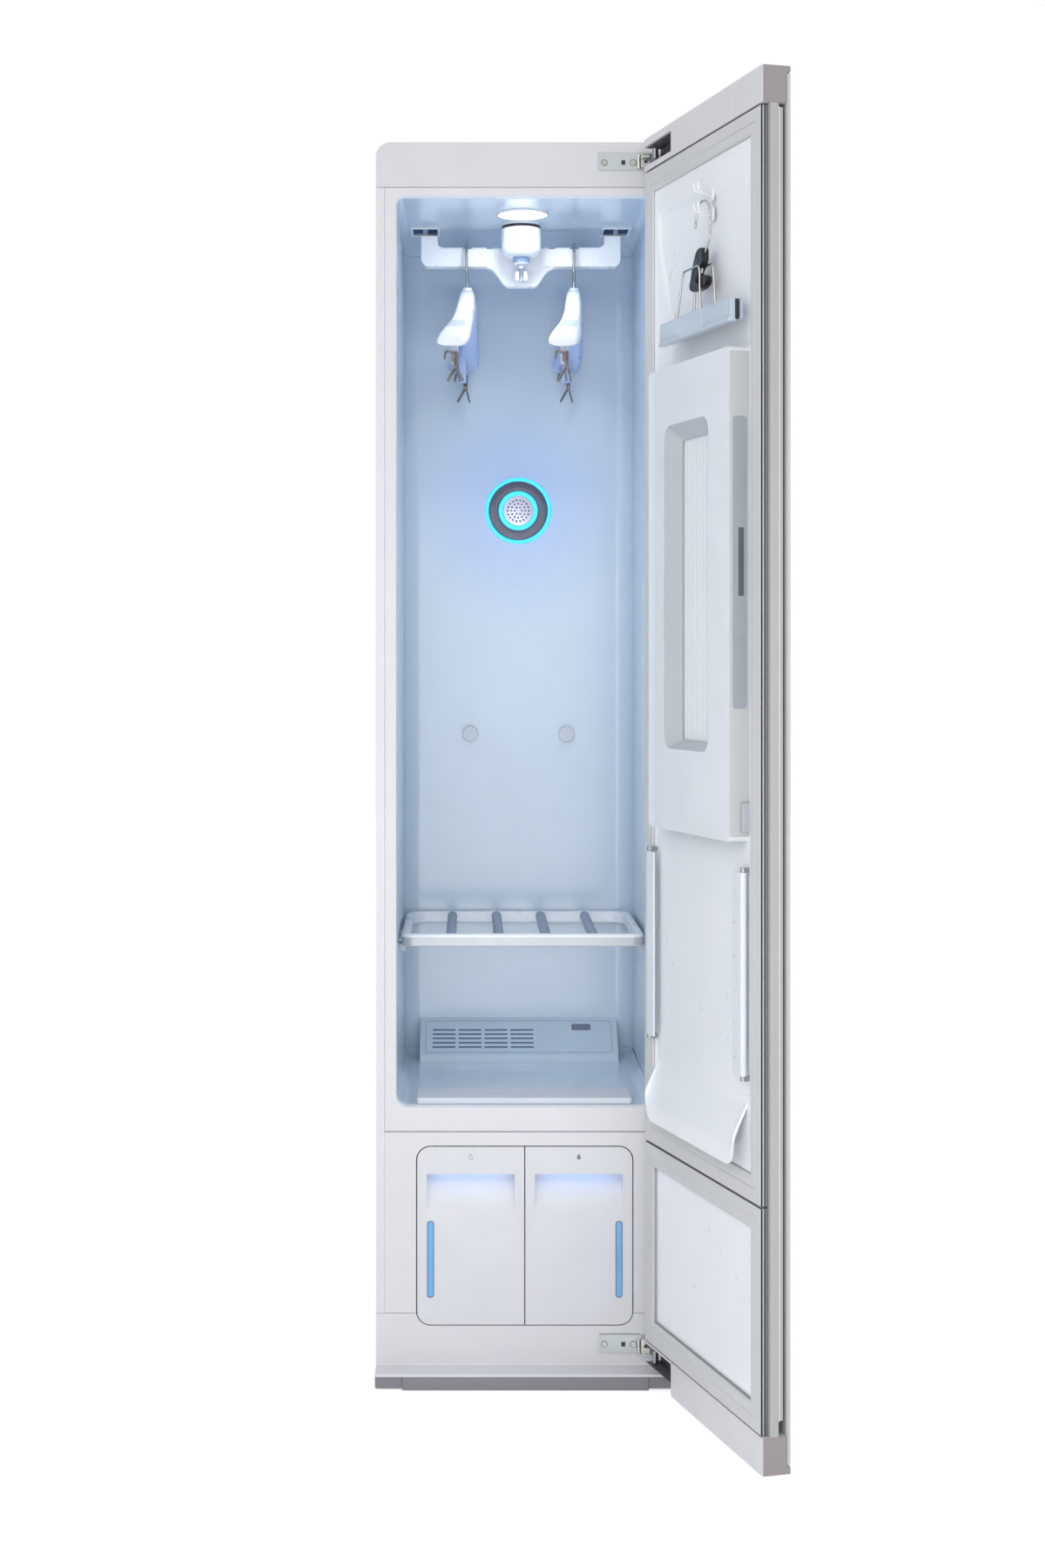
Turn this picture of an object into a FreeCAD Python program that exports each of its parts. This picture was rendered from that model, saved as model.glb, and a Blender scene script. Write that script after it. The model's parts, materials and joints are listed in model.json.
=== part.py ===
"""Clothes care steam cabinet, written as one STEP file for each sub-part.

Millimetres.  X runs to the right of a person who faces the cabinet, Y runs back from the plane of
its front face, and Z runs up from the floor.  The door is hinged on the right and stands open.
Door pieces are drawn as if t ran along X from the hinge edge, d along Y from the gasket's sealing
face out to the glass, and are then set on the hinge axis.
"""
import FreeCAD, Part
import math
import os

V = FreeCAD.Vector
X, Y, Z = V(1, 0, 0), V(0, 1, 0), V(0, 0, 1)
AXES = {"x": X, "y": Y, "z": Z}

# ---- driving dimensions: cabinet ----
WIDTH = 445.0
HEIGHT = 1850.0
BACK_Y = 540.0
SHEET = 1.2
CORNER_R = 22.0
PLINTH_FRONT_Y = -45.0
APRON_TOP_Z = 24.0
APRON_T = 4.0
PLINTH_BOTTOM_Z = 2.0
PLINTH_WALL = 4.0
HEADER_H = 67.0
HEADER_BOTTOM_Z = HEIGHT - HEADER_H
HEADER_DEPTH = 40.0
PANEL_T = 3.0
FLANGE_W = 13.0
FRAME_DEPTH = 20.0
RIM_BOTTOM_Z = 372.0
SURROUND_BOTTOM_Z = 101.0
SURROUND_DEPTH = 14.0
SEAM = 0.5
COVE_R = 2.0
PLINTH_R = 4.0
PLINTH_STEP_W = 364.0
PLINTH_FLANGE_W = 340.0
PLINTH_FLANGE_BACK_Y = 30.0
PLINTH_FLANGE_T = 3.0
LOUVRE_X = (-130.0, 50.0, 130.0)
LOUVRE_Z = (72.5, 324.5)
LOUVRES = 19
LOUVRE_W = 60.0
LOUVRE_H = 5.0

# ---- driving dimensions: cavity ----
CAVITY_W = 384.0
CAVITY_BOTTOM_Z = 409.0
CAVITY_RIM = 13.0
CAVITY_TOP_Z = HEADER_BOTTOM_Z - CAVITY_RIM
CAVITY_BACK_GAP = 95.0
CAVITY_BACK_Y = BACK_Y - CAVITY_BACK_GAP
LINER_T = 2.5
CAVITY_BACK_R = 28.0
CAVITY_TOP_R = 12.0
CAVITY_BOTTOM_R = 18.0
FLOOR_EDGE_H = 14.0
CORNER_STAVES = 3
FLOOR_VENT_W = 240.0
FLOOR_VENT_BACK = (61.0, 7.0)
FOAM_FRONT_Y = 25.0
FOAM_TOP_GAP = 10.0

# ---- driving dimensions: ceiling drive and hanger bar ----
LAMP_Y = 135.0
LAMP_D = 80.0
DRIVE_Y = 220.0
LAMP_BASE_H = 10.0
BEZEL_W = 4.0
CUP_D = 62.0
CUP_WALL = 3.0
CUP_FLOOR = 5.0
CUP_H = 52.0
CUP_BOTTOM_Z = CAVITY_TOP_Z - CUP_H
NECK_D = 26.0
NECK_H = 12.0
NECK_BOTTOM_Z = CUP_BOTTOM_Z - NECK_H
NECK_IN = 12.0
GEAR_CASE = (84.0, 64.0, 40.0)
GEAR_CASE_R = 8.0
CRANK_D = 10.0
CRANK_IN = 20.0
CRANK_THROW = 12.0
CRANK_ARM_W = 12.0
CRANK_ARM_T = 6.0
PIN_D = 6.0
PIN_DROP = 25.0
PIN_BOTTOM_Z = NECK_BOTTOM_Z - PIN_DROP
FORK_CLEARANCE = 0.6
RUNNING_FIT = 0.05
BAR_W = 320.0
BAR_Y = (254.0, 280.0)
BAR_DROP = 30.0
BAR_H = 31.0
BAR_Z = (CAVITY_TOP_Z - BAR_DROP - BAR_H, CAVITY_TOP_Z - BAR_DROP)
BAR_ARM_W = 26.0
BAR_ARM_GAP = 12.0
BAR_ARM_TOP_Z = CAVITY_TOP_Z - BAR_ARM_GAP
BAR_R = 4.0
BAR_END_R = 12.0
BAR_BEND_R = 8.0
BULGE_R = (30.0, 14.0)
BULGE_HALF = (47.0, 26.0)
BULGE_DROP = 4.0
BULGE_T = 20.0
FORK_W = 18.0
FORK_H = 13.5
CARRIAGE = (30.0, 20.0, 20.0)
STEM_X = 154.0
STEM_Y = 281.0
STEM_D = 8.0
SLOT_W = 39.0
SLOT_L = 58.0
GUIDE_D = 10.0
GUIDE_RISE = 30.0
GUIDE_Z = CAVITY_TOP_Z + GUIDE_RISE
GUIDE_SPAN = 88.0
GUIDE_POST = (6.0, 22.0)
GUIDE_POST_OVER = 10.0
HANGER_X = 86.0
SPARE_NOTCH_X = 50.0
SPARE_NOTCH_W = 10.0
NOTCH_W = 14.0
NOTCH_DEEP = 3.0
HANGER_YAW = -3.0
HANGER_SWEEP = -17.0
HANGER_SWEEP_POWER = 4
HANGER_Y = 267.0
HANGER_END_GAP = 14.0
HANGER_HALF = CAVITY_BACK_Y - HANGER_Y - HANGER_END_GAP
NECK_TOP_DROP = 33.0
NECK_TOP_Z = BAR_Z[0] - NECK_TOP_DROP
HOOK_ROOM = 9.0
HOOK_TIP = 12.0
WIRE_D = 5.0
WIRE_BEND = 8.0
WIRE_IN = 12.0
BEND_SPARE = 0.1
HANGER_STUB_D = 16.0
HANGER_SHOULDERS = (
    (0.0, 24.0, 27.0, 44.0),
    (0.4, 50.0, 28.0, 38.0),
    (0.7, 79.0, 33.0, 35.0),
    (0.9, 98.0, 46.0, 29.0),
    (1.0, 108.0, 46.0, 14.0),
)
SHOULDER_EDGE = 0.35
SHOULDER_FOOT = 0.8
LUG_W = 12.0
LUG_L = 8.0

# ---- driving dimensions: fittings in the cavity ----
NOZZLE_Z = 1329.0
NOZZLE_DS = (112.0, 99.0, 67.0, 50.0)
NOZZLE_T = 4.0
BUFFER_X = 81.0
BUFFER_Z = 952.0
BUFFER_D = 26.0
BUFFER_T = 12.0
NOZZLE_CIRCLES = ((6.0, 6), (12.0, 12), (18.0, 18))
NOZZLE_HOLE_D = 2.4
SHELF_FRONT_Y = 113.0
SHELF_BACK_GAP = 5.0
SHELF_BACK_Y = CAVITY_BACK_Y - SHELF_BACK_GAP
SHELF_Z = (634.0, 654.0)
SHELF_SIDE_GAP = 4.0
SHELF_W = CAVITY_W - 2 * SHELF_SIDE_GAP
SHELF_RAIL = 12.0
SHELF_R = 38.0
SHELF_FRONT_R = 18.0
SHELF_ROD_D = 16.0
SHELF_ROD_X = (-111.0, -37.0, 37.0, 111.0)
VENT_W = 330.0
VENT_DEPTH = (75.0, 5.0)
VENT_RISE = (12.0, 63.0)
VENT_FOOT = (CAVITY_BACK_Y - VENT_DEPTH[0], CAVITY_BOTTOM_Z + VENT_RISE[0])
VENT_HEAD = (CAVITY_BACK_Y - VENT_DEPTH[1], CAVITY_BOTTOM_Z + VENT_RISE[1])
VENT_SKIN = 3.0
VENT_ROWS = 5
VENT_COLUMNS = 4
VENT_SLOT = (38.0, 4.5)
VENT_PITCH = (43.5, 8.0)
VENT_FIRST_X = -144.0
VENT_FIRST_Y = 14.0
FILTER_W = 300.0
FILTER_Y = (30.0, 92.0)
FILTER_LID_H = 10.0
FILTER_LID_OVER = (12.0, 10.0)
FILTER_WALL = 3.0
FILTER_LID_R = 5.0

# ---- driving dimensions: tanks ----
TANK_W = 160.0
TANK_GAP = 1.5
TANK_Z = (84.0, 349.5)
TANK_DEPTH = 195.0
TANK_WALL = 2.5
TANK_R = 20.0
BAY_GAP = 1.5
BAY_SHEET = 2.0
BAY_BEHIND = 12.0
RUNNER_W = 8.0
RUNNER_APART = 80.0
GRIP_W = 131.0
GRIP_Z = (252.0, 309.0)
GRIP_DEEP = 24.0
GRIP_KNEE = (2.0, 13.0, 5.0)
WINDOW_W = 9.0
WINDOW_Z = (125.0, 238.0)
WINDOW_EDGE = 15.0

# ---- driving dimensions: door ----
DOOR_W = 440.0
DOOR_GAP = 1.0
DOOR_OPEN = 105.76
DOOR_FOOT_GAP = 2.0
DOOR_TOP_GAP = 7.0
DOOR_Z = (APRON_TOP_Z + DOOR_FOOT_GAP, HEIGHT - DOOR_TOP_GAP)
GLASS_INSET = (10.0, 8.0)
GLASS_Z = (DOOR_Z[0] + GLASS_INSET[0], DOOR_Z[1] - GLASS_INSET[1])
GLASS_T = 4.5
DOOR_T = 39.5
CAP_H = (49.0, 48.0)
AXIS_IN = 7.05
AXIS_DEEP = 38.2
GASKET_T = 11.0
GASKET_OUT = (3.0, 433.0)
GASKET_IN = (37.0, 400.0)
GASKET_SPLIT_Z = RIM_BOTTOM_Z - 2.0
GASKET_EDGE = 1.0
FOLD_D = (2.5, 6.5)
FOLD_W = 1.8
FOLD_DEEP = 3.0
HOLE_EDGE = (2.0, 10.0)
UPPER_HOLE_Z = (CAVITY_BOTTOM_Z - HOLE_EDGE[0], CAVITY_TOP_Z - HOLE_EDGE[1])
LOWER_HOLE_Z = (110.0, 338.0)
LINER_FACE = 5.0
FIT = 0.3
CHANNEL_D = (23.0, 33.0)
CHANNEL_DEEP = 26.0
DOOR_WALL = 3.0
DOOR_R = 3.0
GLASS_R = 4.0
CAP_GROOVE = 0.8
POCKET_T = 111.0
POCKET_DEEP = 27.5
POCKET_DROP = (47.0, 18.0)
POCKET_TOP_Z = (HEIGHT - POCKET_DROP[0], HEIGHT - POCKET_DROP[1])
POCKET_LOW_Z = 72.0
CAP_SEAM_T = 331.0

# ---- driving dimensions: hinge hardware ----
LINK_PIN_IN = 26.0
LINK_PIN = (DOOR_W / 2 - LINK_PIN_IN, -14.0)
LINK_LENGTH = 48.0
LINK_ANGLE = -95.0
LINK_W = 9.0
LINK_BOSS_R = 6.0
HINGE_PIN_D = 6.0
BRACKET_IN = (111.0, 15.0)
BRACKET_X = (DOOR_W / 2 - BRACKET_IN[0], DOOR_W / 2 - BRACKET_IN[1])
BRACKET_T = 0.8
BRACKET_PAD_T = 2.4
BRACKET_TOP_DROP = (42.0, 20.0)
BRACKET_LOW_Z = (43.0, 68.0)
BRACKET_Z = ((HEIGHT - BRACKET_TOP_DROP[0], HEIGHT - BRACKET_TOP_DROP[1]), BRACKET_LOW_Z)
BRACKET_H = 27.0
BRACKET_EDGE = 3.0
WINDOW_IN = 73.0
BRACKET_WINDOW = (DOOR_W / 2 - WINDOW_IN, 6.0, 7.0)
LUG_T = 3.0
BRACKET_LUG_W = 14.0
SCREW_IN = (101.4, 58.4)
SCREW_X = [DOOR_W / 2 - inside for inside in SCREW_IN]
SCREW_D = 4.0
SCREW_REACH = 9.0
SCREW_HEAD_D = 7.6
SCREW_HEAD_T = 2.0
CROSS_SIZE = (4.6, 0.9)
CROSS_DEEP = 1.2

# ---- driving dimensions: door fittings ----
PRESS_T = (88.0, 392.0)
PRESS_D = (-25.0, 3.0)
PRESS_SKIN = 4.0
PRESS_WALL = 3.0
PRESS_R = 10.0
PRESS_AXIS_T = 83.0
PRESS_HINGE_INSET = 66.0
PRESS_WINDOW_T = (151.0, 316.0)
PRESS_WINDOW_INSET = (114.0, 83.0)
PRESS_WINDOW_R = 22.0
PAD_T = (112.0, 380.0)
PAD_INSET = 13.0
PAD_FACE = -9.0
PAD_RIBS = 24
PAD_R = 8.0
PAD_MARGIN = 12.0
PAD_GROOVE = (3.0, 1.5)
LATCH_RISE = 42.0
LATCH_H = 90.0
LATCH_TRAVEL = 8.0
LATCH_PROUD = 0.6
CATCH_H = 38.0
CATCH_OUT = 10.0
HEM_T = (42.0, 391.0)
HEM_W = 26.0
HEM_Z = (533.0, 799.0)
HEM_D = -6.0
HEM_HOLES = 6
HEM_HOLE_D = 4.0
HEM_HOLE_IN = 8.0
FLAP_BACK = 1.8
FLAP_T = 2.7
HOOK_T = 255.0
HOOK_DROP = (75.5, 48.0)
HOOK_Z = (CAVITY_TOP_Z - HOOK_DROP[0], CAVITY_TOP_Z - HOOK_DROP[1])
HANG_D = -10.0
PRONG_W = 10.0
PRONG_H = 8.0
PRONG_TIP = (3.0, 6.0)
HOOK_PLATE = (30.0, 4.0, 18.0, 8.0)
YOKE_HALF = 45.0
CLAMP_T = (125.0, 374.0)
CLAMP_DROP = (174.5, 142.5)
CLAMP_Z = (HOOK_Z[0] - CLAMP_DROP[0], HOOK_Z[0] - CLAMP_DROP[1])
CLAMP_D = (-20.0, -2.0)
CLAMP_R = 4.0
CLAMP_SLOT = (2.0, 8.0)
LOCK_DROP = (94.5, 54.5)
LOCK_Z = (HOOK_Z[0] - LOCK_DROP[0], HOOK_Z[0] - LOCK_DROP[1])
LOCK_SIZE = (22.0, 12.0)
LOCK_R = 3.0
RAMP_T = (60.0, 380.0)
RAMP_LOW_Z = CAVITY_BOTTOM_Z + 2.0
RAMP_SECTION = ((-12.0, 0.0), (-19.0, 16.0), (-17.0, 28.0), (6.0, 94.0))
PRESS_GAP = (40.0, 33.0)
PRESS_Z = (HEM_Z[1] + PRESS_GAP[0], CLAMP_Z[0] - PRESS_GAP[1])
PRESS_HINGE_Z = (PRESS_Z[0] + PRESS_HINGE_INSET, PRESS_Z[1] - PRESS_HINGE_INSET)
PRESS_WINDOW_Z = (PRESS_Z[0] + PRESS_WINDOW_INSET[0], PRESS_Z[1] - PRESS_WINDOW_INSET[1])
PAD_Z = (PRESS_Z[0] + PAD_INSET, PRESS_Z[1] - PAD_INSET)
LATCH_MIDDLE_Z = (PRESS_Z[0] + PRESS_Z[1]) / 2 + LATCH_RISE
LATCH_Z = (LATCH_MIDDLE_Z - LATCH_H / 2, LATCH_MIDDLE_Z + LATCH_H / 2)
CATCH_Z = (PAD_Z[0], PAD_Z[0] + CATCH_H)

# ---- driving dimensions: small fittings ----
FOOT_BLOCK = 46.0
FOOT_PAD_D = 34.0
FOOT_PAD_H = 6.0
FOOT_NUT_D = 20.0
FOOT_NUT_H = 2.0
FOOT_STEM_D = 8.0
PAN_T = 1.5
PAN_SIDE_H = 30.0
LID_T = 6.0
LID_EDGE = 14.0
LID_FRONT_Y = 40.0
RUNNER_GAP = 0.1
GRIP_LIP_T = 4.0
GRIP_OVER = 8.0
WINDOW_SEAT = 1.2
WINDOW_FRAME = 5.0
BEZEL_T = 2.0
REST_OUT = 10.0
REST_L = 24.0
REST_H = 12.0
REST_INSET = (57.0, 60.0)
REST_Y = (SHELF_FRONT_Y + REST_INSET[0], SHELF_BACK_Y - REST_INSET[1])
FILTER_BOTTOM_Z = 360.0
RAIL_DROP = 133.0
RAIL_Z = NECK_TOP_Z - RAIL_DROP
RAIL_D = 5.0
RAIL_END_GAP = 8.0
RAIL_HALF = HANGER_HALF - RAIL_END_GAP
CLIP_JAW = (
    (9.0, -14.0), (12.0, -13.0), (6.0, 2.0), (5.5, 6.0), (9.0, 22.0),
    (4.0, 36.0), (0.8, 36.0), (5.5, 21.0), (1.5, 4.0), (3.0, 0.0),
)
CLIP_W = 30.0
CLIP_OUT = 1.0
LUG_IN = 36.0
LUG_Y = RAIL_HALF - LUG_IN
CLIP_WALL = 2.5
DOOR_PIN_D = 4.0
STAND_W = 8.0
STAND_H = 6.0
KNUCKLE_D = 9.0
KNUCKLE_H = 20.0
WINDOW_BACK = -18.0
LATCH_D = (-14.0, -5.0)
TROUSER_WIRE_D = 4.0
TROUSER_HOOK_ROOM = 3.0
TROUSER_BEND = 6.0
TROUSER_KNOT = 12.0
TROUSER_JOG = (16.0, 32.0)
TROUSER_TIP = 6.0
YOKE_FOOT = 8.0

# ---- driving dimensions: machine room ----
COMPRESSOR_PLACE = (-130.0, BACK_Y - 100.0)
COMPRESSOR_D = 120.0
COMPRESSOR_TOP_Z = 235.0
COMPRESSOR_PLATE = (120.0, 100.0, 4.0)
COMPRESSOR_FEET = (96.0, 76.0)
COMPRESSOR_FOOT = (20.0, 8.0)
COMPRESSOR_R = 18.0
DUCT_X = (12.0, 212.0)
DUCT_BACK_GAP = 62.0
DUCT_Y = (245.0, BACK_Y - DUCT_BACK_GAP)
DUCT_TOP_Z = 330.0
DUCT_T = 2.0
DUCT_MOUTH_X = (32.0, 120.0)
DUCT_MOUTH_Y = (250.0, 285.0)
COIL_X = (30.0, 193.5)
COIL_Z = (62.0, 300.0)
FINS = 19
FIN_T = 1.5
COIL_TUBES = 6
COIL_TUBE_D = 9.0
COIL_TUBE_Z = (82.0, 282.0)
FAN_PLACE = (112.0, 190.0)
FAN_D = 170.0
FAN_BACK_GAP = (78.0, 18.0)
FAN_Y = (DUCT_Y[1] - FAN_BACK_GAP[0], DUCT_Y[1] - FAN_BACK_GAP[1])
FAN_BLADES = 16
FAN_HUB_D = 40.0
FAN_PLATE_T = 3.0
FAN_RIM = 4.0
FAN_WALL_GAP = (8.0, 5.0)
COIL_GAPS = (11.0, 5.0, 51.0)
COIL_DEPTH = (FAN_Y[0] - FAN_WALL_GAP[0] - DUCT_Y[0] - sum(COIL_GAPS)) / 2
COIL_FIRST_Y = DUCT_Y[0] + COIL_GAPS[0]
COIL_Y = (COIL_FIRST_Y, COIL_FIRST_Y + COIL_DEPTH + COIL_GAPS[1])
FAN_INLET_D = 110.0
BLADE_T = 2.0
BLADE_IN = 18.0
MOTOR_LENGTH = 50.0
MOTOR_D = 70.0
MOTOR_SHAFT_D = 8.0
MOTOR_SHAFT_IN = 30.0
MOTOR_FLANGE = (90.0, 3.0)
SHAFT_HOLE_D = 24.0
RISER_X = (-70.0, 205.0)
RISER_MOUTH_X = (20.0, 200.0)
RISER_OVER = 75.0
STEAM_X = (-200.0, -100.0)
STEAM_FRONT_GAP = 8.0
STEAM_DEPTH = 95.0
STEAM_FRONT_Y = TANK_DEPTH + BAY_BEHIND + STEAM_FRONT_GAP
STEAM_Y = (STEAM_FRONT_Y, STEAM_FRONT_Y + STEAM_DEPTH)
STEAM_TOP_Z = 190.0
STEAM_R = 12.0
STEAM_OUT = (-150.0, STEAM_FRONT_Y + 75.0)
HOSE_D = 14.0
HOSE_STUB = 12.0
HOSE_RISE = 50.0
HOSE_SHIFT = 30.0
HOSE_BEND = 30.0
PIPE_D = 8.0
PIPE_BEND = 16.0
PIPE_STARTS = ((20.0, -20.0, 262.0), (10.0, 24.0, 290.0))
PUMP_X = (-70.0, -20.0)
PUMP_Y = STEAM_FRONT_Y + 45.0
PUMP_HEAD = (40.0, 20.0)
PUMP_MOTOR = (36.0, 80.0)
CONTROL_X = (-205.0, -85.0)
CONTROL_Z = (305.0, 395.0)
CONTROL_DEPTH = 80.0
CONTROL_R = 5.0
INLET_X = -32.0
INLET_W = 48.0
INLET_Z = 120.0
INLET_H = 28.0
INLET_DEPTH = 26.0
INLET_FLANGE = (5.0, 3.0)
INLET_WALL = (4.0, 8.0)
INLET_BLADE = (2.0, 5.0)
INLET_PITCH = 7.0
INLET_BLADE_BACK = 4.0


# ---- shape helpers ----
def box(x, y, z):
    """A box between pairs of coordinates."""
    return Part.makeBox(x[1] - x[0], y[1] - y[0], z[1] - z[0], V(x[0], y[0], z[0]))


def spread(ends, count):
    """Evenly spaced coordinates from the first to the last."""
    return [ends[0] + (ends[1] - ends[0]) * n / (count - 1) for n in range(count)]


def around(middle, size):
    """The pair of coordinates of a size centred on a middle."""
    return (middle - size / 2, middle + size / 2)


def rod(diameter, start, end):
    """A round bar between two points."""
    way = V(*end) - V(*start)
    return Part.makeCylinder(diameter / 2, way.Length, V(*start), way)


def ring(outer, inner, start, end):
    """A round tube between two points."""
    return rod(outer, start, end).cut(rod(inner, start, end))


def prism(points, axis, low, high):
    """A prism along an axis, from points in the plane of the other two axes, in X, Y, Z order."""
    lift = {
        "x": lambda a, b: V(low, a, b),
        "y": lambda a, b: V(a, low, b),
        "z": lambda a, b: V(a, b, low),
    }[axis]
    corners = [lift(a, b) for a, b in points]
    face = Part.Face(Part.makePolygon(corners + corners[:1]))
    return face.extrude(AXES[axis] * (high - low))


def edges_along(shape, axis, wanted=None):
    """The straight edges along an axis whose middle passes a test."""
    found = []
    for edge in shape.Edges:
        ends = [v.Point for v in edge.Vertexes]
        if len(ends) != 2 or (ends[1] - ends[0]).cross(AXES[axis]).Length > 1e-6:
            continue
        if wanted is None or wanted(edge.CenterOfMass):
            found.append(edge)
    return found


def rounded(shape, radius, axis, wanted=None):
    """The shape with its edges along an axis rounded."""
    return shape.makeFillet(radius, edges_along(shape, axis, wanted))


def round_edges_at(shape, z):
    """The full circles of a shape at one height."""
    return [e for e in shape.Edges if abs(e.CenterOfMass.z - z) < 1 and len(e.Vertexes) == 1]


def fuse(shapes):
    """One solid from several that touch or overlap."""
    return shapes[0].fuse(shapes[1:]).removeSplitter()


def bent_rod(points, diameter, bends):
    """A round bar through points, with an arc at each inner point, of that point's radius."""
    corners = [V(*p) for p in points]
    edges = []
    start = corners[0]
    for before, here, after, bend in zip(corners, corners[1:], corners[2:], bends):
        back = (before - here).normalize()
        on = (after - here).normalize()
        half = back.getAngle(on) / 2
        reach = bend / math.tan(half)
        middle = here + (back + on).normalize() * (bend / math.sin(half) - bend)
        enter, leave = here + back * reach, here + on * reach
        edges.append(Part.LineSegment(start, enter).toShape())
        edges.append(Part.Arc(enter, middle, leave).toShape())
        start = leave
    edges.append(Part.LineSegment(start, corners[-1]).toShape())
    circle = Part.Circle(corners[0], corners[1] - corners[0], diameter / 2).toShape()
    return Part.Wire(edges).makePipeShell([Part.Wire(circle)], True, False)


def mirrored(shape):
    """The shape reflected in the cabinet's middle plane."""
    return shape.mirror(V(0, 0, 0), X)


# ---- cabinet shell ----
HALF_W = WIDTH / 2
PAN_TOP_Z = APRON_TOP_Z - APRON_T + PAN_T
FRAME_HALF = HALF_W - FLANGE_W
CAVITY_HALF = CAVITY_W / 2
LAMP_HOLE_D = LAMP_D - 2 * BEZEL_W


def outline_block(half, low, high, top, radius):
    """A block of the cabinet's front outline, with its two upper corners rounded."""
    block = box((-half, half), (low, high), (APRON_TOP_Z + SEAM, top))
    return rounded(block, radius, "y", lambda p: p.z > top - 1)


def outer_wrap():
    """One bent sheet: both sides, the top and the two flanges beside the front frame."""
    outer = outline_block(HALF_W, 0, BACK_Y - SHEET, HEIGHT, CORNER_R)
    inner = outline_block(HALF_W - SHEET, -1, BACK_Y + 1, HEIGHT - SHEET, CORNER_R - SHEET)
    inner = inner.fuse(box((SHEET - HALF_W, HALF_W - SHEET), (-1, BACK_Y + 1), (0, APRON_TOP_Z + 1)))
    header_space = box((-HALF_W, HALF_W), (-1, HEADER_DEPTH), (HEADER_BOTTOM_Z - SEAM, HEIGHT))
    panel_space = box((-HALF_W, HALF_W), (-1, PANEL_T), (0, SURROUND_BOTTOM_Z + SEAM))
    flange = box((FRAME_HALF, HALF_W), (0, SHEET), (SURROUND_BOTTOM_Z + SEAM, HEADER_BOTTOM_Z - SEAM))
    return fuse([outer.cut([inner, header_space, panel_space]), flange, mirrored(flange)])


def back_cover():
    """A flat sheet with louvres that let the machine room breathe."""
    cover = outline_block(HALF_W, BACK_Y - SHEET, BACK_Y, HEIGHT, CORNER_R)
    through = (BACK_Y - 2 * SHEET, BACK_Y + 1)
    louvres = [
        box(around(x, LOUVRE_W), through, around(z, LOUVRE_H))
        for x in LOUVRE_X
        for z in spread(LOUVRE_Z, LOUVRES)
    ]
    inlet = box(around(INLET_X, INLET_W + SEAM), through, around(INLET_Z, INLET_H + SEAM))
    return cover.cut(louvres + [inlet])


def header_panel():
    """The moulding above the door's upper gasket."""
    outer = outline_block(HALF_W, 0, HEADER_DEPTH, HEIGHT, CORNER_R)
    outer = outer.common(box((-HALF_W, HALF_W), (-1, HEADER_DEPTH), (HEADER_BOTTOM_Z, HEIGHT)))
    back = HEADER_DEPTH + 1
    inner = outline_block(HALF_W - PANEL_T, PANEL_T, back, HEIGHT - PANEL_T, CORNER_R - PANEL_T)
    inner = inner.common(box((-HALF_W, HALF_W), (0, back), (HEADER_BOTTOM_Z + PANEL_T, HEIGHT)))
    return outer.cut([inner] + screw_holes(BRACKET_Z[0]))


def cavity_block(grow, low, back):
    """The cavity's shape, grown by a wall: rounded in front view and round at its back corners."""
    half = CAVITY_HALF + grow
    z = (CAVITY_BOTTOM_Z - grow, CAVITY_TOP_Z + grow)
    front_view = box((-half, half), (low, back), z)
    front_view = rounded(front_view, CAVITY_TOP_R + grow, "y", lambda p: p.z > z[1] - 1)
    front_view = rounded(front_view, CAVITY_BOTTOM_R + grow, "y", lambda p: p.z < z[0] + 1)
    plan = box((-half, half), (low, back), z)
    plan = rounded(plan, CAVITY_BACK_R + grow, "z", lambda p: p.y > back - 1)
    return front_view.common(plan)


def front_frame():
    """The ring that faces the door around the cavity: two stiles between two rails."""
    z = (RIM_BOTTOM_Z + SEAM, HEADER_BOTTOM_Z - SEAM)
    width = (-FRAME_HALF, FRAME_HALF)
    plate = box(width, (0, FRAME_DEPTH), z).cut(cavity_block(0, -CAVITY_BACK_R, CAVITY_BACK_Y))
    joints = (z[0], CAVITY_BOTTOM_Z + CAVITY_BOTTOM_R, CAVITY_TOP_Z - CAVITY_TOP_R, z[1])
    bands = [plate.common(box(width, (0, FRAME_DEPTH), span)) for span in zip(joints, joints[1:])]
    return Part.makeCompound([solid for band in bands for solid in band.Solids])


def stem_slot(side, grow, z):
    """The room of one arm of the hanger bar in the ceiling, grown all round."""
    return box(around(side * STEM_X, SLOT_W + 2 * grow), around(STEM_Y, SLOT_L + 2 * grow), z)


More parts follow.
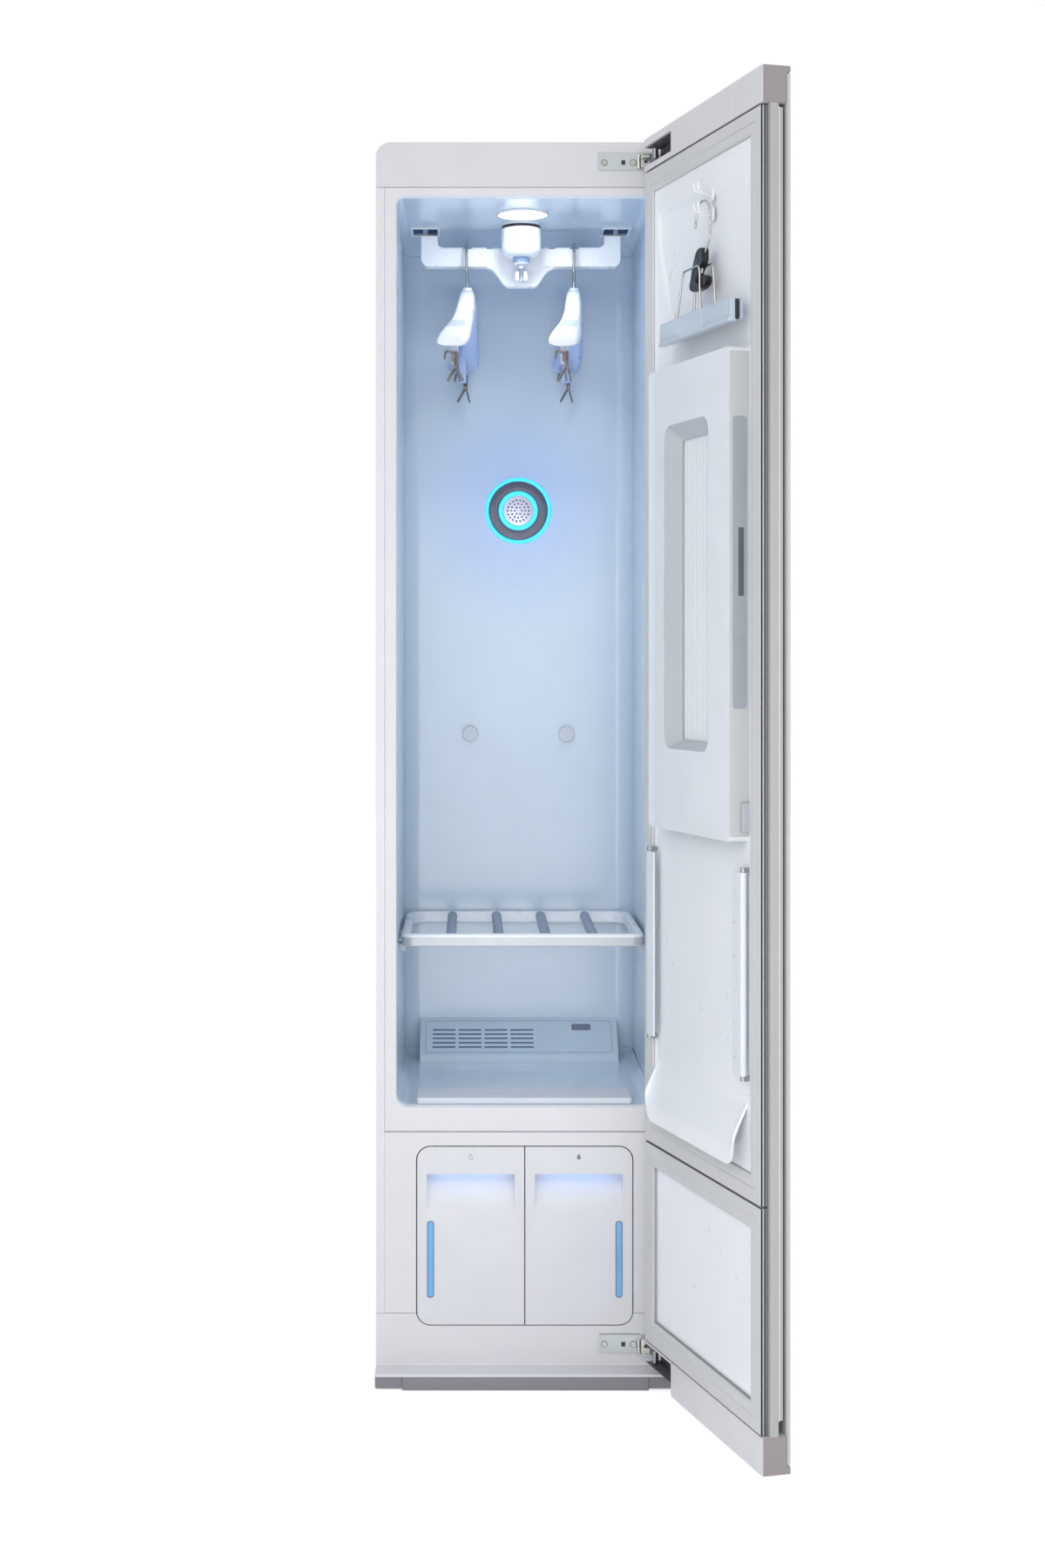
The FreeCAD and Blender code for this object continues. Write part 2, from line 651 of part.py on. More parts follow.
def cavity_liner():
    """The tub, with its holes for lamp, drive, arms, nozzle and air."""
    outer = cavity_block(LINER_T, FRAME_DEPTH, CAVITY_BACK_Y + LINER_T)
    inner = cavity_block(0, FRAME_DEPTH - 1, CAVITY_BACK_Y)
    ceiling = (CAVITY_TOP_Z - 1, CAVITY_TOP_Z + LINER_T + 1)
    floor = (CAVITY_BOTTOM_Z - LINER_T - 1, CAVITY_BOTTOM_Z + 1)
    holes = [stem_slot(side, 0, ceiling) for side in (-1, 1)]
    holes.append(rod(LAMP_HOLE_D, (0, LAMP_Y, ceiling[0]), (0, LAMP_Y, ceiling[1])))
    holes.append(rod(NECK_D, (0, DRIVE_Y, ceiling[0]), (0, DRIVE_Y, ceiling[1])))
    nozzle = (CAVITY_BACK_Y - 1, CAVITY_BACK_Y + LINER_T + 1)
    holes.append(rod(NOZZLE_DS[3], (0, nozzle[0], NOZZLE_Z), (0, nozzle[1], NOZZLE_Z)))
    vent_y = [CAVITY_BACK_Y - distance for distance in FLOOR_VENT_BACK]
    holes.append(box(around(0, FLOOR_VENT_W), vent_y, floor))
    holes.append(box(around(0, FILTER_W + 2 * SEAM), (FILTER_Y[0] - SEAM, FILTER_Y[1] + SEAM), floor))
    return Part.makeCompound(tub_walls(outer.cut([inner] + holes)))


def tub_walls(tub):
    """The tub in its mouldings: floor, ceiling, sides, back, and the staves of its two back corners."""
    half, back = CAVITY_HALF + LINER_T, CAVITY_BACK_Y + LINER_T
    middle_x, middle_y = CAVITY_HALF - CAVITY_BACK_R, CAVITY_BACK_Y - CAVITY_BACK_R
    low, high = CAVITY_BOTTOM_Z + FLOOR_EDGE_H, CAVITY_TOP_Z - CAVITY_TOP_R
    y = (FRAME_DEPTH, back)
    zones = [
        box((-half, half), y, (CAVITY_BOTTOM_Z - LINER_T, low)),
        box((-half, half), y, (high, CAVITY_TOP_Z + LINER_T)),
        box((-middle_x, middle_x), (middle_y, back), (low, high)),
    ]
    for side in (-1, 1):
        zones.append(box(sorted((side * middle_x, side * half)), (FRAME_DEPTH, middle_y), (low, high)))
        for turn in range(CORNER_STAVES):
            ends = [math.radians(90 * (turn + n) / CORNER_STAVES) for n in (0, 1)]
            reach = 2 * (CAVITY_BACK_R + LINER_T)
            wedge = [(side * middle_x, middle_y)]
            wedge += [(side * (middle_x + reach * math.cos(a)), middle_y + reach * math.sin(a)) for a in ends]
            zones.append(prism(wedge, "z", low, high))
    return [solid for zone in zones for solid in tub.common(zone).Solids]


def insulation():
    """Foam boards between the tub and the outer sheet."""
    x = (CAVITY_HALF + LINER_T, HALF_W - SHEET)
    board = box(x, (FOAM_FRONT_Y, CAVITY_BACK_Y), (CAVITY_BOTTOM_Z, CAVITY_TOP_Z - FOAM_TOP_GAP))
    return Part.makeCompound([board, mirrored(board)])


# ---- base ----
def lower_panel():
    """The front below the tanks and the apron that reaches forward under the door."""
    width = (-HALF_W, HALF_W)
    face = box(width, (0, PANEL_T), (APRON_TOP_Z - APRON_T, SURROUND_BOTTOM_Z))
    apron = box(width, (PLINTH_FRONT_Y, PANEL_T), (APRON_TOP_Z - APRON_T, APRON_TOP_Z))
    panel = face.fuse(apron).removeSplitter()
    panel = rounded(panel, COVE_R, "x", lambda p: abs(p.y) + abs(p.z - APRON_TOP_Z) < 1)
    return panel.cut([bay_hole(PANEL_T + 1)] + screw_holes(BRACKET_Z[1]))


def base_plinth():
    """A dark frame, a little prouder in the middle of its front, with a floor flange and foot blocks."""
    z = (PLINTH_BOTTOM_Z, APRON_TOP_Z - APRON_T)
    front = PLINTH_FRONT_Y + PLINTH_WALL
    outer = rounded(box((-HALF_W, HALF_W), (front, BACK_Y), z), PLINTH_R, "z", lambda p: p.y < front + 1)
    half = HALF_W - PLINTH_WALL
    inner = box((-half, half), (front + PLINTH_WALL, BACK_Y - PLINTH_WALL), (0, z[1] + 1))
    flange = box(around(0, PLINTH_FLANGE_W), (front, PLINTH_FLANGE_BACK_Y), (0, PLINTH_FLANGE_T))
    step = box(around(0, PLINTH_STEP_W), (PLINTH_FRONT_Y, front + 1), (0, z[1]))
    step = rounded(step, PLINTH_WALL - 1, "z", lambda p: p.y < front)
    block_z = (FOOT_PAD_H + FOOT_NUT_H, z[1])
    blocks = [box(around(x, FOOT_BLOCK), around(y, FOOT_BLOCK), block_z) for x, y in foot_places()]
    frame = fuse([outer.cut(inner), step, flange] + blocks)
    bore = FOOT_STEM_D + 2 * RUNNING_FIT
    return frame.cut([rod(bore, (x, y, 0), (x, y, z[1] + 1)) for x, y in foot_places()])


def foot_places():
    """The places of the four levelling feet."""
    side = HALF_W - PLINTH_WALL - FOOT_BLOCK / 2 + 1
    front = PLINTH_FRONT_Y + 2 * PLINTH_WALL + FOOT_BLOCK / 2 - 1
    back = BACK_Y - PLINTH_WALL - FOOT_BLOCK / 2 + 1
    return [(x, y) for x in (-side, side) for y in (front, back)]


def levelling_feet():
    """Four screw feet, each with a round pad and a lock nut."""
    feet = []
    for x, y in foot_places():
        pad = rod(FOOT_PAD_D, (x, y, 0), (x, y, FOOT_PAD_H))
        nut = rod(FOOT_NUT_D, (x, y, FOOT_PAD_H), (x, y, FOOT_PAD_H + FOOT_NUT_H))
        stem = rod(FOOT_STEM_D, (x, y, FOOT_PAD_H), (x, y, APRON_TOP_Z - APRON_T))
        feet.append(fuse([pad, nut, stem]))
    return Part.makeCompound(feet)


def base_pan():
    """The steel tray that carries the machines, turned up along both sides."""
    half = HALF_W - SHEET - 2 * SEAM
    y = (PANEL_T + 2 * SEAM, BACK_Y - SHEET - 2 * SEAM)
    z = APRON_TOP_Z - APRON_T
    tray = box((-half, half), y, (z, z + PAN_T))
    side = box((half - PAN_T, half), y, (z, z + PAN_SIDE_H))
    return fuse([tray, side, mirrored(side)])


# ---- tank bay ----
def bay_width():
    """The clear width of the bay that both tanks stand in."""
    return 2 * TANK_W + TANK_GAP + 2 * BAY_GAP


def bay_z():
    """The clear height of the bay."""
    return (TANK_Z[0] - BAY_GAP, TANK_Z[1] + BAY_GAP)


def bay_hole(depth):
    """The opening in the front that follows the tanks' outline."""
    return rounded(box(around(0, bay_width()), (-1, depth), bay_z()), TANK_R + BAY_GAP, "y")


def tank_surround():
    """The moulding around the tanks' sides and top."""
    z = (SURROUND_BOTTOM_Z + SEAM, RIM_BOTTOM_Z - SEAM)
    return box((-FRAME_HALF, FRAME_HALF), (0, SURROUND_DEPTH), z).cut(bay_hole(SURROUND_DEPTH + 1))


def tank_bay():
    """The sheet box behind the surround that the tanks slide into."""
    half, z = bay_width() / 2, bay_z()
    wall = BAY_SHEET
    depth = (SURROUND_DEPTH, TANK_DEPTH + BAY_BEHIND)
    outer = box((-half - wall, half + wall), depth, (z[0] - wall, z[1] + wall))
    inner = box((-half, half), (0, depth[1] - wall), z)
    middle = (TANK_GAP + TANK_W) / 2
    runners = [
        box(around(side * middle + shift, RUNNER_W), depth, (z[0] - wall / 2, TANK_Z[0] - RUNNER_GAP))
        for side in (-1, 1)
        for shift in around(0, RUNNER_APART)
    ]
    return fuse([outer.cut(inner)] + runners)


def tank(side):
    """One tank: a wall all round, a scooped grip, a seat for the level window and a lid."""
    near, far = TANK_GAP / 2, TANK_GAP / 2 + TANK_W
    x = (near, far) if side > 0 else (-far, -near)
    outer = box(x, (0, TANK_DEPTH), TANK_Z)
    outer = rounded(outer, TANK_R, "y", lambda p: abs(p.x) > near + 1)
    inside_z = (TANK_Z[0] + TANK_WALL, TANK_Z[1] - LID_T)
    room = box((x[0] + TANK_WALL, x[1] - TANK_WALL), (TANK_WALL, TANK_DEPTH - TANK_WALL), inside_z)
    room = rounded(room, TANK_R - TANK_WALL, "y", lambda p: abs(p.x) > near + TANK_WALL + 1)
    lid_x = (x[0] + LID_EDGE, x[1] - LID_EDGE)
    mouth = box(lid_x, (LID_FRONT_Y, TANK_DEPTH - LID_EDGE), (inside_z[1] - 1, TANK_Z[1] + 1))
    grip_x = around(side * (near + TANK_W / 2), GRIP_W)
    scoop = prism(grip_outline(0), "x", *grip_x)
    pocket = prism(grip_outline(TANK_WALL), "x", grip_x[0] - TANK_WALL, grip_x[1] + TANK_WALL)
    window_middle = side * (far - WINDOW_EDGE - WINDOW_W / 2)
    seat = box(around(window_middle, WINDOW_W), (-1, WINDOW_SEAT), WINDOW_Z)
    shell = fuse([outer.cut([room, mouth]), pocket]).cut([scoop, seat])
    lid_fit = (lid_x[0] + FIT, lid_x[1] - FIT)
    lid = box(lid_fit, (LID_FRONT_Y + FIT, TANK_DEPTH - LID_EDGE - FIT), (inside_z[1] + SEAM, TANK_Z[1]))
    return Part.makeCompound([shell, lid])


def grip_outline(grow):
    """The scoop's section as (y, z): open at the face, deepest at its top, behind a lip."""
    low, high = GRIP_Z
    deep = GRIP_DEEP + grow
    over = high + GRIP_OVER + grow
    in_from_back, below, knee = GRIP_KNEE
    slope = [(deep - in_from_back, high - below - grow), (deep, high - knee - grow), (deep, over)]
    if grow:
        return [(TANK_WALL / 5, low - grow)] + slope + [(TANK_WALL / 5, over)]
    return [(-1, low)] + slope + [(GRIP_LIP_T, over), (GRIP_LIP_T, high), (-1, high)]


# ---- machine room ----
def compressor():
    """A sealed compressor on a foot plate."""
    x, y = COMPRESSOR_PLACE
    foot_d, foot_h = COMPRESSOR_FOOT
    low = PAN_TOP_Z + foot_h
    top = low + COMPRESSOR_PLATE[2]
    plate = box(around(x, COMPRESSOR_PLATE[0]), around(y, COMPRESSOR_PLATE[1]), (low, top))
    feet = [
        rod(foot_d, (a, b, PAN_TOP_Z), (a, b, low))
        for a in around(x, COMPRESSOR_FEET[0])
        for b in around(y, COMPRESSOR_FEET[1])
    ]
    can = rod(COMPRESSOR_D, (x, y, top), (x, y, COMPRESSOR_TOP_Z))
    can = can.makeFillet(COMPRESSOR_R, round_edges_at(can, COMPRESSOR_TOP_Z))
    return fuse([plate, can] + feet)


def heat_exchangers():
    """The evaporator and the condenser: fins on through tubes, one behind the other."""
    coils = []
    for y in COIL_Y:
        fins = [box(around(x, FIN_T), (y, y + COIL_DEPTH), COIL_Z) for x in spread(COIL_X, FINS)]
        middle = y + COIL_DEPTH / 2
        ends = (DUCT_X[0] + DUCT_T, DUCT_X[1] - DUCT_T)
        heights = spread(COIL_TUBE_Z, COIL_TUBES)
        tubes = [rod(COIL_TUBE_D, (ends[0], middle, z), (ends[1], middle, z)) for z in heights]
        coils.append(fuse(tubes[:1] + fins + tubes[1:]))
    return Part.makeCompound(coils)


def heat_pump_duct():
    """The air box around the coils, with the fan's round chamber at its back and an outlet on top."""
    duct_z = (PAN_TOP_Z, DUCT_TOP_Z)
    sides = (DUCT_X, DUCT_Y, duct_z)
    outer = box(*sides)
    inner = box(*((low + DUCT_T, high - DUCT_T) for low, high in sides))
    x, z = FAN_PLACE
    wall_y = (FAN_Y[0] - FAN_WALL_GAP[0], FAN_Y[0] - FAN_WALL_GAP[1])
    wall = box((DUCT_X[0] + 1, DUCT_X[1] - 1), wall_y, (duct_z[0] + 1, duct_z[1] - 1))
    inlet = rod(FAN_INLET_D, (x, wall_y[0] - 1, z), (x, wall_y[1] + 1, z))
    back = (DUCT_Y[1] - DUCT_T - 1, DUCT_Y[1] + 1)
    shaft_hole = rod(SHAFT_HOLE_D, (x, back[0], z), (x, back[1], z))
    roof = (duct_z[1] - DUCT_T - 1, duct_z[1] + 1)
    top_in = box(DUCT_MOUTH_X, DUCT_MOUTH_Y, roof)
    riser_y = CAVITY_BACK_Y + LINER_T + DUCT_T
    top_out = box(RISER_MOUTH_X, (riser_y, DUCT_Y[1] - DUCT_T), roof)
    return outer.cut(inner).fuse(wall).removeSplitter().cut([inlet, shaft_hole, top_in, top_out])


def fan_rotor():
    """A blower wheel on its shaft."""
    x, z = FAN_PLACE
    hub = rod(FAN_HUB_D, (x, FAN_Y[0], z), (x, FAN_Y[1], z))
    back = rod(FAN_D, (x, FAN_Y[1] - FAN_PLATE_T, z), (x, FAN_Y[1], z))
    shaft = rod(MOTOR_SHAFT_D, (x, FAN_Y[1] - 1, z), (x, DUCT_Y[1] + MOTOR_SHAFT_IN, z))
    blades = []
    for turn in range(FAN_BLADES):
        span = (x + BLADE_IN, x + FAN_D / 2 - FAN_RIM / 2)
        blade = box(span, (FAN_Y[0], FAN_Y[1] - FAN_PLATE_T / 2), around(z, BLADE_T))
        blades.append(blade.rotate(V(x, 0, z), Y, turn * 360 / FAN_BLADES))
    rim = ring(FAN_D, FAN_D - 2 * FAN_RIM, (x, FAN_Y[0], z), (x, FAN_Y[0] + FAN_RIM, z))
    return fuse([back, hub, shaft, rim] + blades)


def fan_motor():
    """The blower's motor behind the duct, with a flange."""
    x, z = FAN_PLACE
    can = rod(MOTOR_D, (x, DUCT_Y[1], z), (x, DUCT_Y[1] + MOTOR_LENGTH, z))
    flange = rod(MOTOR_FLANGE[0], (x, DUCT_Y[1], z), (x, DUCT_Y[1] + MOTOR_FLANGE[1], z))
    bore_end = DUCT_Y[1] + MOTOR_SHAFT_IN + 1
    bore = rod(MOTOR_SHAFT_D + 2 * RUNNING_FIT, (x, DUCT_Y[1] - 1, z), (x, bore_end, z))
    return fuse([can, flange]).cut(bore)


def rear_air_duct():
    """The flat duct that takes the warm air up the back to the nozzle."""
    y = (CAVITY_BACK_Y + LINER_T, BACK_Y - SHEET - 2 * SEAM)
    z = (DUCT_TOP_Z, NOZZLE_Z + RISER_OVER)
    wall = DUCT_T
    outer = box(RISER_X, y, z)
    inner = box((RISER_X[0] + wall, RISER_X[1] - wall), (y[0] + wall, y[1] - wall), (z[0] - 1, z[1] - wall))
    mouth = rod(NOZZLE_DS[3], (0, y[0] - 1, NOZZLE_Z), (0, y[0] + wall + 1, NOZZLE_Z))
    return outer.cut([inner, mouth])


def steam_generator():
    """The boiler with its lid and outlet stub."""
    body = rounded(box(STEAM_X, STEAM_Y, (PAN_TOP_Z, STEAM_TOP_Z)), STEAM_R, "z")
    stub = rod(HOSE_D, (*STEAM_OUT, STEAM_TOP_Z), (*STEAM_OUT, STEAM_TOP_Z + HOSE_STUB))
    return fuse([body, stub])


def internal_pipes():
    """The steam hose to the tub's floor and the refrigerant pipes between compressor and duct."""
    x, y = STEAM_OUT
    top = CAVITY_BOTTOM_Z - LINER_T
    start = STEAM_TOP_Z + HOSE_STUB
    end_x, end_y = x + HOSE_SHIFT, y + HOSE_SHIFT
    route = [(x, y, start), (x, y, start + HOSE_RISE), (end_x, end_y, top - HOSE_RISE), (end_x, end_y, top)]
    pipes = [bent_rod(route, HOSE_D, (HOSE_BEND, HOSE_BEND))]
    for dx, dy, z in PIPE_STARTS:
        a, b = COMPRESSOR_PLACE[0] + dx, COMPRESSOR_PLACE[1] + dy
        pipes.append(bent_rod([(a, b, COMPRESSOR_TOP_Z), (a, b, z), (DUCT_X[0], b, z)], PIPE_D, (PIPE_BEND,)))
    return Part.makeCompound(pipes)


def pumps():
    """The supply pump and the drain pump on the tray behind the tanks."""
    floor = PAN_TOP_Z
    bodies = []
    for x in PUMP_X:
        motor = rod(PUMP_MOTOR[0], (x, PUMP_Y, floor + PUMP_HEAD[1]), (x, PUMP_Y, floor + PUMP_MOTOR[1]))
        head = box(around(x, PUMP_HEAD[0]), around(PUMP_Y, PUMP_HEAD[0]), (floor, floor + PUMP_HEAD[1]))
        bodies.append(fuse([head, motor]))
    return Part.makeCompound(bodies)


def control_box():
    """The electronics box, and the inlet for a mains cord in the back cover."""
    inside = BACK_Y - SHEET
    case = rounded(box(CONTROL_X, (inside - CONTROL_DEPTH, inside), CONTROL_Z), CONTROL_R, "y")
    front = BACK_Y - INLET_DEPTH
    edge, edge_t = INLET_FLANGE
    wall, floor = INLET_WALL
    inlet = box(around(INLET_X, INLET_W), (front, BACK_Y), around(INLET_Z, INLET_H))
    flange_x = around(INLET_X, INLET_W + 2 * edge)
    flange = box(flange_x, (inside - edge_t, inside), around(INLET_Z, INLET_H + 2 * edge))
    recess_x = around(INLET_X, INLET_W - 2 * wall)
    recess = box(recess_x, (front + floor, BACK_Y + 1), around(INLET_Z, INLET_H - 2 * wall))
    blade_y = (front + floor - 1, BACK_Y - INLET_BLADE_BACK)
    blades = [
        box(around(INLET_X + side * INLET_PITCH, INLET_BLADE[0]), blade_y, around(INLET_Z, INLET_BLADE[1]))
        for side in (-1, 0, 1)
    ]
    return Part.makeCompound([case, fuse([inlet.fuse(flange).cut(recess)] + blades)])


# ---- ceiling ----
def lamp_lens():
    """The frosted lens of the ceiling lamp, hung from its base on top of the tub."""
    outside = CAVITY_TOP_Z + LINER_T
    lens = rod(LAMP_HOLE_D - 2 * SEAM, (0, LAMP_Y, CAVITY_TOP_Z - BEZEL_T), (0, LAMP_Y, outside))
    base = rod(LAMP_D, (0, LAMP_Y, outside), (0, LAMP_Y, outside + LAMP_BASE_H))
    return fuse([lens, base])


def ceiling_bezels():
    """The ring around the lamp and the frames of the two arm slots."""
    z = (CAVITY_TOP_Z - BEZEL_T, CAVITY_TOP_Z)
    lamp_ring = ring(LAMP_D, LAMP_HOLE_D - 2 * SEAM + 2 * FIT, (0, LAMP_Y, z[0]), (0, LAMP_Y, z[1]))
    frames = [stem_slot(side, BEZEL_W, z).cut(stem_slot(side, 0, (z[0] - 1, z[1] + 1))) for side in (-1, 1)]
    return Part.makeCompound([lamp_ring] + frames)


def drive_housing():
    """The cup under the ceiling and the neck that the crank's shaft turns in."""
    cup = rod(CUP_D, (0, DRIVE_Y, CUP_BOTTOM_Z), (0, DRIVE_Y, CAVITY_TOP_Z))
    cup = cup.makeFillet(CUP_FLOOR, round_edges_at(cup, CUP_BOTTOM_Z))
    hollow_d = CUP_D - 2 * CUP_WALL
    hollow = rod(hollow_d, (0, DRIVE_Y, CUP_BOTTOM_Z + CUP_FLOOR), (0, DRIVE_Y, CAVITY_TOP_Z + 1))
    neck = rod(NECK_D, (0, DRIVE_Y, NECK_BOTTOM_Z), (0, DRIVE_Y, CUP_BOTTOM_Z + NECK_IN))
    bore = rod(CRANK_D + 2 * RUNNING_FIT, (0, DRIVE_Y, NECK_BOTTOM_Z - 1), (0, DRIVE_Y, CAVITY_TOP_Z + 1))
    return fuse([cup.cut(hollow), neck]).cut(bore)


def drive_motor():
    """The geared motor on the tub's ceiling."""
    z = CAVITY_TOP_Z + LINER_T
    width, depth, height = GEAR_CASE
    case = rounded(box(around(0, width), around(DRIVE_Y, depth), (z, z + height)), GEAR_CASE_R, "z")
    bore = rod(CRANK_D + 2 * RUNNING_FIT, (0, DRIVE_Y, z - 1), (0, DRIVE_Y, z + CRANK_IN + 1))
    return case.cut(bore)


def drive_crank():
    """The shaft from the motor, with its arm and eccentric pin."""
    pin_y = DRIVE_Y + CRANK_THROW
    z = (NECK_BOTTOM_Z - FIT - CRANK_ARM_T, NECK_BOTTOM_Z - FIT)
    shaft = rod(CRANK_D, (0, DRIVE_Y, z[0] + 1), (0, DRIVE_Y, CAVITY_TOP_Z + LINER_T + CRANK_IN))
    arm = box(around(0, CRANK_ARM_W), (DRIVE_Y, pin_y), z)
    ends = [rod(CRANK_ARM_W, (0, y, z[0]), (0, y, z[1])) for y in (DRIVE_Y, pin_y)]
    pin = rod(PIN_D, (0, pin_y, PIN_BOTTOM_Z), (0, pin_y, z[0] + 1))
    return fuse([arm, shaft, pin] + ends)


def guide_rods():
    """Two short rails above the ceiling, in end brackets, that the bar's carriages run on."""
    rails = []
    thick, wide = GUIDE_POST
    z = (CAVITY_TOP_Z + LINER_T, GUIDE_Z + GUIDE_POST_OVER)
    for side in (-1, 1):
        x = around(side * STEM_X, GUIDE_SPAN)
        rail = rod(GUIDE_D, (x[0], STEM_Y, GUIDE_Z), (x[1], STEM_Y, GUIDE_Z))
        posts = [box((a, a + thick), around(STEM_Y, wide), z) for a in (x[0], x[1] - thick)]
        rails.append(fuse([rail] + posts))
    return Part.makeCompound(rails)


def hanger_bar():
    """The swinging bar: beam with notches, fork for the eccentric pin, two arms and their carriages."""
    half = BAR_W / 2
    middle_y = (BAR_Y[0] + BAR_Y[1]) / 2
    low = PIN_BOTTOM_Z - BULGE_DROP
    join_z = BAR_Z[0] + 1
    wide, narrow = BULGE_HALF
    bulge = [(-wide, join_z), (-narrow, low), (narrow, low), (wide, join_z)]
    fork_z = (PIN_BOTTOM_Z + SEAM, PIN_BOTTOM_Z + SEAM + FORK_H)
    beam = rounded(box((-half, half), BAR_Y, BAR_Z), BAR_R, "x", lambda p: p.z > BAR_Z[0] + 1)
    drop = prism(bulge, "y", *around(middle_y, BULGE_T))
    profile = fuse([box((-half, half), around(middle_y, BULGE_T), BAR_Z), drop])
    profile = rounded(profile, BULGE_R[0], "y", lambda p: abs(abs(p.x) - wide) < 2 and p.z < BAR_Z[1] - 1)
    profile = rounded(profile, BULGE_R[1], "y", lambda p: p.z < low + 1)
    profile = rounded(profile, BAR_END_R, "y", lambda p: abs(p.x) > half - 1 and p.z < BAR_Z[0] + 1)
    parts = [
        rounded(beam, BAR_END_R, "y", lambda p: p.z < BAR_Z[0] + 1),
        profile,
        box(around(0, FORK_W), (DRIVE_Y + 2, BAR_Y[0] + BAR_R), fork_z),
    ]
    notch_z = (BAR_Z[1] - NOTCH_DEEP, BAR_Z[1] + 1)
    across = (BAR_Y[0] - 1, BAR_Y[1] + 1)
    cuts = []
    for side in (-1, 1):
        stem_x = side * STEM_X
        arm_x = around(side * (half - BAR_ARM_W / 2), BAR_ARM_W)
        parts.append(box(arm_x, (BAR_Y[0], STEM_Y + STEM_D), (BAR_Z[0] + BAR_END_R, BAR_ARM_TOP_Z)))
        inner_x, bend_z = side * (half - BAR_ARM_W), BAR_Z[1] + BAR_BEND_R
        bend = around(inner_x - side * BAR_BEND_R / 2, BAR_BEND_R)
        axis_x = inner_x - side * BAR_BEND_R
        hollow = rod(2 * BAR_BEND_R, (axis_x, BAR_Y[0] - 1, bend_z), (axis_x, BAR_Y[1] + 1, bend_z))
        parts.append(box(bend, BAR_Y, (BAR_Z[1] - BAR_R - 1, bend_z)).cut(hollow))
        parts.append(rod(STEM_D, (stem_x, STEM_Y, BAR_ARM_TOP_Z - 1), (stem_x, STEM_Y, GUIDE_Z - GUIDE_D)))
        length, width, height = CARRIAGE
        parts.append(box(around(stem_x, length), around(STEM_Y, width), around(GUIDE_Z, height)))
        ends = around(stem_x, length + 2)
        cuts.append(rod(GUIDE_D + 2 * RUNNING_FIT, (ends[0], STEM_Y, GUIDE_Z), (ends[1], STEM_Y, GUIDE_Z)))
        cuts.append(box(around(side * HANGER_X, NOTCH_W), across, notch_z))
        cuts.append(box(around(side * SPARE_NOTCH_X, SPARE_NOTCH_W), across, notch_z))
    fork_gap = around(0, PIN_D + 2 * FORK_CLEARANCE)
    fork_end = DRIVE_Y + CRANK_THROW + CRANK_ARM_W / 2 + 2
    cuts.append(box(fork_gap, (DRIVE_Y, fork_end), (fork_z[0] - 1, fork_z[1] + 1)))
    bar = fuse(parts)
    return bar.cut(cuts)


# ---- hangers ----
def on_bar(shape, side):
    """A hanger's piece, drawn about its hook with its length along Y, set on the bar."""
    shape = shape.copy()
    shape.rotate(V(0, 0, 0), Z, HANGER_YAW)
    shape.translate(V(side * HANGER_X, HANGER_Y, 0))
    return shape


def hanger_sweep(share):
    """How far a hanger's arm bends to the side at a share of its length."""
    return HANGER_SWEEP * share**HANGER_SWEEP_POWER


def hanger_section(x, y, middle_z, width, height):
    """A closed section of a hanger's shoulder, rounded on top."""
    half, low, high = width / 2, middle_z - height / 2, middle_z + height / 2
    edge_z, foot = low + height * SHOULDER_EDGE, half * SHOULDER_FOOT
    top = Part.Arc(V(x - half, y, edge_z), V(x, y, high), V(x + half, y, edge_z))
    corners = [V(x + half, y, edge_z), V(x + foot, y, low), V(x - foot, y, low), V(x - half, y, edge_z)]
    sides = [Part.LineSegment(a, b).toShape() for a, b in zip(corners, corners[1:])]
    return Part.Wire([top.toShape()] + sides)


RAIL_X = hanger_sweep(RAIL_HALF / HANGER_HALF)


def hanger(side):
    """A wide-shouldered hanger with lugs at its tips for the clip rail."""
    neck = NECK_TOP_Z
    arms = []
    for way in (-1, 1):
        sections = [
            hanger_section(hanger_sweep(share), way * share * HANGER_HALF, neck - drop, width, height)
            for share, drop, width, height in HANGER_SHOULDERS
        ]
        arms.append(Part.makeLoft(sections, True, True))
    stub = rod(HANGER_STUB_D, (0, 0, neck - HANGER_SHOULDERS[0][1]), (0, 0, neck))
    lug_z = (RAIL_Z - RAIL_D, neck - HANGER_SHOULDERS[2][1])
    lugs = [box(around(RAIL_X, LUG_W), around(y, LUG_L), lug_z) for y in (LUG_Y, -LUG_Y)]
    body = fuse(arms + [stub] + lugs)
    holes = [
        rod(RAIL_D, (RAIL_X, -RAIL_HALF, RAIL_Z), (RAIL_X, RAIL_HALF, RAIL_Z)),
        rod(WIRE_D, (0, 0, neck - WIRE_IN), (0, 0, neck + 1)),
    ]
    return on_bar(body.cut(holes), side)


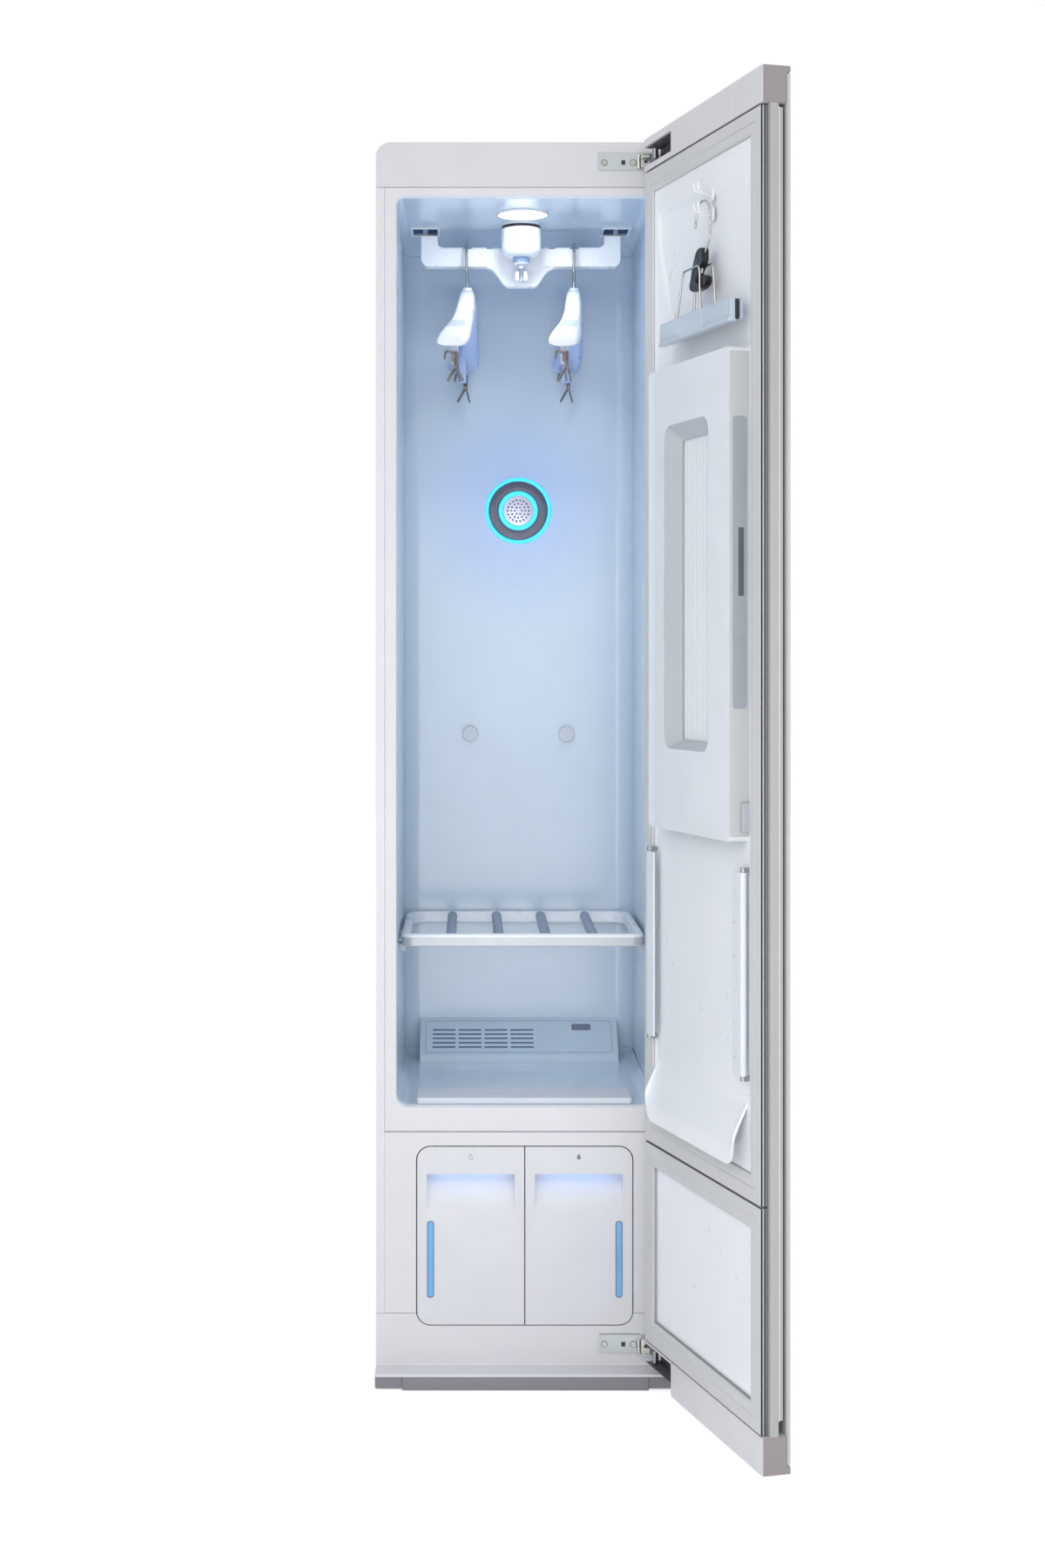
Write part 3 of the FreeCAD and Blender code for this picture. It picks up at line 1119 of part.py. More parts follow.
def hanger_wire(side):
    """A hanger's hook, its clip rail and the two spring clips on it."""
    neck = NECK_TOP_Z
    reach = (BAR_Y[1] - BAR_Y[0]) / 2 + HOOK_ROOM
    inside = reach - WIRE_D / 2
    corner = (BAR_Y[1] - BAR_Y[0]) / 2 + FIT
    centre = BAR_Z[1] - NOTCH_DEEP + FIT - math.sqrt(inside**2 - corner**2)
    top = centre + reach
    route = [(0, 0, neck - WIRE_IN), (0, 0, neck + 2 * WIRE_D), (0, -reach, neck + HANGER_SHOULDERS[0][1])]
    route += [(0, -reach, top), (0, reach, top), (0, reach, centre - HOOK_TIP)]
    bow = reach - BEND_SPARE
    hook = bent_rod(route, WIRE_D, (WIRE_BEND, WIRE_BEND, bow, bow))
    rail = rod(RAIL_D, (RAIL_X, -RAIL_HALF, RAIL_Z), (RAIL_X, RAIL_HALF, RAIL_Z))
    clips = []
    for middle in (CLIP_OUT + CLIP_W / 2 - RAIL_HALF, RAIL_HALF - CLIP_W / 2 - CLIP_OUT):
        low, high = around(middle, CLIP_W)
        sleeve = ring(RAIL_D + 2 * CLIP_WALL, RAIL_D, (RAIL_X, low, RAIL_Z), (RAIL_X, high, RAIL_Z))
        jaws = [prism([(RAIL_X + s * a, RAIL_Z - b) for a, b in CLIP_JAW], "y", low, high) for s in (-1, 1)]
        clips.append(fuse([sleeve] + jaws))
    return Part.makeCompound([on_bar(shape, side) for shape in [hook, rail] + clips])


# ---- fittings in the cavity ----
def nozzle_ring(outer, inner, front):
    """A ring about the nozzle's axis that stands on the back wall."""
    y = (CAVITY_BACK_Y - front, CAVITY_BACK_Y)
    return ring(outer, inner, (0, y[0], NOZZLE_Z), (0, y[1], NOZZLE_Z))


def nozzle():
    """Two light guides with a dark ring between them, around a perforated plate."""
    outer, trim, inner, plate = NOZZLE_DS
    rings = [
        nozzle_ring(outer, trim, NOZZLE_T),
        nozzle_ring(trim, inner, NOZZLE_T + 1),
        nozzle_ring(inner, plate, NOZZLE_T),
    ]
    y = (CAVITY_BACK_Y - NOZZLE_T, CAVITY_BACK_Y)
    holes = []
    for circle, count in NOZZLE_CIRCLES:
        for step in range(count):
            angle = 2 * math.pi * step / count
            x, z = circle * math.cos(angle), NOZZLE_Z + circle * math.sin(angle)
            holes.append(rod(NOZZLE_HOLE_D, (x, y[0] - 1, z), (x, y[1] + 1, z)))
    disc = rod(plate, (0, y[0], NOZZLE_Z), (0, y[1], NOZZLE_Z))
    return Part.makeCompound(rings + [disc.cut(holes)])


def rests_and_buffers():
    """Four rests for the shelf on the side walls and two round buffers on the back wall."""
    pieces = []
    z = (SHELF_Z[0] - REST_H, SHELF_Z[0] - RUNNER_GAP)
    for side in (-1, 1):
        rest_x = around(side * (CAVITY_HALF - REST_OUT / 2), REST_OUT)
        pieces += [box(rest_x, around(y, REST_L), z) for y in REST_Y]
        x = side * BUFFER_X
        pieces.append(rod(BUFFER_D, (x, CAVITY_BACK_Y - BUFFER_T, BUFFER_Z), (x, CAVITY_BACK_Y, BUFFER_Z)))
    return Part.makeCompound(pieces)


def vent_panel():
    """The sloping cover at the back of the floor, with its grille."""
    foot_y, foot_z = VENT_FOOT
    head_y, head_z = VENT_HEAD
    floor, wall = CAVITY_BOTTOM_Z, CAVITY_BACK_Y
    x = around(0, VENT_W)
    outline = [(foot_y, floor), (foot_y, foot_z), (head_y, head_z), (wall, head_z), (wall, floor)]
    solid = prism(outline, "x", *x)
    corner_cut = cavity_block(0, 0, CAVITY_BACK_Y)
    skin = VENT_SKIN
    slope = (head_z - foot_z) / (head_y - foot_y)
    under = skin * math.sqrt(1 + slope**2)
    inner = [
        (foot_y + skin, floor - 1),
        (foot_y + skin, foot_z + skin * slope - under),
        (head_y, head_z - under),
        (wall + 1, head_z - under),
        (wall + 1, floor - 1),
    ]
    room = prism(inner, "x", x[0] + skin, x[1] - skin)
    slots = []
    for row in range(VENT_ROWS):
        y = foot_y + VENT_FIRST_Y + row * VENT_PITCH[1]
        z = foot_z + (y - foot_y) * slope
        for column in range(VENT_COLUMNS):
            start = VENT_FIRST_X + column * VENT_PITCH[0]
            slots.append(box((start, start + VENT_SLOT[0]), (y, y + VENT_SLOT[1]), around(z, 6 * under)))
    return solid.common(corner_cut).cut([room] + slots)


def lint_filter():
    """The lint filter in the floor, under its lid."""
    front, back = FILTER_Y
    floor = CAVITY_BOTTOM_Z
    wall = FILTER_WALL
    over_x, over_y = FILTER_LID_OVER
    lid_z = (floor + RUNNER_GAP, floor + FILTER_LID_H)
    lid = box(around(0, FILTER_W + 2 * over_x), (front - over_y, back + over_y), lid_z)
    lid = rounded(lid, FILTER_LID_R, "z")
    tray = box(around(0, FILTER_W), FILTER_Y, (FILTER_BOTTOM_Z, floor + 1))
    room_z = (FILTER_BOTTOM_Z + wall, floor - wall)
    room = box(around(0, FILTER_W - 2 * wall), (front + wall, back - wall), room_z)
    return fuse([lid, tray]).cut(room)


def shelf():
    """The rack: a rail all round, wider at the front, and four rods along it."""
    half = SHELF_W / 2
    z = SHELF_Z
    outer = box((-half, half), (SHELF_FRONT_Y, SHELF_BACK_Y), z)
    outer = rounded(outer, SHELF_R, "z", lambda p: p.y > SHELF_BACK_Y - 1)
    outer = rounded(outer, SHELF_FRONT_R, "z", lambda p: p.y < SHELF_FRONT_Y + 1)
    inner_y = (SHELF_FRONT_Y + SHELF_RAIL, SHELF_BACK_Y - SHELF_RAIL)
    inner = box((SHELF_RAIL - half, half - SHELF_RAIL), inner_y, (z[0] - 1, z[1] + 1))
    inner = rounded(inner, SHELF_R - SHELF_RAIL, "z", lambda p: p.y > inner_y[1] - 1)
    frame = outer.cut(inner)
    middle = (z[0] + z[1]) / 2
    ends = (inner_y[0] - SHELF_RAIL / 2, inner_y[1] + SHELF_RAIL / 2)
    bars = [rod(SHELF_ROD_D, (x, ends[0], middle), (x, ends[1], middle)) for x in SHELF_ROD_X]
    return fuse([frame] + bars)


# ---- hinge hardware ----
def screw_holes(z):
    """Clearance holes behind one bracket."""
    middle = (z[0] + z[1]) / 2
    hole_d = SCREW_D + 2 * RUNNING_FIT
    return [rod(hole_d, (x, -BRACKET_PAD_T - 1, middle), (x, HEADER_DEPTH, middle)) for x in SCREW_X]


def hinge_brackets():
    """A plate at each end of the hinge side, with lugs and the pin of the link."""
    brackets = []
    pin_x, pin_y = LINK_PIN
    for z in BRACKET_Z:
        plate = box(BRACKET_X, (-BRACKET_T, 0), (z[0], z[0] + BRACKET_H))
        pad = box((BRACKET_X[0] + BRACKET_EDGE, BRACKET_X[1]), (-BRACKET_PAD_T, 0), z)
        lugs = []
        for low in (z[0], z[1] - LUG_T):
            lug = box(around(pin_x, BRACKET_LUG_W), (pin_y, -BRACKET_T), (low, low + LUG_T))
            lugs.append(lug.fuse(rod(BRACKET_LUG_W, (pin_x, pin_y, low), (pin_x, pin_y, low + LUG_T))))
        pin = rod(HINGE_PIN_D, (pin_x, pin_y, z[0]), (pin_x, pin_y, z[1]))
        middle = (z[0] + z[1]) / 2
        window_x, window_w, window_h = BRACKET_WINDOW
        window = box(around(window_x, window_w), (-BRACKET_PAD_T - 1, 1), around(middle, window_h))
        brackets.append(fuse([plate, pad, pin] + lugs).cut(screw_holes(z) + [window]))
    return Part.makeCompound(brackets)


def hinge_screws():
    """Four pan-head screws with a cross recess."""
    screws = []
    for z in BRACKET_Z:
        middle = (z[0] + z[1]) / 2
        for x in SCREW_X:
            face = -BRACKET_PAD_T - SCREW_HEAD_T
            head = rod(SCREW_HEAD_D, (x, face, middle), (x, -BRACKET_PAD_T, middle))
            shank = rod(SCREW_D, (x, -BRACKET_PAD_T - 1, middle), (x, SCREW_REACH, middle))
            cross = [
                box(around(x, a), (face - 1, face + CROSS_DEEP), around(middle, b))
                for a, b in (CROSS_SIZE, CROSS_SIZE[::-1])
            ]
            screws.append(fuse([head, shank]).cut(cross))
    return Part.makeCompound(screws)


def hinge_links():
    """The arm of each hinge, from the bracket's pin into the door's pocket."""
    links = []
    for z in BRACKET_Z:
        span = (z[0] + LUG_T + FIT, z[1] - LUG_T - FIT)
        arm = box((0, LINK_LENGTH), around(0, LINK_W), span)
        boss = rod(2 * LINK_BOSS_R, (0, 0, span[0]), (0, 0, span[1]))
        tip = rod(LINK_W, (LINK_LENGTH, 0, span[0]), (LINK_LENGTH, 0, span[1]))
        bore = rod(HINGE_PIN_D + 2 * RUNNING_FIT, (0, 0, span[0] - 1), (0, 0, span[1] + 1))
        link = fuse([arm, boss, tip]).cut(bore)
        link.rotate(V(0, 0, 0), Z, LINK_ANGLE)
        link.translate(V(LINK_PIN[0], LINK_PIN[1], 0))
        links.append(link)
    return Part.makeCompound(links)


# ---- door ----
def on_door(shape):
    """A piece drawn in the door's own (t, d, z), set on the cabinet with the door open."""
    corner = V(DOOR_W / 2, -DOOR_GAP, 0)
    closed = FreeCAD.Placement(corner, FreeCAD.Rotation(Z, 180))
    axis = V(DOOR_W / 2 - AXIS_IN, -DOOR_GAP - AXIS_DEEP, 0)
    swing = FreeCAD.Placement(V(0, 0, 0), FreeCAD.Rotation(Z, DOOR_OPEN), axis)
    placed = shape.copy()
    placed.Placement = swing.multiply(closed).multiply(shape.Placement)
    return placed


SKIN_D = DOOR_T - GLASS_T
FRAME_Z = (DOOR_Z[0] + CAP_H[0], DOOR_Z[1] - CAP_H[1])


def door_front_panel():
    """The glass front."""
    return rounded(box((0, DOOR_W), (SKIN_D, DOOR_T), GLASS_Z), GLASS_R, "y")


def door_frame():
    """The tray behind the glass, with the grip channel along its free edge."""
    outer = box((0, DOOR_W), (GASKET_T, SKIN_D), FRAME_Z)
    outer = rounded(outer, DOOR_R, "z", lambda p: p.x < 1 and p.y < GASKET_T + 1)
    channel_t = DOOR_W - CHANNEL_DEEP
    inner_z = (FRAME_Z[0] + DOOR_WALL, FRAME_Z[1] - DOOR_WALL)
    inner = box((DOOR_WALL, channel_t - DOOR_WALL), (GASKET_T + DOOR_WALL, SKIN_D + 1), inner_z)
    channel = box((channel_t, DOOR_W + 1), CHANNEL_D, (FRAME_Z[0] - 1, FRAME_Z[1] + 1))
    return outer.cut([inner, channel])


def door_core():
    """The foam that fills the tray."""
    t = (DOOR_WALL, DOOR_W - CHANNEL_DEEP - DOOR_WALL)
    z = (FRAME_Z[0] + DOOR_WALL, FRAME_Z[1] - DOOR_WALL)
    return box(t, (GASKET_T + DOOR_WALL, SKIN_D), z)


def door_caps():
    """The two end caps, each with the pocket of a hinge and a seam."""
    caps = []
    seam_t = around(CAP_SEAM_T, CAP_GROOVE)
    for z, lip_z, pocket_z in (
        ((FRAME_Z[1], DOOR_Z[1]), (GLASS_Z[1] + FIT, DOOR_Z[1]), POCKET_TOP_Z),
        ((DOOR_Z[0], FRAME_Z[0]), (DOOR_Z[0], GLASS_Z[0] - FIT), (DOOR_Z[0] - 1, POCKET_LOW_Z)),
    ):
        cap = box((0, DOOR_W), (0, SKIN_D), z).fuse(box((0, DOOR_W), (SKIN_D - 1, DOOR_T), lip_z))
        cap = rounded(cap.removeSplitter(), DOOR_R, "z", lambda p: p.y < 1)
        pocket = box((-1, POCKET_T), (-1, POCKET_DEEP), pocket_z)
        seam = box(seam_t, (-1, CAP_GROOVE), (z[0] - 1, z[1] + 1))
        caps.append(cap.cut([pocket, seam]))
    return Part.makeCompound(caps)


def gasket(z, hole_z):
    """One sealing ring with folds around its outer side."""
    ring_box = box(GASKET_OUT, (0, GASKET_T), z)
    hole = box(GASKET_IN, (-1, GASKET_T + 1), hole_z)
    folds = []
    core_t = (GASKET_OUT[0] + FOLD_DEEP, GASKET_OUT[1] - FOLD_DEEP)
    core = box(core_t, (0, GASKET_T), (z[0] + FOLD_DEEP, z[1] - FOLD_DEEP))
    for d in FOLD_D:
        folds.append(box((0, DOOR_W), (d, d + FOLD_W), (z[0] - 1, z[1] + 1)).cut(core))
    return ring_box.cut([hole] + folds)


def door_gaskets():
    """The upper ring around the hanging space and the lower ring around the tanks."""
    edge = GASKET_EDGE
    upper = gasket((GASKET_SPLIT_Z + edge, FRAME_Z[1] - edge), UPPER_HOLE_Z)
    lower = gasket((FRAME_Z[0] + edge, GASKET_SPLIT_Z - edge), LOWER_HOLE_Z)
    return Part.makeCompound([upper, lower])


def door_liner():
    """The moulded panel of the hanging space, with its ramp, and the flat panel below it."""
    t = (GASKET_IN[0] + FIT, GASKET_IN[1] - FIT)
    upper = box(t, (LINER_FACE, GASKET_T), (UPPER_HOLE_Z[0] + FIT, UPPER_HOLE_Z[1] - FIT))
    ramp = [(LINER_FACE + 1, RAMP_LOW_Z)] + [(d, RAMP_LOW_Z + rise) for d, rise in RAMP_SECTION]
    upper = upper.fuse(prism(ramp, "x", *RAMP_T)).removeSplitter()
    lower = box(t, (LINER_FACE, GASKET_T), (LOWER_HOLE_Z[0] + FIT, LOWER_HOLE_Z[1] - FIT))
    return Part.makeCompound([upper, lower])


def pin_stand(t, d, z_pair):
    """Two lugs on the door's liner with a pin between them."""
    lugs = []
    for low in (z_pair[0] - STAND_H, z_pair[1]):
        lug = box(around(t, STAND_W), (d, LINER_FACE), (low, low + STAND_H))
        lugs.append(lug.fuse(rod(STAND_W, (t, d, low), (t, d, low + STAND_H))))
    return fuse(lugs + [rod(DOOR_PIN_D, (t, d, z_pair[0] - 1), (t, d, z_pair[1] + 1))])


def door_hinge_pins():
    """The pins and lugs of the press cover and of the two hem holders."""
    stands = [pin_stand(PRESS_AXIS_T, 0, around(z, KNUCKLE_H + 2 * FIT)) for z in PRESS_HINGE_Z]
    stands += [pin_stand(t, HEM_D, (HEM_Z[0] - FIT, HEM_Z[1] + FIT)) for t in HEM_T]
    return Part.makeCompound(stands)


def door_hooks():
    """The white double hook and the catch of the press cover."""
    width, thick, below, above = HOOK_PLATE
    face = LINER_FACE - thick
    plate = box(around(HOOK_T, width), (face, LINER_FACE), (HOOK_Z[0] - below, HOOK_Z[1] + above))
    prong_t = around(HOOK_T, PRONG_W)
    tip_d = (2 * HANG_D, 2 * HANG_D + PRONG_TIP[0])
    prongs = []
    for top in HOOK_Z:
        prongs.append(box(prong_t, (tip_d[0], face + 1), (top - PRONG_H, top)))
        prongs.append(box(prong_t, tip_d, (top - PRONG_H, top + PRONG_TIP[1])))
    catch = box((PRESS_T[1] + 1, GASKET_IN[1] - 2), (-CATCH_OUT, LINER_FACE), CATCH_Z)
    return Part.makeCompound([fuse([plate] + prongs), catch])


# ---- trouser press ----
def press_cover():
    """The cover: a tray over the pad with a rounded window, open at top and bottom for the cloth."""
    d = PRESS_D
    outer = rounded(box(PRESS_T, d, PRESS_Z), PRESS_R, "y")
    t_in = (PRESS_T[0] + PRESS_WALL, PRESS_T[1] - PRESS_WALL)
    inner_z = (PRESS_Z[0] + PRESS_WALL, PRESS_Z[1] - PRESS_WALL)
    inner = rounded(box(t_in, (d[0] + PRESS_SKIN, d[1] + 1), inner_z), PRESS_R - PRESS_WALL, "y")
    slot_z = (PRESS_Z[0] - 1, PRESS_Z[1] + 1)
    slots = box(PAD_T, (WINDOW_BACK, d[1] + 1), slot_z)
    window = box(PRESS_WINDOW_T, (d[0] - 1, d[0] + PRESS_SKIN + 1), PRESS_WINDOW_Z)
    window = rounded(window, PRESS_WINDOW_R, "y")
    latch_z = (LATCH_Z[0] - SEAM, LATCH_Z[1] + LATCH_TRAVEL + SEAM)
    latch_slot = box((t_in[1] - 1, PRESS_T[1] + 1), LATCH_D, latch_z)
    knuckles = []
    bores = []
    for z in PRESS_HINGE_Z:
        span = around(z, KNUCKLE_H)
        knuckles.append(rod(KNUCKLE_D, (PRESS_AXIS_T, 0, span[0]), (PRESS_AXIS_T, 0, span[1])))
        knuckles.append(box((PRESS_AXIS_T, PRESS_T[0] + 1), (-PRESS_WALL, PRESS_WALL), span))
        bores.append(door_bore(PRESS_AXIS_T, 0, span))
    shell = outer.cut([inner, slots, window, latch_slot])
    return fuse([shell] + knuckles).cut(bores)


def door_bore(t, d, span):
    """A running hole about a pin on the door."""
    return rod(DOOR_PIN_D + 2 * RUNNING_FIT, (t, d, span[0] - 1), (t, d, span[1] + 1))


def press_window():
    """The clear window behind the cover's opening."""
    edge = WINDOW_FRAME
    t = (PRESS_WINDOW_T[0] - edge, PRESS_WINDOW_T[1] + edge)
    z = (PRESS_WINDOW_Z[0] - edge, PRESS_WINDOW_Z[1] + edge)
    return rounded(box(t, (PRESS_D[0] + PRESS_SKIN, WINDOW_BACK), z), PRESS_WINDOW_R + edge, "y")


def press_latch():
    """The sliding latch in the cover's free side."""
    t = (PRESS_T[1] - PRESS_WALL, PRESS_T[1] + LATCH_PROUD)
    d = (LATCH_D[0] + FIT, LATCH_D[1] - FIT)
    return box(t, d, LATCH_Z)


def press_pad():
    """The ribbed board that the cloth is pressed against."""
    board = rounded(box(PAD_T, (PAD_FACE, LINER_FACE), PAD_Z), PAD_R, "y")
    width, deep = PAD_GROOVE
    d = (PAD_FACE - 1, PAD_FACE + deep)
    z = (PAD_Z[0] + PAD_MARGIN, PAD_Z[1] - PAD_MARGIN)
    middles = spread((PAD_T[0] + PAD_MARGIN, PAD_T[1] - PAD_MARGIN), PAD_RIBS)
    grooves = [box(around(t, width), d, z) for t in middles]
    return board.cut(grooves)


def hem_holder(side):
    """A flap with a row of small holes on an upright pin; side is the way its free edge points."""
    axis = HEM_T[0] if side > 0 else HEM_T[1]
    t = (axis, axis + HEM_W) if side > 0 else (axis - HEM_W, axis)
    sleeve = rod(KNUCKLE_D, (axis, HEM_D, HEM_Z[0]), (axis, HEM_D, HEM_Z[1]))
    back = HEM_D - FLAP_BACK
    flap = box(t, (back - FLAP_T, back), HEM_Z)
    half_step = (HEM_Z[1] - HEM_Z[0]) / HEM_HOLES / 2
    middle = axis + side * (HEM_W - HEM_HOLE_IN)
    holes = [
        rod(HEM_HOLE_D, (middle, back - FLAP_T - 1, z), (middle, back + 1, z))
        for z in spread((HEM_Z[0] + half_step, HEM_Z[1] - half_step), HEM_HOLES)
    ]
    return fuse([sleeve, flap]).cut(holes + [door_bore(axis, HEM_D, HEM_Z)])


# ---- trouser hanger on the door ----
def trouser_hanger():
    """The wire: a hook over the lower prong, a stem and a yoke down to the clamp."""
    wire = TROUSER_WIRE_D
    reach = PRONG_W / 2 + wire / 2 + TROUSER_HOOK_ROOM
    centre = HOOK_Z[0] + FIT - math.sqrt((reach - wire / 2) ** 2 - (PRONG_W / 2 + FIT) ** 2)
    top = centre + reach
    knot_z = LOCK_Z[0] - TROUSER_KNOT
    jog = [LOCK_Z[1] + rise for rise in TROUSER_JOG]
    route = [(HOOK_T, knot_z), (HOOK_T, jog[0]), (HOOK_T + reach, jog[1])]
    route += [(HOOK_T + reach, top), (HOOK_T - reach, top), (HOOK_T - reach, centre - TROUSER_TIP)]
    bends = (TROUSER_BEND, TROUSER_BEND, reach - BEND_SPARE, reach - BEND_SPARE)
    stem = bent_rod([(t, HANG_D, z) for t, z in route], wire, bends)
    legs = []
    for side in (-1, 1):
        foot_t = HOOK_T + side * YOKE_HALF
        path = [(HOOK_T, knot_z), (foot_t, CLAMP_Z[1] + YOKE_FOOT), (foot_t, CLAMP_Z[1])]
        legs.append(bent_rod([(t, HANG_D, z) for t, z in path], wire, (TROUSER_BEND,)))
    knot = Part.makeSphere(wire / 2 + 1, V(HOOK_T, HANG_D, knot_z))
    return fuse([stem, knot] + legs)


def clamp_bar():
    """The long clamp with its slot for the hems."""
    bar = rounded(box(CLAMP_T, CLAMP_D, CLAMP_Z), CLAMP_R, "x")
    width, over = CLAMP_SLOT
    middle = (CLAMP_D[0] + CLAMP_D[1]) / 2
    slot = box((CLAMP_T[0] - 1, CLAMP_T[1] + 1), around(middle, width), (CLAMP_Z[0] - 1, CLAMP_Z[1] - over))
    return bar.cut(slot)


def clamp_lock():
    """The black slider on the stem."""
    lock = rounded(box(around(HOOK_T, LOCK_SIZE[0]), around(HANG_D, LOCK_SIZE[1]), LOCK_Z), LOCK_R, "z")
    ends = [(HOOK_T, HANG_D, z) for z in (LOCK_Z[0] - 1, LOCK_Z[1] + 1)]
    return lock.cut(rod(TROUSER_WIRE_D + 2 * RUNNING_FIT, *ends))


CABINET_NODES = {
    "outer_wrap": outer_wrap,
    "back_cover": back_cover,
    "header_panel": header_panel,
    "front_frame": front_frame,
    "cavity_liner": cavity_liner,
    "insulation": insulation,
    "lower_panel": lower_panel,
    "base_plinth": base_plinth,
    "levelling_feet": levelling_feet,
    "base_pan": base_pan,
    "tank_surround": tank_surround,
    "tank_bay": tank_bay,
    "drain_tank": lambda: tank(-1),
    "water_tank": lambda: tank(1),
    "compressor": compressor,
    "heat_exchangers": heat_exchangers,
    "heat_pump_duct": heat_pump_duct,
    "fan_rotor": fan_rotor,
    "fan_motor": fan_motor,
    "rear_air_duct": rear_air_duct,
    "steam_generator": steam_generator,
    "internal_pipes": internal_pipes,
    "pumps": pumps,
    "control_box": control_box,
    "lamp_lens": lamp_lens,
    "ceiling_bezels": ceiling_bezels,
    "drive_housing": drive_housing,
    "drive_motor": drive_motor,
    "drive_crank": drive_crank,
    "guide_rods": guide_rods,
    "hanger_bar": hanger_bar,
    "hanger_left": lambda: hanger(-1),
    "hanger_right": lambda: hanger(1),
    "hanger_left_wire": lambda: hanger_wire(-1),
    "hanger_right_wire": lambda: hanger_wire(1),
    "nozzle": nozzle,
    "rests_and_buffers": rests_and_buffers,
    "vent_panel": vent_panel,
    "lint_filter": lint_filter,
    "shelf": shelf,
    "hinge_brackets": hinge_brackets,
    "hinge_screws": hinge_screws,
    "hinge_links": hinge_links,
}
DOOR_NODES = {
    "door_front_panel": door_front_panel,
    "door_frame": door_frame,
    "door_core": door_core,
    "door_caps": door_caps,
    "door_gaskets": door_gaskets,
    "door_liner": door_liner,
    "door_hinge_pins": door_hinge_pins,
    "door_hooks": door_hooks,
    "press_cover": press_cover,
    "press_window": press_window,
    "press_latch": press_latch,
    "press_pad": press_pad,
    "hem_holder_left": lambda: hem_holder(1),
    "hem_holder_right": lambda: hem_holder(-1),
    "trouser_hanger": trouser_hanger,
    "clamp_bar": clamp_bar,
    "clamp_lock": clamp_lock,
}


def main():
    """Write every node's STEP file."""
    os.makedirs("parts", exist_ok=True)
    for name, make in CABINET_NODES.items():
        make().exportStep(f"parts/{name}.step")
    for name, make in DOOR_NODES.items():
        on_door(make()).exportStep(f"parts/{name}.step")


main()
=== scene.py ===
"""Looks of the clothes care steam cabinet, laid out as an add-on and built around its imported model.

Sizes are in millimetres where they are named, and mm() turns them into Blender's metres. Widths of
eased edges and places in a finish are in metres. The cabinet stands on the floor with its front
face at Y = 0. Door pieces are made in the door's own t (from the hinge edge), d (from the sealing
face out to the glass) and z, and DOOR sets them in place.
"""
import json
import math

import bmesh
import bpy
from bpy.props import FloatProperty, FloatVectorProperty, IntProperty, PointerProperty
from mathutils import Matrix, Vector


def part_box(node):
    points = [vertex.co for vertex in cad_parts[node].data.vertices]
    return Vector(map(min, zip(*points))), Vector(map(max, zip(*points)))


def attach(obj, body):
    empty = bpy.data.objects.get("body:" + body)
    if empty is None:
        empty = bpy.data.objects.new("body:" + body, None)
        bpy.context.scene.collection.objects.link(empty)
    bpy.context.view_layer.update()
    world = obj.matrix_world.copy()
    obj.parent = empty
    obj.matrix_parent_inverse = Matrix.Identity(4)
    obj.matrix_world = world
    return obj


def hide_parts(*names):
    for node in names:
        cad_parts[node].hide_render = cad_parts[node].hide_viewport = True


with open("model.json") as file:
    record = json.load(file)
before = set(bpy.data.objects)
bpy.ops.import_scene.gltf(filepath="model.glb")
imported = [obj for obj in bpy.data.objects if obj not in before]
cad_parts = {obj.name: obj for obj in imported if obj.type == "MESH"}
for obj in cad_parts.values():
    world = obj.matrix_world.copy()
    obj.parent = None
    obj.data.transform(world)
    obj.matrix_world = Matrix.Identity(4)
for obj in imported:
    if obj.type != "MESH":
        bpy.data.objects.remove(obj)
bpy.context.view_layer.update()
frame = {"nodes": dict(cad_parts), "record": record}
NODES = frame["nodes"]

bl_info = {
    "name": "Clothes Care Steam Cabinet",
    "version": (1, 0, 0),
    "blender": (4, 5, 0),
    "location": "View3D > Sidebar > Steam Cabinet",
    "description": "Builds the finish and the fine parts of a clothes care steam cabinet",
    "category": "Object",
}

X, Y, Z = range(3)
UP, DOWN, FORWARD = (0, 0, 1), (0, 0, -1), (0, -1, 0)


# ---- driving dimensions, mm ----
def span(node, axis):
    """The lowest and highest place of a node along an axis, in millimetres."""
    low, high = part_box(node)
    return round(low[axis] * 1000, 2), round(high[axis] * 1000, 2)


def around(middle, half):
    """A span about a middle."""
    return middle - half, middle + half


CAVITY_Z = (span("insulation", Z)[0], span("ceiling_bezels", Z)[1])
CAVITY_BACK_Y = span("nozzle", Y)[1]
LAMP_Y = sum(span("lamp_lens", Y)) / 2
DRIVE_Y = sum(span("drive_motor", Y)) / 2
HANGER_X = 86.0
HANGER_Y = 267.0
HANGER_HALF = 164.0
HANGER_YAW = -3.0
HANGER_SWEEP = -17.0
SWEEP_POWER = 4
HANGER_NECK_Z = span("hanger_left", Z)[1]
RAIL_Z = 1543.0
RAIL_HALF = HANGER_HALF - 8
RAIL_X = HANGER_SWEEP * (RAIL_HALF / HANGER_HALF) ** SWEEP_POWER
SHELF_Y = span("shelf", Y)
SHELF_Z = span("shelf", Z)
SHELF_HALF = span("shelf", X)[1]
SHELF_ROD_X = (-111.0, -37.0, 37.0, 111.0)
TANK_MIDDLE = sum(span("water_tank", X)) / 2
GRIP_TOP_Z = 309.0
WINDOW_X = 140.75
WINDOW_Z = (125.0, 238.0)
NOZZLE_Z = span("nozzle", Z)[1] - span("nozzle", X)[1]
FOOT_PLACES = ((-196.5, -15.0), (-196.5, 514.0), (196.5, -15.0), (196.5, 514.0))
DOOR_W = 440.0
DOOR_GAP = 1.0
DOOR_OPEN = 105.76
DOOR_AXIS = (7.05, 38.2)
LINER_T = (37.3, 399.7)
LINER_Z = (407.3, 1759.7)
LOWER_LINER_Z = (110.3, 337.7)


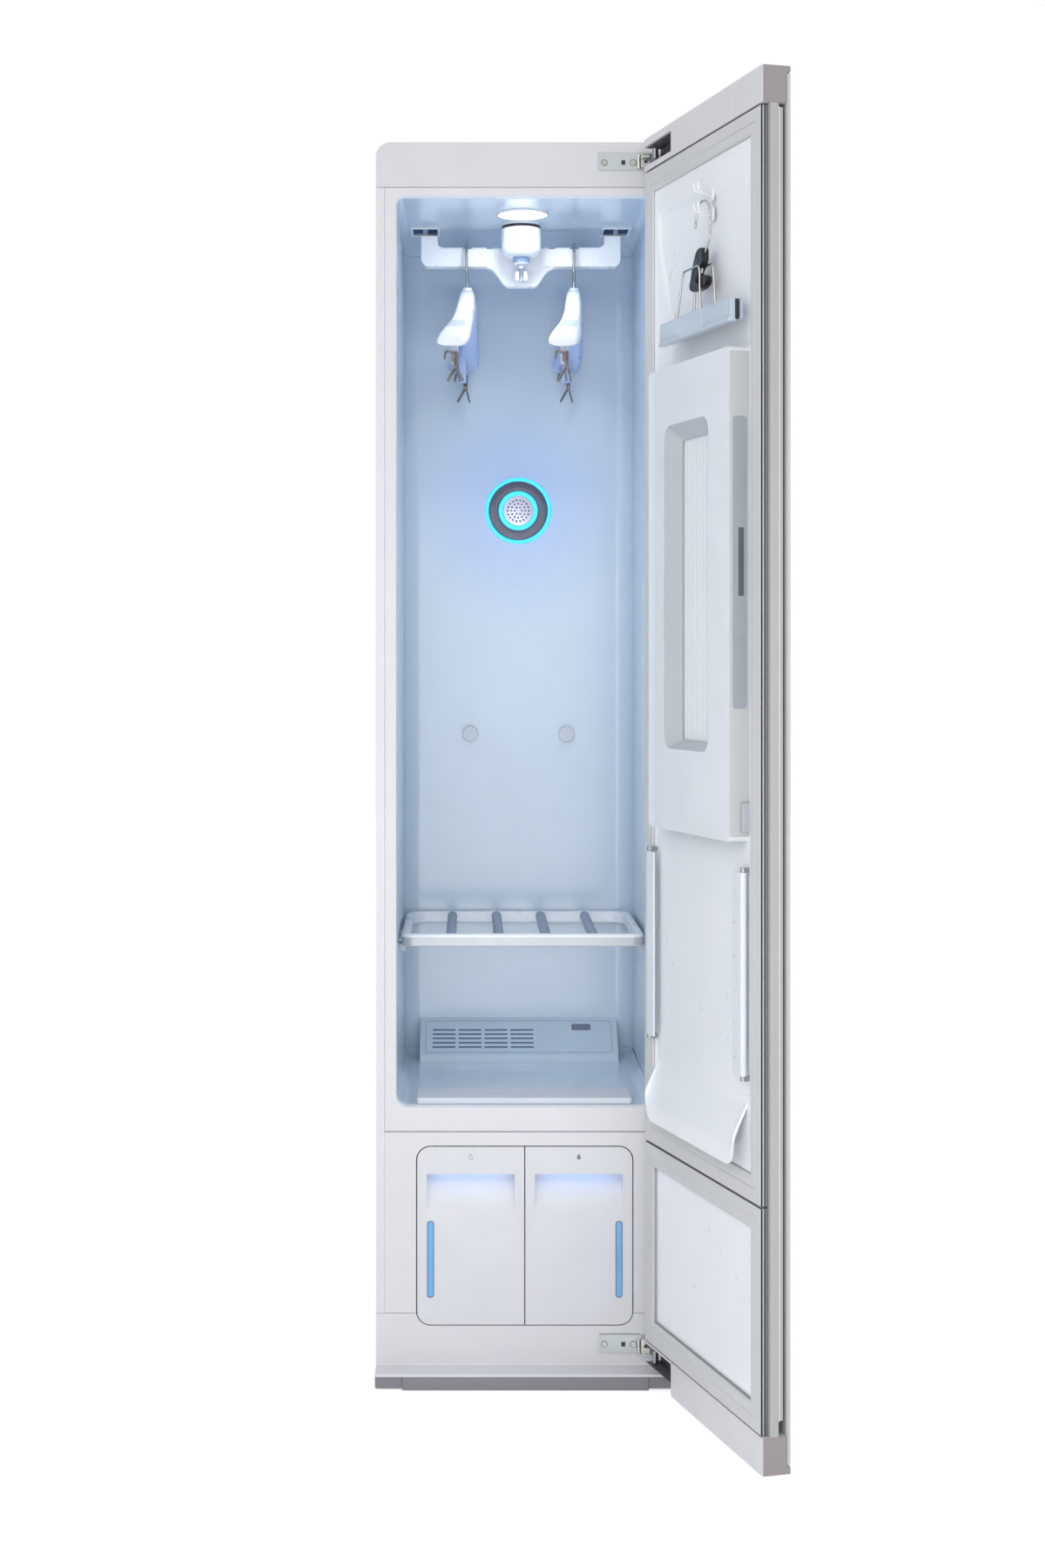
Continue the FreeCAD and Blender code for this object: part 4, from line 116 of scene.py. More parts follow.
def mm(*values):
    """A vector in metres from millimetres."""
    return Vector([value * 0.001 for value in values])


def door_matrix():
    """The place of the open door, worked out as its hinge turns it."""
    edge_in, deep = DOOR_AXIS
    corner = mm(DOOR_W / 2, -DOOR_GAP, 0)
    axis = mm(DOOR_W / 2 - edge_in, -DOOR_GAP - deep, 0)
    closed = Matrix.Translation(corner) @ Matrix.Rotation(math.pi, 4, "Z")
    turn = Matrix.Rotation(math.radians(DOOR_OPEN), 4, "Z")
    return Matrix.Translation(axis) @ turn @ Matrix.Translation(-axis) @ closed


DOOR = door_matrix()


# ---- settings that a user would change ----
def colour(red, green, blue):
    """A linear colour from its display values, 0 to 255."""
    linear = []
    for part in (red, green, blue):
        part /= 255
        linear.append(part / 12.92 if part <= 0.04045 else ((part + 0.055) / 1.055) ** 2.4)
    return (*linear, 1.0)


def colour_setting(name, words, *display):
    """A colour property with its default."""
    return FloatVectorProperty(
        name=name, description=words, subtype="COLOR", size=4, min=0, max=1, default=colour(*display)
    )


class CabinetColours(bpy.types.PropertyGroup):
    """The colours of the cabinet's finishes."""

    panel: colour_setting("Panels", "Mouldings of the front", 213, 214, 218)
    header: colour_setting("Header", "Band above the door's gasket", 207, 208, 212)
    sheet: colour_setting("Side sheet", "Painted sheet of sides and top", 214, 215, 218)
    liner: colour_setting("Hanging space", "Tub of the hanging space", 200, 215, 229)
    glow: colour_setting("Ring light", "Light guides of the steam nozzle", 60, 214, 246)
    level: colour_setting("Level window", "Windows of the tanks", 108, 170, 226)
    plinth: colour_setting("Plinth", "Base frame", 128, 127, 134)
    tank: colour_setting("Tanks", "Fronts of the tanks", 210, 212, 216)
    white: colour_setting("White fittings", "Hangers, bar and drive cup", 236, 240, 246)
    rods: colour_setting("Shelf rods", "Rods of the shelf", 140, 155, 175)
    door_liner: colour_setting("Door liner", "Moulded inner face of the door", 234, 237, 241)
    gasket: colour_setting("Gasket", "Sealing frames of the door", 200, 202, 204)
    edge: colour_setting("Door edge", "Sides of the door", 172, 172, 171)
    clamp: colour_setting("Trouser clamp", "Bar of the trouser hanger", 190, 202, 213)


class CabinetSizes(bpy.types.PropertyGroup):
    """The fine sizes of the cabinet's pieces."""

    ease: FloatProperty(
        name="Moulded edge", description="Rounding of moulded edges",
        default=0.0012, min=0.0002, max=0.004, subtype="DISTANCE", unit="LENGTH",
    )
    sheet_ease: FloatProperty(
        name="Sheet edge", description="Rounding of thin sheet edges",
        default=0.0004, min=0.0001, max=0.002, subtype="DISTANCE", unit="LENGTH",
    )
    ring_light: FloatProperty(
        name="Ring light strength", description="Strength of the nozzle's light guides",
        default=0.6, min=0, max=10,
    )
    lamp_light: FloatProperty(
        name="Lamp strength", description="Strength of the ceiling lamp's lens",
        default=1.5, min=0, max=10,
    )
    grip_light: FloatProperty(
        name="Grip light strength", description="Strength of the light above each grip",
        default=10.0, min=0, max=30,
    )
    key_light: FloatProperty(
        name="Key light", description="Power of the main soft lamp",
        default=25, min=0, max=500, subtype="POWER", unit="POWER",
    )
    inside_light: FloatProperty(
        name="Inside light", description="Power of the small lamps in the hanging space",
        default=0.4, min=0, max=20, subtype="POWER", unit="POWER",
    )
    gasket_folds: IntProperty(
        name="Gasket folds", description="Folds of the door gasket's bellows", default=2, min=1, max=6
    )


# ---- finishes ----
def link(tree, source, target):
    """A link between two sockets."""
    tree.links.new(source, target)


def noise(tree, scale, detail=3.0, stretch=(1, 1, 1)):
    """A noise pattern fixed to the piece."""
    place = tree.nodes.new("ShaderNodeTexCoord")
    mapping = tree.nodes.new("ShaderNodeMapping")
    mapping.inputs["Scale"].default_value = stretch
    pattern = tree.nodes.new("ShaderNodeTexNoise")
    pattern.inputs["Scale"].default_value = scale
    pattern.inputs["Detail"].default_value = detail
    link(tree, place.outputs["Object"], mapping.inputs["Vector"])
    link(tree, mapping.outputs["Vector"], pattern.inputs["Vector"])
    return pattern


def ramp(tree, source, low, high):
    """A noise value stretched between two limits."""
    node = tree.nodes.new("ShaderNodeMapRange")
    node.inputs["From Min"].default_value = 0.3
    node.inputs["From Max"].default_value = 0.7
    node.inputs["To Min"].default_value = low
    node.inputs["To Max"].default_value = high
    link(tree, source, node.inputs["Value"])
    return node


def known(name):
    """The look of that name, if it has been made."""
    return bpy.data.materials.get("look_" + name)


CLOUD_SCALE = 14
SMUDGE_SCALE = 45
GRAIN_HEIGHT = 0.00008
COAT_ROUGH = 0.08


def finish(
    name, tint, rough=0.4, metal=0.0, grain=0.06, grain_scale=900, stretch=(1, 1, 1), coat=0.0, mottle=0.03
):
    """A procedural finish: a tint with faint mottling, uneven gloss and a fine grain."""
    material = known(name)
    if material:
        return material
    material = bpy.data.materials.new("look_" + name)
    material.use_nodes = True
    tree = material.node_tree
    shader = tree.nodes["Principled BSDF"]
    shader.inputs["Metallic"].default_value = metal
    shader.inputs["Coat Weight"].default_value = coat
    shader.inputs["Coat Roughness"].default_value = COAT_ROUGH
    cloud = noise(tree, CLOUD_SCALE, 4)
    blend = tree.nodes.new("ShaderNodeMix")
    blend.data_type = "RGBA"
    blend.inputs["A"].default_value = tint
    blend.inputs["B"].default_value = (*[part * (1 - mottle) for part in tint[:3]], 1)
    link(tree, ramp(tree, cloud.outputs["Fac"], 0, 1).outputs["Result"], blend.inputs["Factor"])
    link(tree, blend.outputs["Result"], shader.inputs["Base Color"])
    smudge = noise(tree, SMUDGE_SCALE, 5)
    gloss = ramp(tree, smudge.outputs["Fac"], rough * 0.85, min(1, rough * 1.15))
    link(tree, gloss.outputs["Result"], shader.inputs["Roughness"])
    fine = noise(tree, grain_scale, 2, stretch)
    bump = tree.nodes.new("ShaderNodeBump")
    bump.inputs["Strength"].default_value = grain
    bump.inputs["Distance"].default_value = GRAIN_HEIGHT
    link(tree, fine.outputs["Fac"], bump.inputs["Height"])
    link(tree, bump.outputs["Normal"], shader.inputs["Normal"])
    return material


def shining(name, tint, strength):
    """A lit plastic: a finish with its own light, a little uneven like a light guide's."""
    material = known(name)
    if material:
        return material
    material = finish(name, tint, 0.3, grain=0.02)
    tree = material.node_tree
    shader = tree.nodes["Principled BSDF"]
    shader.inputs["Emission Color"].default_value = tint
    glow = ramp(tree, noise(tree, 60, 2).outputs["Fac"], strength * 0.9, strength)
    link(tree, glow.outputs["Result"], shader.inputs["Emission Strength"])
    return material


def clear(name, tint, rough, alpha):
    """A clear plastic that shows what is behind it."""
    material = known(name)
    if material:
        return material
    material = finish(name, tint, rough, grain=0.01)
    material.node_tree.nodes["Principled BSDF"].inputs["Alpha"].default_value = alpha
    return material


def door_line(t):
    """The direction of t in the cabinet's frame, and the length along it of a place at t millimetres."""
    along = DOOR.to_3x3() @ Vector((1, 0, 0))
    return along, along.dot(DOOR.translation) + t * 0.001


def tint_by(material, factor, tint):
    """Blend a finish towards another tint by a factor."""
    tree = material.node_tree
    base = tree.nodes["Principled BSDF"].inputs["Base Color"]
    plain = base.links[0].from_socket
    blend = tree.nodes.new("ShaderNodeMix")
    blend.data_type = "RGBA"
    blend.inputs["B"].default_value = tint
    link(tree, factor, blend.inputs["Factor"])
    link(tree, plain, blend.inputs["A"])
    link(tree, blend.outputs["Result"], base)


def factor_of(material, operation, vector, low, high, start=0.0, end=1.0):
    """A factor by place: by the distance from a point, or by the length along a direction."""
    tree = material.node_tree
    place = tree.nodes.new("ShaderNodeTexCoord")
    measure = tree.nodes.new("ShaderNodeVectorMath")
    measure.operation = operation
    measure.inputs[1].default_value = vector
    link(tree, place.outputs["Object"], measure.inputs[0])
    between = tree.nodes.new("ShaderNodeMapRange")
    between.interpolation_type = "SMOOTHSTEP"
    for name, value in (("From Min", low), ("From Max", high), ("To Min", start), ("To Max", end)):
        between.inputs[name].default_value = value
    link(tree, measure.outputs["Value"], between.inputs["Value"])
    return between.outputs["Result"]


def graded(name, tint, rough, *grades, **extra):
    """A finish that turns to another tint by place: a grade is that tint and what factor_of takes."""
    material = known(name)
    if material:
        return material
    material = finish(name, tint, rough, **extra)
    for other, *place in grades:
        tint_by(material, factor_of(material, *place), other)
    return material


def chosen():
    """The scene's colours and sizes."""
    scene = bpy.context.scene
    return scene.cabinet_colours, scene.cabinet_sizes


def panel_finish():
    """Satin moulded plastic of the front."""
    return finish("front_moulding", chosen()[0].panel, 0.42)


def white_finish():
    """Gloss white plastic of the fittings."""
    return finish("white_fitting", chosen()[0].white, 0.3, grain=0.03)


def steel_finish():
    """Plain brushed steel."""
    return finish("plain_steel", colour(160, 162, 166), 0.34, metal=1.0, grain=0.5, stretch=(1, 1, 14))


def chrome_finish():
    """Bright nickel plate."""
    return finish("bright_nickel", colour(186, 186, 182), 0.14, metal=1.0, grain=0.1)


def zinc_finish():
    """Blue-white zinc plate of the hinges."""
    tint = colour(190, 196, 198)
    return finish("hinge_zinc", tint, 0.36, metal=0.7, grain=0.3, grain_scale=500, mottle=0.15)


def black_finish():
    """Dark plastic."""
    return finish("dark_plastic", colour(38, 40, 44), 0.45)


# ---- making and finishing meshes ----
MERGE = 1e-6
LEVEL = 1e-7
SHARP, ROUND_SHARP, SOFT_SHARP = 35, 50, 60


def ease_edges(bm, edges, width, segments=2):
    """Round a set of edges by a width in metres."""
    bmesh.ops.bevel(
        bm, geom=list(edges), offset=width, offset_type="OFFSET", affect="EDGES", segments=segments,
        profile=0.5, clamp_overlap=True, material=-1,
    )


def block(x, y, z, ease=0.0, segments=3):
    """A box between pairs of millimetres, with its edges rounded."""
    bm = bmesh.new()
    bmesh.ops.create_cube(bm, size=1.0)
    bmesh.ops.scale(bm, vec=mm(x[1] - x[0], y[1] - y[0], z[1] - z[0]), verts=bm.verts)
    bmesh.ops.translate(bm, vec=mm(sum(x) / 2, sum(y) / 2, sum(z) / 2), verts=bm.verts)
    if ease:
        ease_edges(bm, bm.edges, ease * 0.001, segments)
    return bm


def slab(corners, low, high, ease=0.0, segments=3):
    """A plate from an outline in the X Z plane, between two values of Y."""
    bm = bmesh.new()
    face = bm.faces.new([bm.verts.new(mm(x, low, z)) for x, z in corners])
    grown = bmesh.ops.extrude_face_region(bm, geom=[face])
    verts = [v for v in grown["geom"] if isinstance(v, bmesh.types.BMVert)]
    bmesh.ops.translate(bm, vec=mm(0, high - low, 0), verts=verts)
    bmesh.ops.recalc_face_normals(bm, faces=bm.faces)
    if ease:
        rims = [e for e in bm.edges if abs(e.verts[0].co.y - e.verts[1].co.y) < LEVEL]
        ease_edges(bm, [e for e in rims if e.calc_face_angle(0) > 0.5], ease * 0.001, segments)
    return bm


def lathe(profile, place, towards, steps=48):
    """A turned piece: (radius, height) points spun about a line that starts at a place."""
    bm = bmesh.new()
    verts = [bm.verts.new(mm(radius, 0, height)) for radius, height in profile]
    edges = [bm.edges.new(pair) for pair in zip(verts, verts[1:])]
    bmesh.ops.spin(
        bm, geom=verts + edges, cent=(0, 0, 0), axis=UP, angle=2 * math.pi, steps=steps, use_merge=True
    )
    bmesh.ops.remove_doubles(bm, verts=bm.verts, dist=MERGE)
    bmesh.ops.recalc_face_normals(bm, faces=bm.faces)
    turn = Vector(UP).rotation_difference(Vector(towards)).to_matrix().to_4x4()
    bmesh.ops.transform(bm, matrix=Matrix.Translation(mm(*place)) @ turn, verts=bm.verts)
    return bm


STRAIGHT = math.radians(89.5)
ARC_STEPS = 8


def rounded_route(points, bends):
    """The points of a line with an arc at each inner corner, of that corner's radius."""
    corners = [Vector(point) for point in points]
    route = [corners[0]]
    for before, here, after, bend in zip(corners, corners[1:], corners[2:], bends):
        back, on = (before - here).normalized(), (after - here).normalized()
        half = back.angle(on) / 2
        if half > STRAIGHT:
            route.append(here)
            continue
        centre = here + (back + on).normalized() * (bend / math.sin(half))
        start = (here + back * (bend / math.tan(half)) - centre).normalized()
        end = (here + on * (bend / math.tan(half)) - centre).normalized()
        route += [centre + start.slerp(end, n / ARC_STEPS) * bend for n in range(ARC_STEPS + 1)]
    return route + [corners[-1]]


def tube(points, diameter, bends=None, sides=6):
    """A round wire along points in millimetres."""
    route = rounded_route(points, bends) if bends else [Vector(point) for point in points]
    curve = bpy.data.curves.new("wire", "CURVE")
    curve.dimensions = "3D"
    curve.bevel_depth = diameter * 0.0005
    curve.bevel_resolution = sides
    curve.use_fill_caps = True
    spline = curve.splines.new("POLY")
    spline.points.add(len(route) - 1)
    for point, place in zip(spline.points, route):
        point.co = (*(place * 0.001), 1)
    holder = bpy.data.objects.new("wire", curve)
    bpy.context.scene.collection.objects.link(holder)
    mesh = bpy.data.meshes.new_from_object(holder)
    bpy.data.objects.remove(holder)
    bm = bmesh.new()
    bm.from_mesh(mesh)
    bpy.data.meshes.remove(mesh)
    return bm


def loft(rings, capped=True):
    """A skin over rings of points in millimetres, each ring with the same count."""
    bm = bmesh.new()
    loops = []
    for ring in rings:
        verts = [bm.verts.new(mm(*point)) for point in ring]
        loops.append([bm.edges.new(pair) for pair in zip(verts, verts[1:] + verts[:1])])
    for first, second in zip(loops, loops[1:]):
        bmesh.ops.bridge_loops(bm, edges=first + second)
    if capped:
        bmesh.ops.edgeloop_fill(bm, edges=loops[0])
        bmesh.ops.edgeloop_fill(bm, edges=loops[-1])
    bmesh.ops.remove_doubles(bm, verts=bm.verts, dist=MERGE)
    bmesh.ops.recalc_face_normals(bm, faces=bm.faces)
    return bm


def relief(u, v, counts, surface):
    """A sheet over two spans, with each point set by a function of its place in millimetres."""
    bm = bmesh.new()
    bmesh.ops.create_grid(bm, x_segments=counts[0], y_segments=counts[1], size=0.5)
    for vert in bm.verts:
        a = u[0] + (vert.co.x + 0.5) * (u[1] - u[0])
        b = v[0] + (vert.co.y + 0.5) * (v[1] - v[0])
        vert.co = mm(*surface(a, b))
    return bm


def joined(parts):
    """One bmesh from several."""
    whole = bmesh.new()
    for part in parts:
        mesh = bpy.data.meshes.new("part")
        part.to_mesh(mesh)
        part.free()
        whole.from_mesh(mesh)
        bpy.data.meshes.remove(mesh)
    return whole


def on_door(bm):
    """Move a piece made in the door's t, d and z to the open door."""
    bmesh.ops.transform(bm, matrix=DOOR, verts=bm.verts)
    return bm


def piece(name, bm, material, body, stands_for=(), sharp=SHARP):
    """Make an object of a mesh, hang it on its body's empty and hide the nodes it stands for."""
    mesh = bpy.data.meshes.new(name)
    bm.to_mesh(mesh)
    bm.free()
    mesh.shade_smooth()
    mesh.set_sharp_from_angle(angle=math.radians(sharp))
    mesh.materials.append(material)
    thing = bpy.data.objects.new(name, mesh)
    bpy.context.scene.collection.objects.link(thing)
    weigh = thing.modifiers.new("Weigh", "WEIGHTED_NORMAL")
    weigh.keep_sharp = True
    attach(thing, body)
    if stands_for:
        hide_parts(*stands_for)
    return thing


def door_piece(name, bm, material, stands_for=(), sharp=SHARP, body="door"):
    """A piece made in the door's t, d and z, set on the open door."""
    return piece(name, on_door(bm), material, body, stands_for, sharp)


def body_of_node(node):
    """The body that a node belongs to."""
    groups = frame["record"]["behaviour"]["bodies"]
    return next(body for body, members in groups.items() if node in members)


NODE_MERGE = 2e-6
FLAT_ANGLE = math.radians(0.4)
EASED_ANGLE = math.radians(38)


def eased_copy(node, width):
    """A copy of a node's mesh with its sharp edges rounded, and without the faces where its solids meet."""
    bm = bmesh.new()
    bm.from_mesh(NODES[node].data)
    bmesh.ops.remove_doubles(bm, verts=bm.verts, dist=NODE_MERGE)
    bmesh.ops.dissolve_limit(bm, angle_limit=FLAT_ANGLE, verts=bm.verts, edges=bm.edges)
    inner = [face for face in bm.faces if all(len(edge.link_faces) > 2 for edge in face.edges)]
    if inner:
        bmesh.ops.delete(bm, geom=inner, context="FACES_ONLY")
        bmesh.ops.dissolve_limit(bm, angle_limit=FLAT_ANGLE, verts=bm.verts, edges=bm.edges)
    ease_edges(bm, [e for e in bm.edges if e.is_manifold and e.calc_face_angle(0) > EASED_ANGLE], width)
    return bm


def ease(node, material, width=None):
    """Stand an eased copy in for a node."""
    copy = eased_copy(node, chosen()[1].ease if width is None else width)
    return piece(node + "_eased", copy, material, body_of_node(node), (node,))


def coat_node(node, material):
    """Give a node that keeps its shape a better finish."""
    for place in NODES[node].material_slots:
        place.link = "OBJECT"
        place.material = material
    return NODES[node]


def rectangle(u, v, radii=(0, 0, 0, 0), steps=8):
    """A rectangle's outline, anticlockwise from its low corner, with rounded corners."""
    corners = ((u[0], v[0], 180), (u[1], v[0], 270), (u[1], v[1], 0), (u[0], v[1], 90))
    outline = []
    for (a, b, start), radius in zip(corners, radii):
        if not radius:
            outline.append((a, b))
            continue
        middle = (a + (radius if a == u[0] else -radius), b + (radius if b == v[0] else -radius))
        for n in range(steps + 1):
            angle = math.radians(start + 90 * n / steps)
            outline.append((middle[0] + radius * math.cos(angle), middle[1] + radius * math.sin(angle)))
    return outline


def swept(outline, section, place):
    """A section of (inward, rise) points carried round a closed outline and mitred at its corners."""
    rings = []
    for before, here, after in zip(outline[-1:] + outline[:-1], outline, outline[1:] + outline[:1]):
        first = (Vector(here) - Vector(before)).normalized()
        second = (Vector(after) - Vector(here)).normalized()
        normals = Vector((-first.y, first.x)), Vector((-second.y, second.x))
        mitre = (normals[0] + normals[1]) / (1 + normals[0].dot(normals[1]))
        rings.append([place(*(Vector(here) + mitre * inward), rise) for inward, rise in section])
    return loft(rings + rings[:1], capped=False)


def flat_xz(u, v, rise):
    """A place in a front view, raised along Y."""
    return (u, rise, v)


def flat_xy(u, v, rise):
    """A place in a plan view, raised along Z."""
    return (u, v, rise)


def board(u, v, counts, surface, back):
    """A solid whose front is a relief over X and Z and whose back is flat, at one value of Y."""
    bm = relief(u, v, counts, surface)
    rim = [e for e in bm.edges if e.is_boundary]
    grown = bmesh.ops.extrude_edge_only(bm, edges=rim)["geom"]
    for vert in grown:
        if isinstance(vert, bmesh.types.BMVert):
            vert.co.y = back * 0.001
    bmesh.ops.edgeloop_fill(bm, edges=[e for e in bm.edges if e.is_boundary])
    bmesh.ops.recalc_face_normals(bm, faces=bm.faces)
    return bm


def step(value, low, high):
    """A smooth rise from 0 to 1 between two limits."""
    share = min(1.0, max(0.0, (value - low) / (high - low)))
    return share * share * (3 - 2 * share)


# ---- operators: cabinet ----
def finished(operator, made):
    """End an operator, with an error if one of its pieces is missing or has no faces."""
    if not made or any(thing is None or not thing.data.polygons for thing in made):
        raise RuntimeError(f"{operator.bl_label} made a piece without faces")
    operator.report({"INFO"}, f"{len(made)} pieces made")
    return {"FINISHED"}


def jamb_painted_light_finish():
    """The front's satin plastic, with painted light: paler on the jambs behind the front plane."""
    # painted light: the jambs behind the front plane are tinted paler to stand for light falling on them
    behind = (colour(240, 242, 246), "DOT_PRODUCT", (0, 1, 0), 0.0008, 0.0025)
    return graded("frame_moulding", chosen()[0].panel, 0.42, behind)


class CABINET_OT_shell(bpy.types.Operator):
    """Build the painted sheets and the mouldings of the front"""

    bl_idname = "cabinet.shell"
    bl_label = "Build Shell"

    def execute(self, context):
        colours, sizes = chosen()
        sheet = finish("painted_sheet", colours.sheet, 0.36, grain=0.05, grain_scale=700)
        header = finish("header_moulding", colours.header, 0.4)
        made = [ease(node, sheet, sizes.sheet_ease) for node in ("outer_wrap", "back_cover")]
        made += [ease(node, panel_finish()) for node in ("tank_surround", "lower_panel")]
        made.append(ease("front_frame", jamb_painted_light_finish()))
        made.append(ease("header_panel", header))
        return finished(self, made)


def tub_painted_light_finish():
    """Gloss pale plastic, with painted light: a painted blue glow of the nozzle's light near the nozzle,
    and painted blue shade near the ceiling.
    """
    # painted shade: bluer and darker high on the walls, near the ceiling
    high = (colour(168, 194, 232), "DOT_PRODUCT", UP, 1.25, 1.72, 0.0, 0.2)
    # painted light: the nozzle's blue glow, strongest near the nozzle
    near = (colour(164, 190, 238), "DISTANCE", mm(0, CAVITY_BACK_Y, NOZZLE_Z), 0.06, 0.22, 0.6, 0.0)
    return graded("tub_gloss", chosen()[0].liner, 0.22, high, near, grain=0.05, coat=0.3)


VENT_FOOT = (370.0, 421.0)
VENT_HEAD = (440.0, 472.0)
SENSOR_X, SENSOR_RISE = (89, 121), (58, 72)
OUTLINE_X, OUTLINE_RISE = (-156, 156), (6, 80)
OUTLINE_BEAD = ((0, 0.2), (0, -0.35), (0.5, -0.5), (1, -0.35), (1, 0.2))
SLOTS_X, SLOTS_RISE = (-147, 30), (8, 66)


def on_vent(bm):
    """Move a piece made flat, its height along the slope, onto the vent cover."""
    rise = math.atan2(VENT_HEAD[1] - VENT_FOOT[1], VENT_HEAD[0] - VENT_FOOT[0])
    place = Matrix.Translation(mm(0, *VENT_FOOT)) @ Matrix.Rotation(rise - math.pi / 2, 4, "X")
    bmesh.ops.transform(bm, matrix=place, verts=bm.verts)
    return bm


def sensor_window():
    """The small gloss window of the sensor."""
    return slab(rectangle(SENSOR_X, SENSOR_RISE, (2.4,) * 4, 4), -0.7, 0.4, ease=0.3)


def vent_outline():
    """The raised line around the vent cover's face."""
    return swept(rectangle(OUTLINE_X, OUTLINE_RISE, (7,) * 4), OUTLINE_BEAD, flat_xz)


def vent_shade():
    """A dark sheet behind the vent cover's slots: painted shade in the slots."""
    return slab(rectangle(SLOTS_X, SLOTS_RISE, (1,) * 4, 2), 1.1, 2.1)


class CABINET_OT_hanging_space(bpy.types.Operator):
    """Build the tub of the hanging space, its vent cover, lint filter lid and rests"""

    bl_idname = "cabinet.hanging_space"
    bl_label = "Build Hanging Space"

    def execute(self, context):
        tub = tub_painted_light_finish()
        grey = finish("filter_moulding", colour(206, 212, 219), 0.4)
        made = [ease("cavity_liner", tub, 0.0016), ease("vent_panel", tub, 0.0008)]
        made += [ease("lint_filter", grey, 0.0016), ease("rests_and_buffers", grey, 0.001)]
        gloss = finish("sensor_grey", colour(120, 128, 140), 0.2, coat=0.5)
        for name, shape, look in (
            ("vent_sensor_window", sensor_window(), gloss),
            ("vent_outline", vent_outline(), finish("vent_edge", colour(150, 168, 190), 0.4)),
            # painted shade: a dark sheet that darkens the vent slots
            ("vent_shade", vent_shade(), finish("vent_dark", colour(106, 120, 142), 0.7)),
        ):
            made.append(piece(name, on_vent(shape), look, "cabinet"))
        return finished(self, made)


FOOT_PROFILE = (
    (0, 0), (15.5, 0), (16.6, 0.4), (17, 1.4), (17, 4.6), (16, 6), (10, 6.2), (10, 8), (4, 8), (4, 20),
    (0, 20),
)


class CABINET_OT_base(bpy.types.Operator):
    """Build the plinth, its screw feet and the tray of the machine room"""

    bl_idname = "cabinet.base"
    bl_label = "Build Base"

    def execute(self, context):
        dark = finish("plinth_plastic", chosen()[0].plinth, 0.5, grain=0.1)
        made = [ease("base_plinth", dark), ease("base_pan", zinc_finish(), 0.0006)]
        feet = joined([lathe(FOOT_PROFILE, (x, y, 0), UP) for x, y in FOOT_PLACES])
        rubber = finish("foot_rubber", colour(46, 46, 48), 0.7, grain=0.2)
        made.append(piece("screw_feet", feet, rubber, "cabinet", ("levelling_feet",)))
        return finished(self, made)


WINDOW_HALF = 4.3
WINDOW_FLAT = 0.1
SEAL_GROW = 0.9
SEAL_SECTION = ((0, 0.6), (0, -0.12), (0.35, -0.3), (0.8, -0.3), (1.15, -0.12), (1.15, 0.6))
GRIP_LIGHT_HALF = 52.0
GRIP_LIGHT_Y = (6, 9)
GRIP_LIGHT_RISE = (6.4, 7.8)
DROP_POINTS = 28
DROP_Z = 333.5
DROP_HALF = 3.0
DROP_TIP = 5.6
DROP_SLIM = 0.62
DROP_Y = (-0.12, 0.3)
DROP_LINE = 0.6


def window_outline(middle, grow=0.0):
    """The outline of a tank's level window, with round ends."""
    half = WINDOW_HALF + grow
    return rectangle(
        around(middle, half), (WINDOW_Z[0] - grow, WINDOW_Z[1] + grow), (half - WINDOW_FLAT,) * 4
    )


def grip_strip(middle):
    """A glowing strip under the top of a tank's grip: painted blue light on the grip's top edge."""
    z = (GRIP_TOP_Z + GRIP_LIGHT_RISE[0], GRIP_TOP_Z + GRIP_LIGHT_RISE[1])
    return block(around(middle, GRIP_LIGHT_HALF), GRIP_LIGHT_Y, z, ease=0.5)


def drop_mark(x, side):
    """A plain drop, raised a little: outlined on the drain tank, solid on the water tank."""
    outline = []
    for n in range(DROP_POINTS):
        angle = 2 * math.pi * n / DROP_POINTS
        across, rise = math.cos(angle), math.sin(angle)
        slim = 1 - DROP_SLIM * max(0.0, rise) ** 1.5
        tall = DROP_TIP if rise > 0 else DROP_HALF
        outline.append((x + DROP_HALF * across * slim, DROP_Z + tall * rise))
    front, back = DROP_Y
    if side > 0:
        return slab(outline, front, back, ease=0.05, segments=1)
    return swept(outline, [(0, back), (0, front), (DROP_LINE, front), (DROP_LINE, back)], flat_xz)


class CABINET_OT_tanks(bpy.types.Operator):
    """Build both tanks with their level windows, and the bay behind them"""

    bl_idname = "cabinet.tanks"
    bl_label = "Build Tanks"

    def execute(self, context):
        colours, sizes = chosen()
        front = finish("tank_plastic", colours.tank, 0.34, coat=0.15)
        level = finish("level_window", colours.level, 0.12, coat=0.6, mottle=0.14)
        seal = finish("level_seal", colour(66, 92, 132), 0.4)
        # painted light: the grip strips glow to stand for blue light on the tops of the grips
        grip_glow = shining("grip_light", colour(120, 170, 255), sizes.grip_light)
        mark = finish("mark_grey", colour(120, 122, 126), 0.5)
        made = [ease("tank_bay", finish("bay_plastic", colour(120, 124, 130), 0.5))]
        for node, side in (("drain_tank", -1), ("water_tank", 1)):
            window, grip = side * WINDOW_X, side * TANK_MIDDLE
            made.append(ease(node, front, 0.0014))
            for name, shape, look in (
                ("_level", slab(window_outline(window), 0.25, 1.15, ease=0.25), level),
                ("_level_seal", swept(window_outline(window, SEAL_GROW), SEAL_SECTION, flat_xz), seal),
                ("_grip_light", grip_strip(grip), grip_glow),
                ("_drop_mark", drop_mark(grip, side), mark),
            ):
                made.append(piece(node + name, shape, look, node))
        return finished(self, made)


